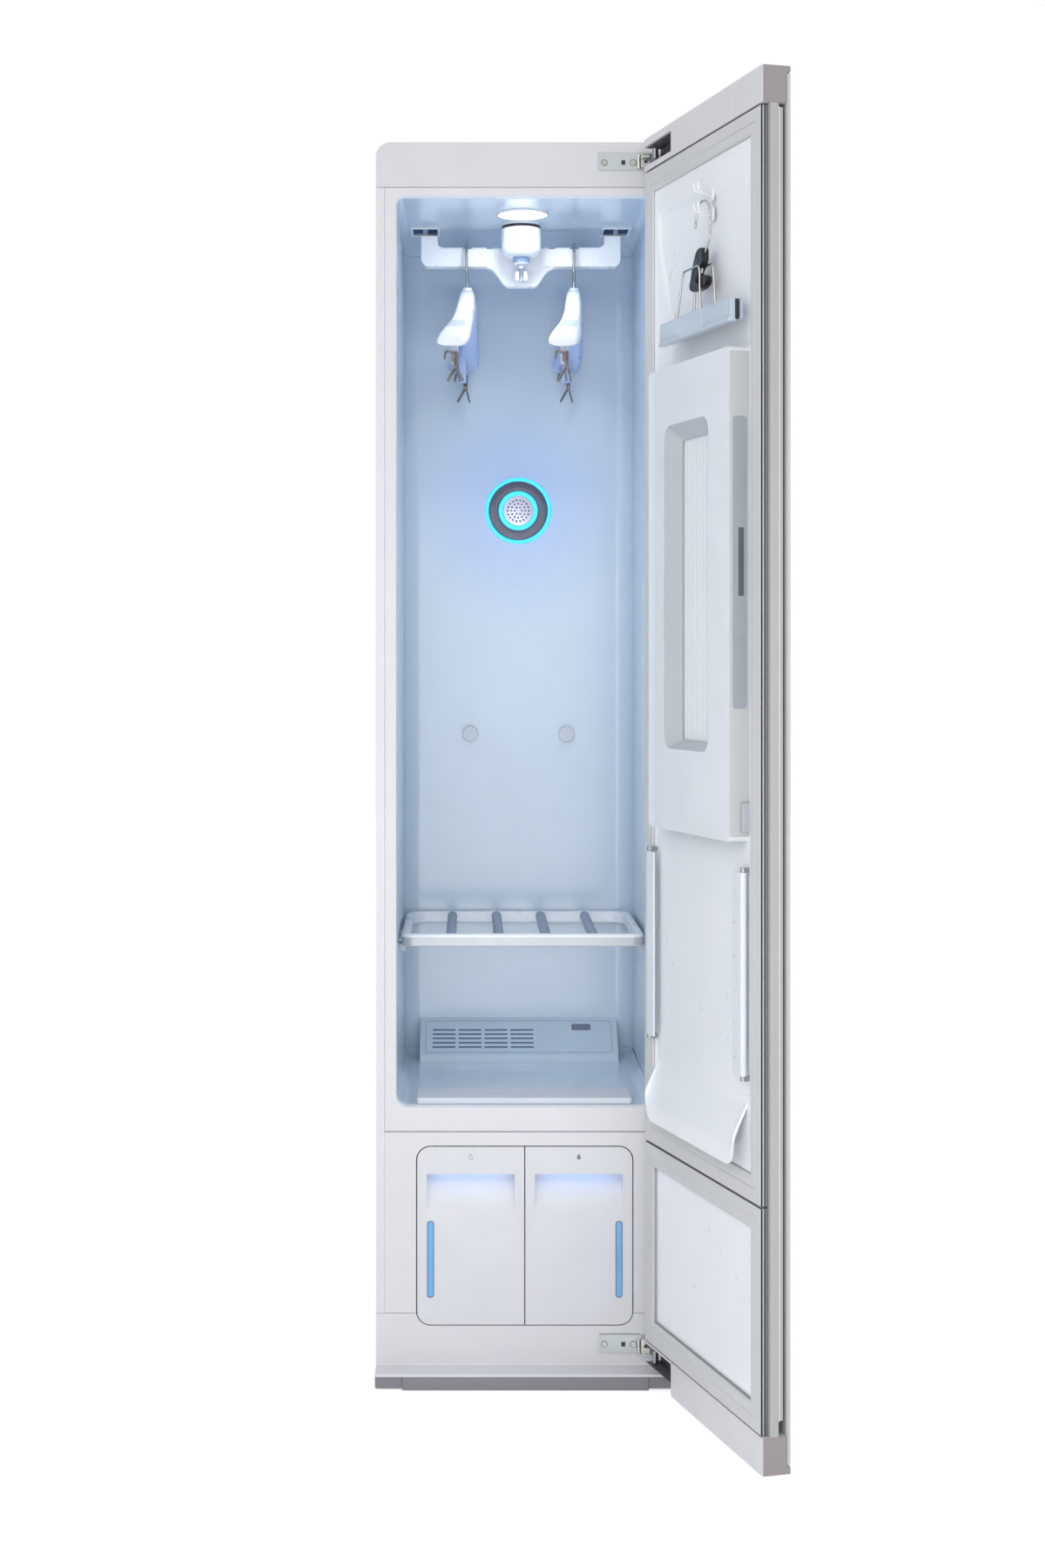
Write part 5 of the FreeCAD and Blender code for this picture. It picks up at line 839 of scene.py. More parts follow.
class CABINET_OT_machines(bpy.types.Operator):
    """Build the finishes of the heat pump, the boiler, the ducts and the electronics"""

    bl_idname = "cabinet.machines"
    bl_label = "Build Machines"

    def execute(self, context):
        duct = finish("duct_plastic", colour(150, 153, 158), 0.5)
        paint = finish("compressor_paint", colour(44, 45, 48), 0.35, coat=0.4)
        fins = finish("coil_metal", colour(196, 199, 203), 0.3, metal=1.0, grain=0.2, stretch=(8, 1, 1))
        dark = black_finish()
        made = [ease(node, duct, 0.0008) for node in ("heat_pump_duct", "rear_air_duct")]
        made += [ease(node, dark, 0.0008) for node in ("fan_rotor", "fan_motor", "drive_motor", "pumps")]
        made.append(ease("compressor", paint))
        made.append(coat_node("heat_exchangers", fins))
        made.append(ease("steam_generator", fins))
        made.append(ease("control_box", dark, 0.0005))
        made.append(coat_node("internal_pipes", finish("hose_rubber", colour(70, 70, 74), 0.6)))
        foam = finish("white_foam", colour(232, 230, 222), 0.85, grain=0.5, grain_scale=300)
        made += [coat_node(node, foam) for node in ("insulation", "door_core")]
        return finished(self, made)


# ---- operators: ceiling and hanging space ----
# Turned profiles of the ceiling are (radius, drop from the ceiling).
LENS_PROFILE = (
    (0, 4.4), (14, 4.3), (26, 3.9), (34, 3.3), (37.6, 2.9), (38.6, 2.6), (35.5, 2.55), (35.5, -2.5),
    (39.6, -2.5), (40, -3), (40, -12), (39.6, -12.5), (0, -12.5),
)
RIM_PROFILE = ((38.9, 2.5), (39.9, 2.5), (40.1, 2.8), (39.8, 3.4), (38.9, 3.3), (38.9, 2.5))
CUP_PROFILE = (
    (28, 0), (31.4, 0), (31.8, 0.5), (31.8, 2.8), (31.4, 3.3), (29.8, 3.4), (29.8, 8.2), (31.2, 8.3),
    (31.7, 8.7), (31.9, 9.6), (31.9, 38), (31.4, 42), (30, 45.6), (27.8, 48.6), (24.8, 50.7),
    (21, 51.8), (18, 52), (14.2, 52), (13.2, 52.4), (13, 53.2), (13, 61.6), (12.7, 62.6),
    (11.8, 63.4), (10.6, 64), (5.6, 64), (5.05, 63.4), (5.05, 47.5), (5.6, 47), (22, 47), (28, 40),
    (28, 0),
)
GROOVE_PROFILE = ((29.9, 3.7), (30.9, 3.8), (30.9, 7.8), (29.9, 7.9), (29.9, 3.7))
NECK_PROFILE = ((13.05, 52.7), (13.35, 53), (13.35, 61.9), (13.05, 62.2), (12.9, 57), (13.05, 52.7))
CEILING_STEPS = 64
SLOT_X = 154.0
SLOT_HALF = 26.0
SLOT_Y = (250, 312)
SLOT_RISE = (2.6, 47.0)
SHADE_WALL = 0.0012


def below_ceiling(name, profile, y, material, stands_for=()):
    """A turned piece that hangs from the ceiling."""
    turned = lathe(profile, (0, y, CAVITY_Z[1]), DOWN, CEILING_STEPS)
    return piece(name, turned, material, "cabinet", stands_for)


def slot_shade(side):
    """A cap above one arm slot that hides the rails, open below; its dark blue is the slot's blue plastic
    with painted shade.
    """
    top = CAVITY_Z[1]
    bm = block(around(side * SLOT_X, SLOT_HALF), SLOT_Y, (top + SLOT_RISE[0], top + SLOT_RISE[1]))
    under = [face for face in bm.faces if face.normal.z < -0.5]
    bmesh.ops.delete(bm, geom=under, context="FACES")
    bmesh.ops.solidify(bm, geom=bm.faces[:], thickness=SHADE_WALL)
    bmesh.ops.recalc_face_normals(bm, faces=bm.faces)
    return bm


class CABINET_OT_ceiling(bpy.types.Operator):
    """Build the lamp, the drive's cup and crank, the rails and the swinging bar"""

    bl_idname = "cabinet.ceiling"
    bl_label = "Build Ceiling"

    def execute(self, context):
        white = white_finish()
        glow = shining("lamp_lens", colour(255, 255, 255), chosen()[1].lamp_light)
        rim = finish("rim_grey", colour(104, 112, 122), 0.3)
        shade = finish("slot_shade", colour(84, 126, 180), 0.5)
        neck = finish("neck_blue", colour(140, 166, 202), 0.35)
        pale_plastic = finish("frosted_crank", colour(190, 202, 218), 0.3, coat=0.3)
        made = [
            below_ceiling("lamp_lens_dome", LENS_PROFILE, LAMP_Y, glow, ("lamp_lens",)),
            below_ceiling("drive_cup", CUP_PROFILE, DRIVE_Y, white, ("drive_housing",)),
            ease("ceiling_bezels", white, 0.0005),
            below_ceiling("lamp_rim", RIM_PROFILE, LAMP_Y, rim),
            # painted shade: a black ring in the cup's recessed band stands for the dark gap at its top
            below_ceiling("drive_cup_groove_shade", GROOVE_PROFILE, DRIVE_Y, black_finish()),
            piece("slot_shades", joined([slot_shade(-1), slot_shade(1)]), shade, "cabinet"),
            below_ceiling("drive_neck", NECK_PROFILE, DRIVE_Y, neck),
            ease("drive_crank", pale_plastic, 0.0006),
            ease("hanger_bar", white, 0.0014),
            ease("guide_rods", steel_finish(), 0.0006),
        ]
        return finished(self, made)


def hanger_painted_shade_finish():
    """White plastic with a painted blue shade towards the back of the hanging space, on the hangers' shaded
    rear halves.
    """
    # painted shade: the rear halves of the hangers turn blue-grey
    deep = (colour(160, 184, 232), "DOT_PRODUCT", (0, 1, 0), 0.235, 0.33, 0.0, 0.85)
    return graded("hanger_plastic", chosen()[0].white, 0.3, deep, grain=0.05, coat=0.2)


# Each row is (share of the half length, drop below the neck, width, height).
HANGER_RINGS = (
    (0.0, 24.0, 27.0, 44.0),
    (0.2, 34.0, 27.4, 42.0),
    (0.4, 50.0, 28.4, 38.0),
    (0.55, 65.0, 30.4, 36.0),
    (0.7, 79.5, 34.0, 35.0),
    (0.8, 89.0, 39.5, 33.0),
    (0.88, 96.5, 44.5, 30.0),
    (0.94, 102.4, 46.8, 25.0),
    (0.975, 106.4, 46.0, 18.0),
    (0.993, 109.0, 43.0, 11.0),
    (1.0, 110.2, 39.0, 6.0),
)
HANGER_ROUND = 28
HANGER_SQUARE = 0.5
STUB_PROFILE = ((0, 0), (6, 0), (7.4, -0.5), (8, -1.6), (8.2, -8), (9, -16), (0, -18))
LUG_PLACE = RAIL_HALF - 36
LUG_DROP = 80.0
SLIP_SHARE = (0.77, 0.885)
SLIP_TURN = (62, 116)
SLIP_PROUD = 0.35
SLIP_THICK = 0.0012


def hanger_ring(share, drop, width, height):
    """One closed section of a hanger's shoulder: a squarish oval, bent to the side."""
    ring = []
    along, aside = share * HANGER_HALF, HANGER_SWEEP * share ** SWEEP_POWER
    for n in range(HANGER_ROUND):
        angle = 2 * math.pi * n / HANGER_ROUND
        rise = math.sin(angle) * height / 2
        wide = math.copysign(abs(math.cos(angle)) ** HANGER_SQUARE * width / 2, math.cos(angle))
        ring.append((aside + wide, along, HANGER_NECK_Z - drop + rise))
    return ring


def hanger_body():
    """A wide-shouldered hanger about its hook, with its stub and its lugs for the clip rail."""
    rings = [hanger_ring(-share, *row) for share, *row in HANGER_RINGS[:0:-1]]
    rings += [hanger_ring(share, *row) for share, *row in HANGER_RINGS]
    parts = [loft(rings), lathe(STUB_PROFILE, (0, 0, HANGER_NECK_Z), UP, 32)]
    for way in (-1, 1):
        lug_z = (RAIL_Z - 5, HANGER_NECK_Z - LUG_DROP)
        parts.append(block(around(RAIL_X, 6), around(way * LUG_PLACE, 4), lug_z, ease=2))
    return joined(parts)


def slip_pad(way):
    """The soft pad on a hanger's tip, a thin skin that follows the shoulder."""
    rings = [hanger_ring(way * at, *row) for at, *row in HANGER_RINGS]

    def surface(share, turn):
        """A point of the skin, between the shoulder's rings and their points."""
        n = next(n for n in range(len(rings) - 1) if HANGER_RINGS[n + 1][0] >= share)
        between = (share - HANGER_RINGS[n][0]) / (HANGER_RINGS[n + 1][0] - HANGER_RINGS[n][0])
        at = turn / 360 * HANGER_ROUND
        low = int(at)
        here, beyond = [
            Vector(ring[low]).lerp(Vector(ring[low + 1]), at - low) for ring in (rings[n], rings[n + 1])
        ]
        return here.lerp(beyond, between) + Vector((0, 0, SLIP_PROUD))

    bm = relief(SLIP_SHARE, SLIP_TURN, (10, 12), surface)
    bmesh.ops.recalc_face_normals(bm, faces=bm.faces)
    if sum(face.normal.z for face in bm.faces) < 0:
        bmesh.ops.reverse_faces(bm, faces=bm.faces)
    bmesh.ops.solidify(bm, geom=bm.faces[:], thickness=SLIP_THICK)
    return bm


CLIP_MIDDLE = RAIL_HALF - 16
CLIP_HALF = 8.0
CLIP_SHEET = 0.0014
CLIP_EDGE_D = 2.4
# The two bent leaves of a clip as (x, z) from the rail: handle, pivot and jaw.
CLIP_LEAVES = (
    ((-14.6, 0), (-12, 12.5), (2.4, 9.5), (1.6, -13.5), (-9.6, -34)),
    ((1, 9.5), (5.6, 13), (5.2, -14), (10.4, -34.6)),
)
PIVOT_DROP = 12.0
PIVOT_X = RAIL_X + 3.4


def clip_leaf(middle, leaf):
    """One leaf of a spring clip: a bent strip with turned edges, its handle above and its jaw below."""
    bow = [(RAIL_X + x, RAIL_Z + z) for x, z in leaf]
    bm = bmesh.new()
    verts = [bm.verts.new(mm(x, middle - CLIP_HALF, z)) for x, z in bow]
    edges = [bm.edges.new(pair) for pair in zip(verts, verts[1:])]
    grown = bmesh.ops.extrude_edge_only(bm, edges=edges)["geom"]
    far = [v for v in grown if isinstance(v, bmesh.types.BMVert)]
    bmesh.ops.translate(bm, vec=mm(0, 2 * CLIP_HALF, 0), verts=far)
    bmesh.ops.recalc_face_normals(bm, faces=bm.faces)
    bmesh.ops.solidify(bm, geom=bm.faces[:], thickness=CLIP_SHEET)
    bmesh.ops.recalc_face_normals(bm, faces=bm.faces)
    bends = [1.6] * (len(bow) - 2)
    sides = around(middle, CLIP_HALF)
    return [bm] + [tube([(x, y, z) for x, z in bow], CLIP_EDGE_D, bends, 3) for y in sides]


def clip_rail():
    """A hanger's clip rail with its two spring clips, about its hook."""
    parts = [tube([(RAIL_X, -RAIL_HALF, RAIL_Z), (RAIL_X, RAIL_HALF, RAIL_Z)], 5)]
    pivot_z = RAIL_Z - PIVOT_DROP
    for middle in (-CLIP_MIDDLE, CLIP_MIDDLE):
        for leaf in CLIP_LEAVES:
            parts += clip_leaf(middle, leaf)
        parts.append(tube([(PIVOT_X, y, pivot_z) for y in around(middle, 10)], 4.6))
        parts.append(block((RAIL_X - 3, RAIL_X + 5.6), around(middle, 7), (RAIL_Z - 4, RAIL_Z + 9), ease=1))
    return joined(parts)


HOOK_REACH = 22.0
HOOK_TOP_Z = 1747.4
HOOK_WIRE_D = 5.0
HOOK_STEPS = 24


def hanger_hook():
    """A hanger's wire hook, from its neck over the bar."""
    neck, reach, bend = HANGER_NECK_Z, HOOK_REACH, HOOK_TOP_Z - HOOK_REACH
    route = [(0, 0, neck - 12), (0, 0, neck + 10), (0, -reach, neck + 24)]
    arc = [math.pi * n / HOOK_STEPS for n in range(HOOK_STEPS + 1)]
    route += [(0, -reach * math.cos(angle), bend + reach * math.sin(angle)) for angle in arc]
    return tube(route + [(0, reach, bend - 12)], HOOK_WIRE_D, [8, 8] + [0.4] * len(arc))


def on_bar(bm, side):
    """Move a hanger's piece, made about its hook, to its place on the bar."""
    turn = Matrix.Rotation(math.radians(HANGER_YAW), 4, "Z")
    place = Matrix.Translation(mm(side * HANGER_X, HANGER_Y, 0))
    bmesh.ops.transform(bm, matrix=place @ turn, verts=bm.verts)
    return bm


class CABINET_OT_hangers(bpy.types.Operator):
    """Build the two wide-shouldered hangers with their hooks and clip rails"""

    bl_idname = "cabinet.hangers"
    bl_label = "Build Hangers"

    def execute(self, context):
        made = []
        white, chrome = hanger_painted_shade_finish(), chrome_finish()
        steel = finish("clip_steel", colour(132, 126, 124), 0.22, metal=1.0, grain=0.1)
        soft = finish("slip_pad", colour(196, 204, 208), 0.6)
        for name, side in (("hanger_left", -1), ("hanger_right", 1)):
            for part, shape, look, slot, stands_for, sharp in (
                ("_shoulders", hanger_body(), white, "hanger_white", (name,), SOFT_SHARP),
                ("_clips", clip_rail(), steel, "hanger_wire", (name + "_wire",), ROUND_SHARP),
                ("_hook", hanger_hook(), chrome, "hanger_wire", (), ROUND_SHARP),
                ("_pads", joined([slip_pad(-1), slip_pad(1)]), soft, "hanger_white", (), SHARP),
            ):
                made.append(piece(name + part, on_bar(shape, side), look, name, stands_for, sharp))
        return finished(self, made)


# Each row is (name, outer radius, inner radius, height).
NOZZLE_RINGS = (
    ("outer_light", 56.0, 49.6, 4.0),
    ("nozzle_trim", 49.4, 33.6, 5.0),
    ("inner_light", 33.4, 25.2, 4.0),
)
NOZZLE_CIRCLES = ((6.0, 6), (12.0, 12), (18.0, 18))
NOZZLE_HOLE_R = 1.5
HOLE_DEEP = 2.2
PLATE_R = 25
PLATE_EDGE = 4
PLATE_DOME = 1.2
PLATE_STEPS, PLATE_RINGS = 216, 62


def ring_profile(outer, inner, proud):
    """The profile of a flat ring with softened edges."""
    soft = min(1.6, (outer - inner) / 3)
    cut = soft * 0.3
    profile = [(outer, 0), (outer, proud - soft), (outer - cut, proud - cut), (outer - soft, proud)]
    profile += [(inner + soft, proud), (inner + cut, proud - cut), (inner, proud - soft)]
    return profile + [(inner, 0), (outer, 0)]


def nozzle_plate():
    """The plate of the nozzle, gently domed, with its holes pressed in."""
    profile = []
    for n in range(PLATE_RINGS + 1):
        dome = PLATE_DOME * (1 - (n / PLATE_RINGS) ** 2)
        profile.append((PLATE_R * n / PLATE_RINGS, PLATE_EDGE + dome))
    profile += [(PLATE_R, 0), (0, 0)]
    bm = lathe(profile, (0, CAVITY_BACK_Y, NOZZLE_Z), FORWARD, PLATE_STEPS)
    holes = []
    for circle, count in NOZZLE_CIRCLES:
        for n in range(count):
            angle = 2 * math.pi * n / count
            holes.append(mm(circle * math.cos(angle), 0, NOZZLE_Z + circle * math.sin(angle)))
    face_y = (CAVITY_BACK_Y - PLATE_EDGE + 1) * 0.001
    for vert in bm.verts:
        if vert.co.y > face_y:
            continue
        flat = Vector((vert.co.x, 0, vert.co.z))
        near = min((flat - hole).length for hole in holes) * 1000
        vert.co.y += HOLE_DEEP * 0.001 * (1 - step(near, NOZZLE_HOLE_R * 0.55, NOZZLE_HOLE_R))
    return bm


def plate_painted_shade_finish():
    """Pale metal with painted shade: dark in the depth of its holes."""
    holes_y = [(CAVITY_BACK_Y - height) * 0.001 for height in (3.7, 3.1)]
    # painted shade in the holes
    deep = (colour(52, 58, 84), "DOT_PRODUCT", (0, 1, 0), *holes_y)
    return graded("nozzle_plate", colour(196, 198, 216), 0.3, deep, metal=0.5, grain=0.1)


class CABINET_OT_nozzle(bpy.types.Operator):
    """Build the steam nozzle: its perforated plate and the lit rings around it"""

    bl_idname = "cabinet.nozzle"
    bl_label = "Build Nozzle"

    def execute(self, context):
        colours, sizes = chosen()
        glow = shining("ring_light", colours.glow, sizes.ring_light)
        trim = finish("nozzle_trim", colour(50, 58, 90), 0.25, coat=0.4)
        made = []
        for name, outer, inner, proud in NOZZLE_RINGS:
            ring = lathe(ring_profile(outer, inner, proud), (0, CAVITY_BACK_Y, NOZZLE_Z), FORWARD, 96)
            look = trim if name == "nozzle_trim" else glow
            stands_for = ("nozzle",) if name == "outer_light" else ()
            made.append(piece(name, ring, look, "cabinet", stands_for))
        made.append(piece("nozzle_plate", nozzle_plate(), plate_painted_shade_finish(), "cabinet"))
        return finished(self, made)


SHELF_CORNERS = (18, 18, 38, 38)
SHELF_ROD_D = 16.0
SHELF_ROD_DROP = 8.4


def shelf_outline():
    """The outer line of the shelf's rim, rounder at the back."""
    return rectangle((-SHELF_HALF, SHELF_HALF), SHELF_Y, SHELF_CORNERS)


def shelf_rim():
    """The shelf's moulded rim, with rolled edges."""
    low, high = SHELF_Z
    section = [(0, low + 4), (0, high - 5), (0.8, high - 2), (3, high - 0.4), (6, high), (9, high - 0.4)]
    section += [(11.2, high - 2), (12, high - 5), (12, low + 4), (11.2, low + 1.2), (9.4, low), (2.6, low)]
    section.append((0.8, low + 1.2))
    return swept(shelf_outline(), section, flat_xy)


def shelf_rods():
    """The rods that run from the rim's front to its back."""
    z = SHELF_Z[1] - SHELF_ROD_DROP
    ends = (SHELF_Y[0] + 8, SHELF_Y[1] - 8)
    return joined([tube([(x, y, z) for y in ends], SHELF_ROD_D, sides=8) for x in SHELF_ROD_X])


def shelf_band():
    """The thin silver band around the rim."""
    low, high = SHELF_Z
    section = [(0.3, low + 1.6), (-0.25, low + 2), (-0.25, high - 6), (0.3, high - 5.6)]
    return swept(shelf_outline(), section, flat_xy)


class CABINET_OT_shelf(bpy.types.Operator):
    """Build the shelf's rim and its four rods"""

    bl_idname = "cabinet.shelf"
    bl_label = "Build Shelf"

    def execute(self, context):
        grey = finish("shelf_rods", chosen()[0].rods, 0.4)
        silver = finish("shelf_band", colour(188, 192, 197), 0.34, metal=0.2)
        made = [
            piece("shelf_rim", shelf_rim(), white_finish(), "shelf", ("shelf",)),
            piece("shelf_rods", shelf_rods(), grey, "shelf"),
            piece("shelf_band", shelf_band(), silver, "shelf"),
        ]
        return finished(self, made)


HINGE_Z = ((1808.0, 1830.0), (43.0, 68.0))
HINGE_BOX_X = (173, 187)
HINGE_PLATE_T = 2.6
HINGE_ROD_PLACE = (170, -5.8)
HINGE_ROD = ((0, 0), (3.2, 0), (3.4, 0.4), (3.4, 20), (3.2, 20.4), (0, 20.4))
HINGE_SCREW_X = (118.6, 161.6)
SCREW_RING = ((4.2, -0.2), (4.9, -0.2), (4.9, 0.15), (4.2, 0.15), (4.2, -0.2))
HINGE_WINDOW_X = (143.9, 150.1)


def hinge_box(low, high):
    """The end of a hinge plate: a block between two lips, with a rod beside it."""
    parts = [block(HINGE_BOX_X, (-8.4, -2.8), (low + 1, high - 1), ease=0.8)]
    for lip in ((low, low + HINGE_PLATE_T), (high - HINGE_PLATE_T, high)):
        parts.append(block(HINGE_BOX_X, (-18, -3), lip, ease=0.8))
    return parts + [lathe(HINGE_ROD, (*HINGE_ROD_PLACE, low + 1), UP)]


def hinge_shade(low, high):
    """Painted shade in the gaps of a hinge plate: dark pieces above it, behind its link, around its screws
    and in its window.
    """
    middle = (low + high) / 2
    parts = [block((110.5, 172), (-0.7, 0), (high + 0.6, high + 2.8), ease=0.3)]
    parts.append(block((178, 182), (-8.9, -8.2), (low + 9, low + 13)))
    parts += [lathe(SCREW_RING, (x, -2.4, middle), FORWARD) for x in HINGE_SCREW_X]
    return parts + [block(HINGE_WINDOW_X, (-2.2, -1.2), around(middle, 3.4))]


class CABINET_OT_hinges(bpy.types.Operator):
    """Build the hinge plates, their screws and their links"""

    bl_idname = "cabinet.hinges"
    bl_label = "Build Hinges"

    def execute(self, context):
        steel = finish("link_steel", colour(136, 140, 144), 0.22, metal=1.0, grain=0.3)
        made = [ease("hinge_brackets", zinc_finish(), 0.0004), ease("hinge_links", steel, 0.0008)]
        made.append(ease("hinge_screws", chrome_finish(), 0.0003))
        boxes = joined([part for z in HINGE_Z for part in hinge_box(*z)])
        shades = joined([part for z in HINGE_Z for part in hinge_shade(*z)])
        made.append(piece("hinge_boxes", boxes, chrome_finish(), "cabinet"))
        # painted shade: dark pieces in the gaps of the hinge plates
        made.append(piece("hinge_shades", shades, black_finish(), "cabinet"))
        return finished(self, made)


# ---- operators: door ----
CHANNEL_Z = (95.0, 1790.0)
GRIP_T, GRIP_D = (432, 437.4), (23.1, 30)
HIGHLIGHT_T, HIGHLIGHT_D = (436, 439.8), (23.1, 24.9)
POCKET_T = (-0.6, 110.8)
POCKET_D = (4.0, 27.3)
POCKET_Z = ((1803.2, 1831.8), (41.5, 71.8))
POCKET_SHEET = 0.0006


def pocket_shade_sheet(z):
    """A thin dark sheet in a hinge pocket, open to the sealing face and the hinge edge: painted shade in
    the pocket.
    """
    bm = block(POCKET_T, POCKET_D, z)
    bm.normal_update()
    open_sides = [face for face in bm.faces if face.normal.y < -0.5 or face.normal.x < -0.5]
    bmesh.ops.delete(bm, geom=open_sides, context="FACES")
    bmesh.ops.solidify(bm, geom=bm.faces[:], thickness=POCKET_SHEET)
    bmesh.ops.recalc_face_normals(bm, faces=bm.faces)
    return bm


def cap_painted_shade_finish():
    """The header's plastic, with painted shade: darker at the ends on the door's free side."""
    along, side = door_line(DOOR_W)
    # painted shade on the caps' ends at the free side
    end = (colour(146, 139, 143), "DOT_PRODUCT", along, side - 0.0008, side - 0.0004)
    return graded("door_cap", chosen()[0].header, 0.4, end)


class CABINET_OT_door(bpy.types.Operator):
    """Build the door's glass, frame, end caps and inner pins"""

    bl_idname = "cabinet.door"
    bl_label = "Build Door"

    def execute(self, context):
        glass = finish("door_glass", colour(188, 192, 196), 0.1, grain=0.0)
        edge = finish("door_edge", chosen()[0].edge, 0.42)
        made = [ease("door_front_panel", glass, 0.0008), ease("door_frame", edge, 0.0006)]
        made += [ease("door_caps", cap_painted_shade_finish(), 0.0006), ease("door_hinge_pins", steel_finish(), 0.0004)]
        # painted shade: dark sheets inside the hinge pockets
        pocket_dark = finish("pocket_shade", colour(92, 89, 93), 0.5)
        grip = finish("grip_strip", colour(178, 178, 174), 0.4)
        # painted highlight: a pale strip stands for the light on the frame's bevel at the channel's edge
        bead = finish("bead_highlight", colour(214, 215, 210), 0.35)
        for name, shape, look in (
            ("pocket_shades", joined([pocket_shade_sheet(z) for z in POCKET_Z]), pocket_dark),
            ("channel_grip", block(GRIP_T, GRIP_D, CHANNEL_Z, ease=0.6), grip),
            ("channel_highlight", block(HIGHLIGHT_T, HIGHLIGHT_D, CHANNEL_Z, ease=0.5), bead),
        ):
            made.append(door_piece(name, shape, look))
        return finished(self, made)


GASKET_T = (3.0, 433.0)
GASKET_IN = (37.3, 399.7)
GASKETS = (((371.0, 1793.0), (407.3, 1759.7)), ((76.0, 369.0), (110.3, 337.7)))
BELLOWS_D = 10.6
BELLOWS_DEEP = 9.0
# The soft lips of a gasket, from the last fold to its inner side.
GASKET_LIPS = (
    (0.02, 1.1), (0.035, 0.35), (0.08, 0.0), (0.5, 0.0), (0.53, 0.25), (0.56, 0.95), (0.6, 0.95),
    (0.63, 0.3), (0.68, 0.1), (0.93, 0.25), (0.98, 0.7), (1.0, 1.8), (0.99, 4.0), (0.93, 5.5),
    (0.93, 11.0),
)


def gasket_section(folds):
    """The gasket's section as (share of its width, depth): bellows outside, soft lips inside."""
    pitch = BELLOWS_DEEP / folds
    points = [(0.06, 11.0)]
    for n in range(folds):
        start = BELLOWS_D - n * pitch
        points += [(0.012, start - pitch * 0.1), (0.0, start - pitch * 0.3), (0.012, start - pitch * 0.5)]
        points += [(0.085, start - pitch * 0.68), (0.085, start - pitch * 0.86)]
    return points + list(GASKET_LIPS)


def gasket_loops(section):
    """Both sealing frames of the door with one section."""
    frames = []
    for outer_z, inner_z in GASKETS:
        rings = []
        for right, up in ((0, 0), (1, 0), (1, 1), (0, 1)):
            outer = Vector((GASKET_T[right], outer_z[up]))
            inner = Vector((GASKET_IN[right], inner_z[up]))
            places = [outer.lerp(inner, share) for share, deep in section]
            rings.append([(place.x, deep, place.y) for place, (share, deep) in zip(places, section)])
        frames.append(loft(rings + rings[:1], capped=False))
    return joined(frames)


# Painted shade in and beside the gasket's folds. Each row is (name, tint, bands), and a band is (share of
# the width, nearest depth, farthest depth).
GASKET_SHADES = (
    ("gasket_groove_shade", (48, 48, 54), ((0.012, 1.9, 3.4), (0.012, 6.2, 7.9))),
    ("gasket_root_shade", (112, 110, 117), ((-0.003, 8.6, 10.9),)),
)
LINE_IN = 0.08


class CABINET_OT_gaskets(bpy.types.Operator):
    """Build the two sealing frames of the door with their bellows"""

    bl_idname = "cabinet.gaskets"
    bl_label = "Build Gaskets"

    def execute(self, context):
        colours, sizes = chosen()
        rubber = finish("gasket_rubber", colours.gasket, 0.5, grain=0.08)
        whole = gasket_loops(gasket_section(sizes.gasket_folds))
        made = [door_piece("gasket_frames", whole, rubber, ("door_gaskets",), ROUND_SHARP)]
        for name, tint, bands in GASKET_SHADES:
            loops = joined([
                gasket_loops([(at, low), (LINE_IN, low), (LINE_IN, high), (at, high)])
                for at, low, high in bands
            ])
            made.append(door_piece(name, loops, finish(name, colour(*tint), 0.6)))
        return finished(self, made)


LINER_D = 5.2
LINER_RIM = 1.6
LINER_BACK = 11.0
LOWER_LINER_D = 5.0
LOWER_LINER_RIM = 2.4
HOLLOW_D = 3.6
HOLLOW_LEFT = 46
HOLLOW_SLANT = 40
HOLLOW_SLANT_Z = (1700, 1560)
HOLLOW_CREST_Z = (1724, 1712)
HOLLOW_WAVE = 8
HOLLOW_WAVE_T = 60
PLATE_D = 2.6
PLATE_LEFT = 60.0
PLATE_RIGHT = 330
PLATE_TOP_Z = (1484, 1500)
PLATE_FOOT_Z = 452
PLATE_FALL = 20
PLATE_CORNER = 24


def from_rim(t, z, t_span, z_span):
    """How far a place lies inside the nearest side of a rectangle."""
    return min(t - t_span[0], t_span[1] - t, z - z_span[0], z_span[1] - z)


def hollow_share(t, z):
    """The hollow behind the hooks: 1 in its depth and 0 outside it."""
    left = HOLLOW_LEFT + HOLLOW_SLANT * step(z, *HOLLOW_SLANT_Z)
    wave = HOLLOW_WAVE * math.sin(t / HOLLOW_WAVE_T)
    share = step(t, left, left + 9) * step(z, HOLLOW_CREST_Z[0] + wave, HOLLOW_CREST_Z[1] + wave)
    share *= step(LINER_T[1] - 6 - t, 0, 8) * step(z, *PLATE_TOP_Z)
    return share


def plate_share(t, z):
    """The plate under the hollow, with a round corner at its left foot: 1 on it and 0 outside it."""
    foot = PLATE_FOOT_Z - PLATE_FALL * step(t, PLATE_LEFT, PLATE_RIGHT)
    corner = PLATE_CORNER * max(0.0, 1 - (t - PLATE_LEFT) / PLATE_CORNER) ** 2
    share = step(t, PLATE_LEFT - 5, PLATE_LEFT + 1) * step(z, foot + corner - 3, foot + corner + 4)
    share *= step(z, *PLATE_TOP_Z[::-1])
    return share


def liner_surface(t, z):
    """A point of the upper liner: a hollow behind the hooks and a plate that stands prouder below."""
    depth = LINER_D - LINER_RIM * (1 - step(from_rim(t, z, LINER_T, LINER_Z), 3, 8))
    depth += HOLLOW_D * hollow_share(t, z)
    depth -= PLATE_D * plate_share(t, z)
    return (t, depth, z)


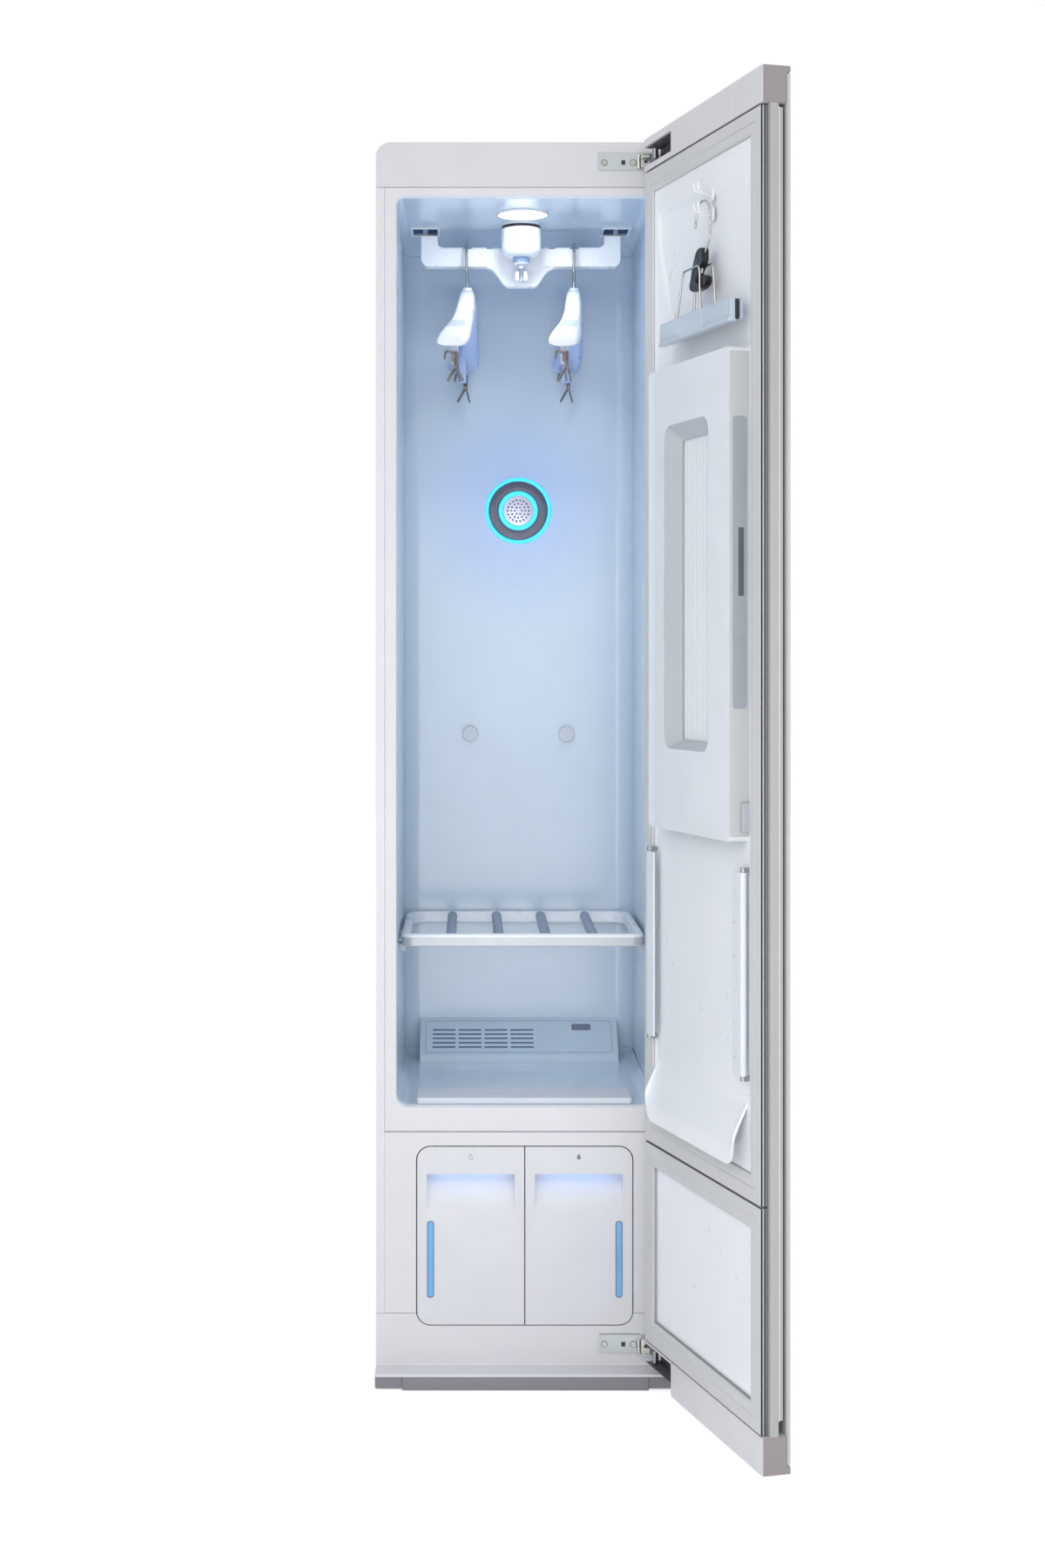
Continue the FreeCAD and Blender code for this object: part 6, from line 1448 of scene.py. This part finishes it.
def lower_surface(t, z):
    """A point of the lower liner: a plain panel with an eased rim."""
    edge = from_rim(t, z, LINER_T, LOWER_LINER_Z)
    return (t, LOWER_LINER_D + LOWER_LINER_RIM * (1 - step(edge, 0, 4)), z)


RAMP_T = (56.0, 384.0)
RAMP_ROWS = (
    (6.5, 505), (2, 492), (-6, 470), (-13, 450), (-16.8, 438), (-18.6, 429), (-18.9, 421), (-18.2, 413),
)
RAMP_CORNER = 26.0
RAMP_SHEET = 0.003


def ramp_surface(t, share):
    """A point of the flared flap under the upper liner: share runs from its top to its rounded foot."""
    top, bottom = RAMP_ROWS[0][1], RAMP_ROWS[-1][1]
    inset = max(0.0, RAMP_CORNER - min(t - RAMP_T[0], RAMP_T[1] - t))
    foot = bottom + RAMP_CORNER - math.sqrt(RAMP_CORNER ** 2 - inset ** 2)
    row = share * (len(RAMP_ROWS) - 1)
    n = min(int(row), len(RAMP_ROWS) - 2)
    (d, z), (next_d, next_z) = RAMP_ROWS[n], RAMP_ROWS[n + 1]
    d += (next_d - d) * (row - n)
    z += (next_z - z) * (row - n)
    stretch = (top - foot) / (top - bottom)
    return (t, d, top - (top - z) * stretch)


def ramp_skin():
    """The flap as a moulded sheet of even thickness."""
    bm = relief(RAMP_T, (0, 1), (110, 40), ramp_surface)
    bmesh.ops.recalc_face_normals(bm, faces=bm.faces)
    if sum(face.normal.y for face in bm.faces) > 0:
        bmesh.ops.reverse_faces(bm, faces=bm.faces)
    bmesh.ops.solidify(bm, geom=bm.faces[:], thickness=RAMP_SHEET)
    bmesh.ops.recalc_face_normals(bm, faces=bm.faces)
    return bm


def liner_finish():
    """Gloss white moulding of the door's inner face."""
    return finish("door_liner", chosen()[0].door_liner, 0.32, grain=0.03, mottle=0.02)


class CABINET_OT_door_liner(bpy.types.Operator):
    """Build the moulded inner face of the door, its flap and the flat panel below"""

    bl_idname = "cabinet.door_liner"
    bl_label = "Build Door Liner"

    def execute(self, context):
        upper = board(LINER_T, LINER_Z, (150, 330), liner_surface, LINER_BACK)
        lower = board(LINER_T, LOWER_LINER_Z, (60, 40), lower_surface, LINER_BACK)
        made = []
        for name, shape, stands_for in (
            ("upper_liner", upper, ("door_liner",)),
            ("lower_liner", lower, ()),
            ("liner_flap", ramp_skin(), ()),
        ):
            made.append(door_piece(name, shape, liner_finish(), stands_for, SOFT_SHARP))
        return finished(self, made)


HOOK_T = 255.0
HOOK_Z = (1694.5, 1722.0)
PRONG_D = 4.4
CATCH_T, CATCH_D, CATCH_Z = (393, 398), (-10, 5), (852, 890)


def hook_pair(z):
    """Two prongs that spread from a small plate and turn up at their tips."""
    parts = []
    for way in (-1, 1):
        route = [(HOOK_T, 4, z - 12), (HOOK_T + way * 3, -8, z - 9), (HOOK_T + way * 6, -17, z - 5)]
        route.append((HOOK_T + way * 9, -18, z + 5))
        parts.append(tube(route, PRONG_D, (10, 5)))
    return parts


def hook_plate(z):
    """The small plate that a pair of prongs stands on."""
    return slab(rectangle(around(HOOK_T, 10), (z - 20, z + 2), (8,) * 4), 2, 6, ease=1.4)


class CABINET_OT_hooks(bpy.types.Operator):
    """Build the white double hooks of the door and the catch of the press"""

    bl_idname = "cabinet.hooks"
    bl_label = "Build Hooks"

    def execute(self, context):
        hooks = joined([part for z in HOOK_Z for part in hook_pair(z)] + [hook_plate(z) for z in HOOK_Z])
        catch = block(CATCH_T, CATCH_D, CATCH_Z, ease=1.2)
        white, slot = liner_finish(), "door_liner_white"
        grey = finish("catch_plastic", colour(176, 181, 188), 0.4)
        made = [
            door_piece("liner_hooks", hooks, white, ("door_hooks",), ROUND_SHARP),
            door_piece("press_catch", catch, grey),
        ]
        return finished(self, made)


PRESS_SIDE_T = 392.0
BOARD_T = (112.0, 380.0)
BOARD_Z = (852.0, 1474.0)
BOARD_D = -9
BOARD_BACK = 5
RIB_PITCH = 11.2
RIB_DEEP = 1.7
# Each row is (t, z, corner radius, depth) of one ring of the window's slanted frame.
FUNNEL_RINGS = (
    ((149, 318), (951, 1406), 23, -23.2),
    ((149.5, 317.5), (951.5, 1405.5), 23, -24.6),
    ((151, 316), (953, 1404), 22, -25),
    ((153, 314.5), (954, 1402), 21, -24.6),
    ((181, 307), (963, 1386), 9, -12.6),
    ((184, 305), (965, 1383), 8, -11.2),
    ((185, 304), (966, 1382), 7.5, -10.4),
    ((183, 306), (964, 1384), 9, -10.2),
    ((151, 318), (951, 1404), 22, -21.4),
)
PANE_T, PANE_Z, PANE_D = (184, 303), (965, 1382), (-11.8, -11.0)
STRIP_T, STRIP_Z, STRIP_D = (391.9, 392.5), (1013, 1395), (-21, -1)
CAP_Z = (1101, 1310)
CAP_PROFILE = ((0, 0.5), (5.6, 0.5), (6.4, 0.3), (6.6, 0), (6.6, -0.4), (0, -0.4))


def board_surface(t, z):
    """A point of the ribbed board."""
    margin = from_rim(t, z, BOARD_T, BOARD_Z)
    rib = 0.5 + 0.5 * math.cos(2 * math.pi * (t - BOARD_T[0]) / RIB_PITCH)
    face = BOARD_D + RIB_DEEP * (1 - rib ** 0.6) * step(margin, 6, 12)
    return (t, face + 5 * (1 - step(margin, -1, 5)), z)


def window_funnel():
    """The slanted frame that leads from the cover's opening down to the board."""
    rings = []
    for t_span, z_span, radius, deep in FUNNEL_RINGS:
        rings.append([(t, deep, z) for t, z in rectangle(t_span, z_span, (radius,) * 4)])
    return loft(rings + rings[:1], capped=False)


def side_strip():
    """The strip on the cover's free side, made flat and turned to face along t."""
    bm = slab(rectangle(STRIP_Z, STRIP_D, (4,) * 4), *STRIP_T, ease=0.2)
    turn = Matrix(((0, 1, 0, 0), (0, 0, 1, 0), (1, 0, 0, 0), (0, 0, 0, 1)))
    bmesh.ops.transform(bm, matrix=turn, verts=bm.verts)
    bmesh.ops.recalc_face_normals(bm, faces=bm.faces)
    return bm


def cover_painted_shade_finish():
    """Gloss white moulding of the press cover, with painted shade: darker on its free side."""
    along, side = door_line(PRESS_SIDE_T)
    # painted shade on the cover's side face at its free side
    deep = (colour(186, 188, 190), "DOT_PRODUCT", along, side - 0.001, side - 0.0004)
    return graded("press_cover", colour(226, 230, 235), 0.34, deep, grain=0.02)


class CABINET_OT_press(bpy.types.Operator):
    """Build the trouser press: cover, window, ribbed board, latch and side strip"""

    bl_idname = "cabinet.press"
    bl_label = "Build Press"

    def execute(self, context):
        grey = finish("press_side", colour(154, 160, 169), 0.4)
        # painted shade: the funnel is greyer than the cover to stand for shade on its slanted walls
        pale_plastic = finish("press_funnel", colour(184, 189, 195), 0.34, coat=0.1)
        dark = finish("latch_dark", colour(84, 90, 100), 0.45)
        pane = clear("press_pane", colour(226, 234, 240), 0.05, 0.12)
        glass = slab(rectangle(PANE_T, PANE_Z, (7,) * 4), *PANE_D, ease=0.2)
        ribbed = board(BOARD_T, BOARD_Z, (268, 60), board_surface, BOARD_BACK)
        caps = joined([lathe(CAP_PROFILE, (STRIP_T[1], -11, z), (1, 0, 0), 40) for z in CAP_Z])
        slot, cover = "door_liner_white", "press_cover"
        made = [
            ease(cover, cover_painted_shade_finish(), 0.0026),
            door_piece("window_funnel", window_funnel(), pale_plastic, body=cover),
            door_piece("window_pane", glass, pane, ("press_window",), body=cover),
            door_piece("ribbed_board", ribbed, liner_finish(), ("press_pad",), SOFT_SHARP),
            ease("press_latch", dark, 0.0005),
            door_piece("press_side_strip", side_strip(), grey, body=cover),
            door_piece("press_side_caps", caps, grey, body=cover),
        ]
        return finished(self, made)


class CABINET_OT_hem_holders(bpy.types.Operator):
    """Build the two hem holders"""

    bl_idname = "cabinet.hem_holders"
    bl_label = "Build Hem Holders"

    def execute(self, context):
        grey = finish("hem_holder", colour(222, 226, 232), 0.34, coat=0.1)
        made = [ease(node, grey, 0.0006) for node in ("hem_holder_left", "hem_holder_right")]
        return finished(self, made)


LOCK_OUTLINE = (
    (252, 1637), (245, 1633), (237, 1622), (230, 1609), (226, 1600), (221.5, 1592), (223, 1585.5),
    (231, 1582), (246, 1580.5), (264, 1581), (277, 1584.5), (281.5, 1590), (279, 1596), (272, 1599.5),
    (263, 1599), (263, 1594), (268, 1591.5), (262, 1589), (250, 1590), (246, 1594), (247, 1599),
    (254, 1607), (265, 1614), (269, 1622), (268, 1636), (262, 1638),
)
LOCK_D = (-15.5, -4.5)
TROUSER_BAR_T = (121.0, 383.0)
TROUSER_BAR_Z = (1520.5, 1552.0)
STEM_D = -10
STEM_WIRE = 3.0
CROOK_MIDDLE = (260, 1675)
CROOK_R = 27
CROOK_TURNS = range(190, -30, -10)
# Each row is (depth, t of both feet, t of both shoulders) of one bow.
BOWS = ((-17.5, (181, 269.5), (206, 266)), (-5, (214, 293), (222, 284)))
BOW_WIRE = 3.2
BOW_Z = (1550, 1613)
SOCKET_PROFILE = ((0, 0), (3.2, 0), (3, 2), (1.8, 9), (0, 9.4))
FIELD_D = (-21.1, -20)
GAP_T, GAP_Z, GAP_D = (376, 384.5), (1523, 1550), (-14, -8)


def trouser_wires():
    """The trouser hanger's hook with its stem and the two bows that carry the clamp."""
    hook = [(230, STEM_D, 1671)]
    for angle in CROOK_TURNS:
        turn = math.radians(angle)
        t, z = CROOK_MIDDLE[0] + CROOK_R * math.cos(turn), CROOK_MIDDLE[1] + CROOK_R * math.sin(turn)
        hook.append((t, STEM_D, z))
    hook += [(287, STEM_D, 1648), (262, STEM_D, 1626), (256, STEM_D, 1604)]
    parts = [tube(hook, STEM_WIRE, [0.5] * len(CROOK_TURNS) + [20, 10])]
    foot_z, top_z = BOW_Z
    for deep, feet, top in BOWS:
        bow = [(feet[0], deep, foot_z), (top[0], deep, top_z)]
        bow += [(top[1], deep, top_z), (feet[1], deep, foot_z)]
        parts.append(tube(bow, BOW_WIRE, (9, 9)))
        parts.append(tube([(top[0], deep, top_z), (245, STEM_D, top_z + 3)], STEM_WIRE))
        parts += [lathe(SOCKET_PROFILE, (foot, deep, foot_z + 1), UP, 24) for foot in feet]
    return joined(parts)


def trouser_clamp():
    """The clamp: a front bar in three fields with a foot bead, and a back bar."""
    (left, right), (low, high) = TROUSER_BAR_T, TROUSER_BAR_Z
    field_z = (low + 9, high - 2)
    parts = [
        slab(rectangle((left, right), (low, high), (3,) * 4), -20.5, -12, ease=1.2),
        slab(rectangle((left + 4, 194), field_z, (2,) * 4), *FIELD_D, ease=0.5),
        slab(rectangle((288, right - 12), field_z, (2,) * 4), *FIELD_D, ease=0.5),
        slab(rectangle((197, 285), (low + 2, high + 0.6), (3,) * 4), -22.4, -19, ease=0.8),
        block((left + 1, right - 1), (-23.2, -17), (low - 0.5, low + 5.5), ease=2.4, segments=4),
        slab(rectangle((left, right), (low + 3, high - 1), (3,) * 4), -10, -2.5, ease=1),
    ]
    return joined(parts)


class CABINET_OT_trouser_hanger(bpy.types.Operator):
    """Build the trouser hanger: its wires, its clamp and its sliding lock"""

    bl_idname = "cabinet.trouser_hanger"
    bl_label = "Build Trouser Hanger"

    def execute(self, context):
        plastic = finish("clamp_plastic", chosen()[0].clamp, 0.24, coat=0.3)
        black = finish("lock_black", colour(13, 13, 15), 0.28)
        nickel = chrome_finish()
        wires, clamp = trouser_wires(), trouser_clamp()
        # painted shade: a black block in the gap at the clamp's end
        gap_shade = slab(rectangle(GAP_T, GAP_Z, (3,) * 4), *GAP_D, ease=0.6)
        lock = slab(LOCK_OUTLINE, *LOCK_D, ease=1.6)
        hanger = "trouser_hanger"
        made = [
            door_piece("trouser_wires", wires, nickel, (hanger,), ROUND_SHARP, hanger),
            door_piece("trouser_clamp", clamp, plastic, ("clamp_bar",), body=hanger),
            door_piece("clamp_gap_shade", gap_shade, black_finish(), body=hanger),
            door_piece("lock_slider", lock, black, ("clamp_lock",), body="clamp_lock"),
        ]
        return finished(self, made)


# ---- operators: stage ----
WORLD_LIGHT = (0.7, 0.705, 0.715, 1)
FLOOR_TINT = (0.93, 0.93, 0.935, 1)
FLOOR_LIFT = (0.5, 0.5, 0.5, 1)
FLOOR_HALF = 12
CAMERA_PLACE = (-84.0, -3350.0, 1076.0)
SENSOR_HEIGHT = 36.0
LENS = 51.5
LENS_SHIFT = (0.0344, -0.0788)
# Each row is (name, place, aim, size, the setting it follows, its share of that power), in metres.
LAMPS = (
    ("key", (-1.6, -3.0, 3.2), (0.05, 0.1, 0.95), (2.4, 2.4), "key_light", 1.0),
    ("fill", (2.2, -2.6, 1.6), (0.0, 0.2, 0.9), (2.0, 2.6), "key_light", 0.45),
    ("front", (-0.05, -1.7, 0.8), (0.0, 0.4, 0.7), (0.6, 1.4), "key_light", 0.3),
    ("ceiling_glow", mm(0, LAMP_Y, CAVITY_Z[1] - 6), (0.0, 0.2, 0.5), (0.06, 0.06), "inside_light", 1.0),
    ("lift", (0.0, 0.2, 0.69), (0.0, 0.2, 1.7), (0.3, 0.26), "inside_light", 0.8),
    ("low_glow", (0.0, 0.22, 0.625), (0.0, 0.22, 0.4), (0.3, 0.2), "inside_light", 0.2),
    ("side", (0.14, -0.22, 1.1), (-0.25, 0.05, 1.1), (0.12, 1.5), "key_light", 0.02),
)
HIDDEN_LAMPS = ("ceiling_glow", "lift", "low_glow", "side")
COOL_LIGHT = (0.92, 0.96, 1.0)
LIFT_SPREAD = math.radians(70)


def soft_lamp(name, place, aim, size, power):
    """A rectangular soft lamp that looks at a point."""
    light = bpy.data.lights.new(name, "AREA")
    light.shape = "RECTANGLE"
    light.size, light.size_y = size
    light.energy = power
    holder = bpy.data.objects.new(name, light)
    holder.location = place
    holder.rotation_euler = (Vector(aim) - Vector(place)).to_track_quat("-Z", "Y").to_euler()
    bpy.context.scene.collection.objects.link(holder)
    return holder


def larger(tree, first, second):
    """The larger of two values."""
    node = tree.nodes.new("ShaderNodeMath")
    node.operation = "MAXIMUM"
    link(tree, first, node.inputs[0])
    link(tree, second, node.inputs[1])
    return node.outputs["Value"]


def white_to_camera(tree, output, dim, white=(1, 1, 1, 1)):
    """A background or floor light that the camera, gloss and clear parts see as white."""
    path = tree.nodes.new("ShaderNodeLightPath")
    seen = larger(tree, path.outputs["Is Camera Ray"], path.outputs["Is Glossy Ray"])
    seen = larger(tree, seen, path.outputs["Is Transmission Ray"])
    blend = tree.nodes.new("ShaderNodeMix")
    blend.data_type = "RGBA"
    blend.inputs["A"].default_value = dim
    blend.inputs["B"].default_value = white
    link(tree, seen, blend.inputs["Factor"])
    link(tree, blend.outputs["Result"], output)


def floor_finish():
    """White floor: it keeps shadows, and a little light for the camera lifts it to the backdrop's white."""
    material = finish("floor_white", FLOOR_TINT, 0.7, grain=0.0, mottle=0.01)
    tree = material.node_tree
    shader = tree.nodes["Principled BSDF"]
    shader.inputs["Specular IOR Level"].default_value = 0.0
    shader.inputs["Emission Strength"].default_value = 1.0
    white_to_camera(tree, shader.inputs["Emission Color"], (0, 0, 0, 1), FLOOR_LIFT)
    return material


def build_world(scene):
    """The backdrop, white to the camera and softer as light."""
    world = bpy.data.worlds.new("studio")
    world.use_nodes = True
    scene.world = world
    backdrop = world.node_tree.nodes["Background"]
    backdrop.inputs["Strength"].default_value = 1.0
    white_to_camera(world.node_tree, backdrop.inputs["Color"], WORLD_LIGHT)


def build_floor(scene):
    """The white floor."""
    bm = bmesh.new()
    bmesh.ops.create_grid(bm, x_segments=1, y_segments=1, size=FLOOR_HALF)
    mesh = bpy.data.meshes.new("floor")
    bm.to_mesh(mesh)
    bm.free()
    mesh.materials.append(floor_finish())
    floor = bpy.data.objects.new("floor", mesh)
    scene.collection.objects.link(floor)


def build_lamps(sizes):
    """The soft lamps of the room, and the small cool ones that only light the inside."""
    for name, place, aim, size, setting, share in LAMPS:
        lamp = soft_lamp(name, place, aim, size, getattr(sizes, setting) * share)
        if name in HIDDEN_LAMPS:
            lamp.data.color = COOL_LIGHT
            lamp.visible_camera = False
            lamp.visible_glossy = False
        if name == "lift":
            lamp.data.spread = LIFT_SPREAD


def build_camera(scene):
    """The camera, level and straight ahead, with a shifted lens."""
    lens = bpy.data.cameras.new("camera")
    lens.sensor_fit = "VERTICAL"
    lens.sensor_height = SENSOR_HEIGHT
    lens.lens = LENS
    lens.shift_x, lens.shift_y = LENS_SHIFT
    lens.clip_end = 100
    camera = bpy.data.objects.new("camera", lens)
    camera.location = mm(*CAMERA_PLACE)
    camera.rotation_euler = (math.pi / 2, 0, 0)
    scene.collection.objects.link(camera)
    scene.camera = camera


class CABINET_OT_stage(bpy.types.Operator):
    """Build the floor, the world, the soft lamps and the camera"""

    bl_idname = "cabinet.stage"
    bl_label = "Build Stage"

    def execute(self, context):
        scene = context.scene
        scene.view_settings.view_transform = "Standard"
        build_world(scene)
        build_floor(scene)
        build_lamps(chosen()[1])
        build_camera(scene)
        if scene.camera is None:
            raise RuntimeError("The camera was not made")
        self.report({"INFO"}, "stage made")
        return {"FINISHED"}


# ---- panel and registration ----
STEPS = (
    CABINET_OT_shell,
    CABINET_OT_hanging_space,
    CABINET_OT_base,
    CABINET_OT_tanks,
    CABINET_OT_machines,
    CABINET_OT_ceiling,
    CABINET_OT_hangers,
    CABINET_OT_nozzle,
    CABINET_OT_shelf,
    CABINET_OT_hinges,
    CABINET_OT_door,
    CABINET_OT_gaskets,
    CABINET_OT_door_liner,
    CABINET_OT_hooks,
    CABINET_OT_press,
    CABINET_OT_hem_holders,
    CABINET_OT_trouser_hanger,
    CABINET_OT_stage,
)


class CABINET_PT_build(bpy.types.Panel):
    """The cabinet's settings and its building steps"""

    bl_idname = "CABINET_PT_build"
    bl_label = "Steam Cabinet"
    bl_space_type = "VIEW_3D"
    bl_region_type = "UI"
    bl_category = "Steam Cabinet"

    def draw(self, context):
        layout = self.layout
        for group in (context.scene.cabinet_colours, context.scene.cabinet_sizes):
            box = layout.box()
            for name in type(group).__annotations__:
                box.prop(group, name)
        for step_class in STEPS:
            layout.operator(step_class.bl_idname)


CLASSES = (CabinetColours, CabinetSizes, *STEPS, CABINET_PT_build)


def register():
    """Add the classes and the scene's settings."""
    for cls in CLASSES:
        bpy.utils.register_class(cls)
    bpy.types.Scene.cabinet_colours = PointerProperty(type=CabinetColours)
    bpy.types.Scene.cabinet_sizes = PointerProperty(type=CabinetSizes)


def unregister():
    """Take them away again."""
    del bpy.types.Scene.cabinet_sizes
    del bpy.types.Scene.cabinet_colours
    for cls in reversed(CLASSES):
        bpy.utils.unregister_class(cls)


def main():
    """Register the add-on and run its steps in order."""
    register()
    for step_class in STEPS:
        group, action = step_class.bl_idname.split(".")
        getattr(getattr(bpy.ops, group), action)()


if __name__ == "__main__":
    main()
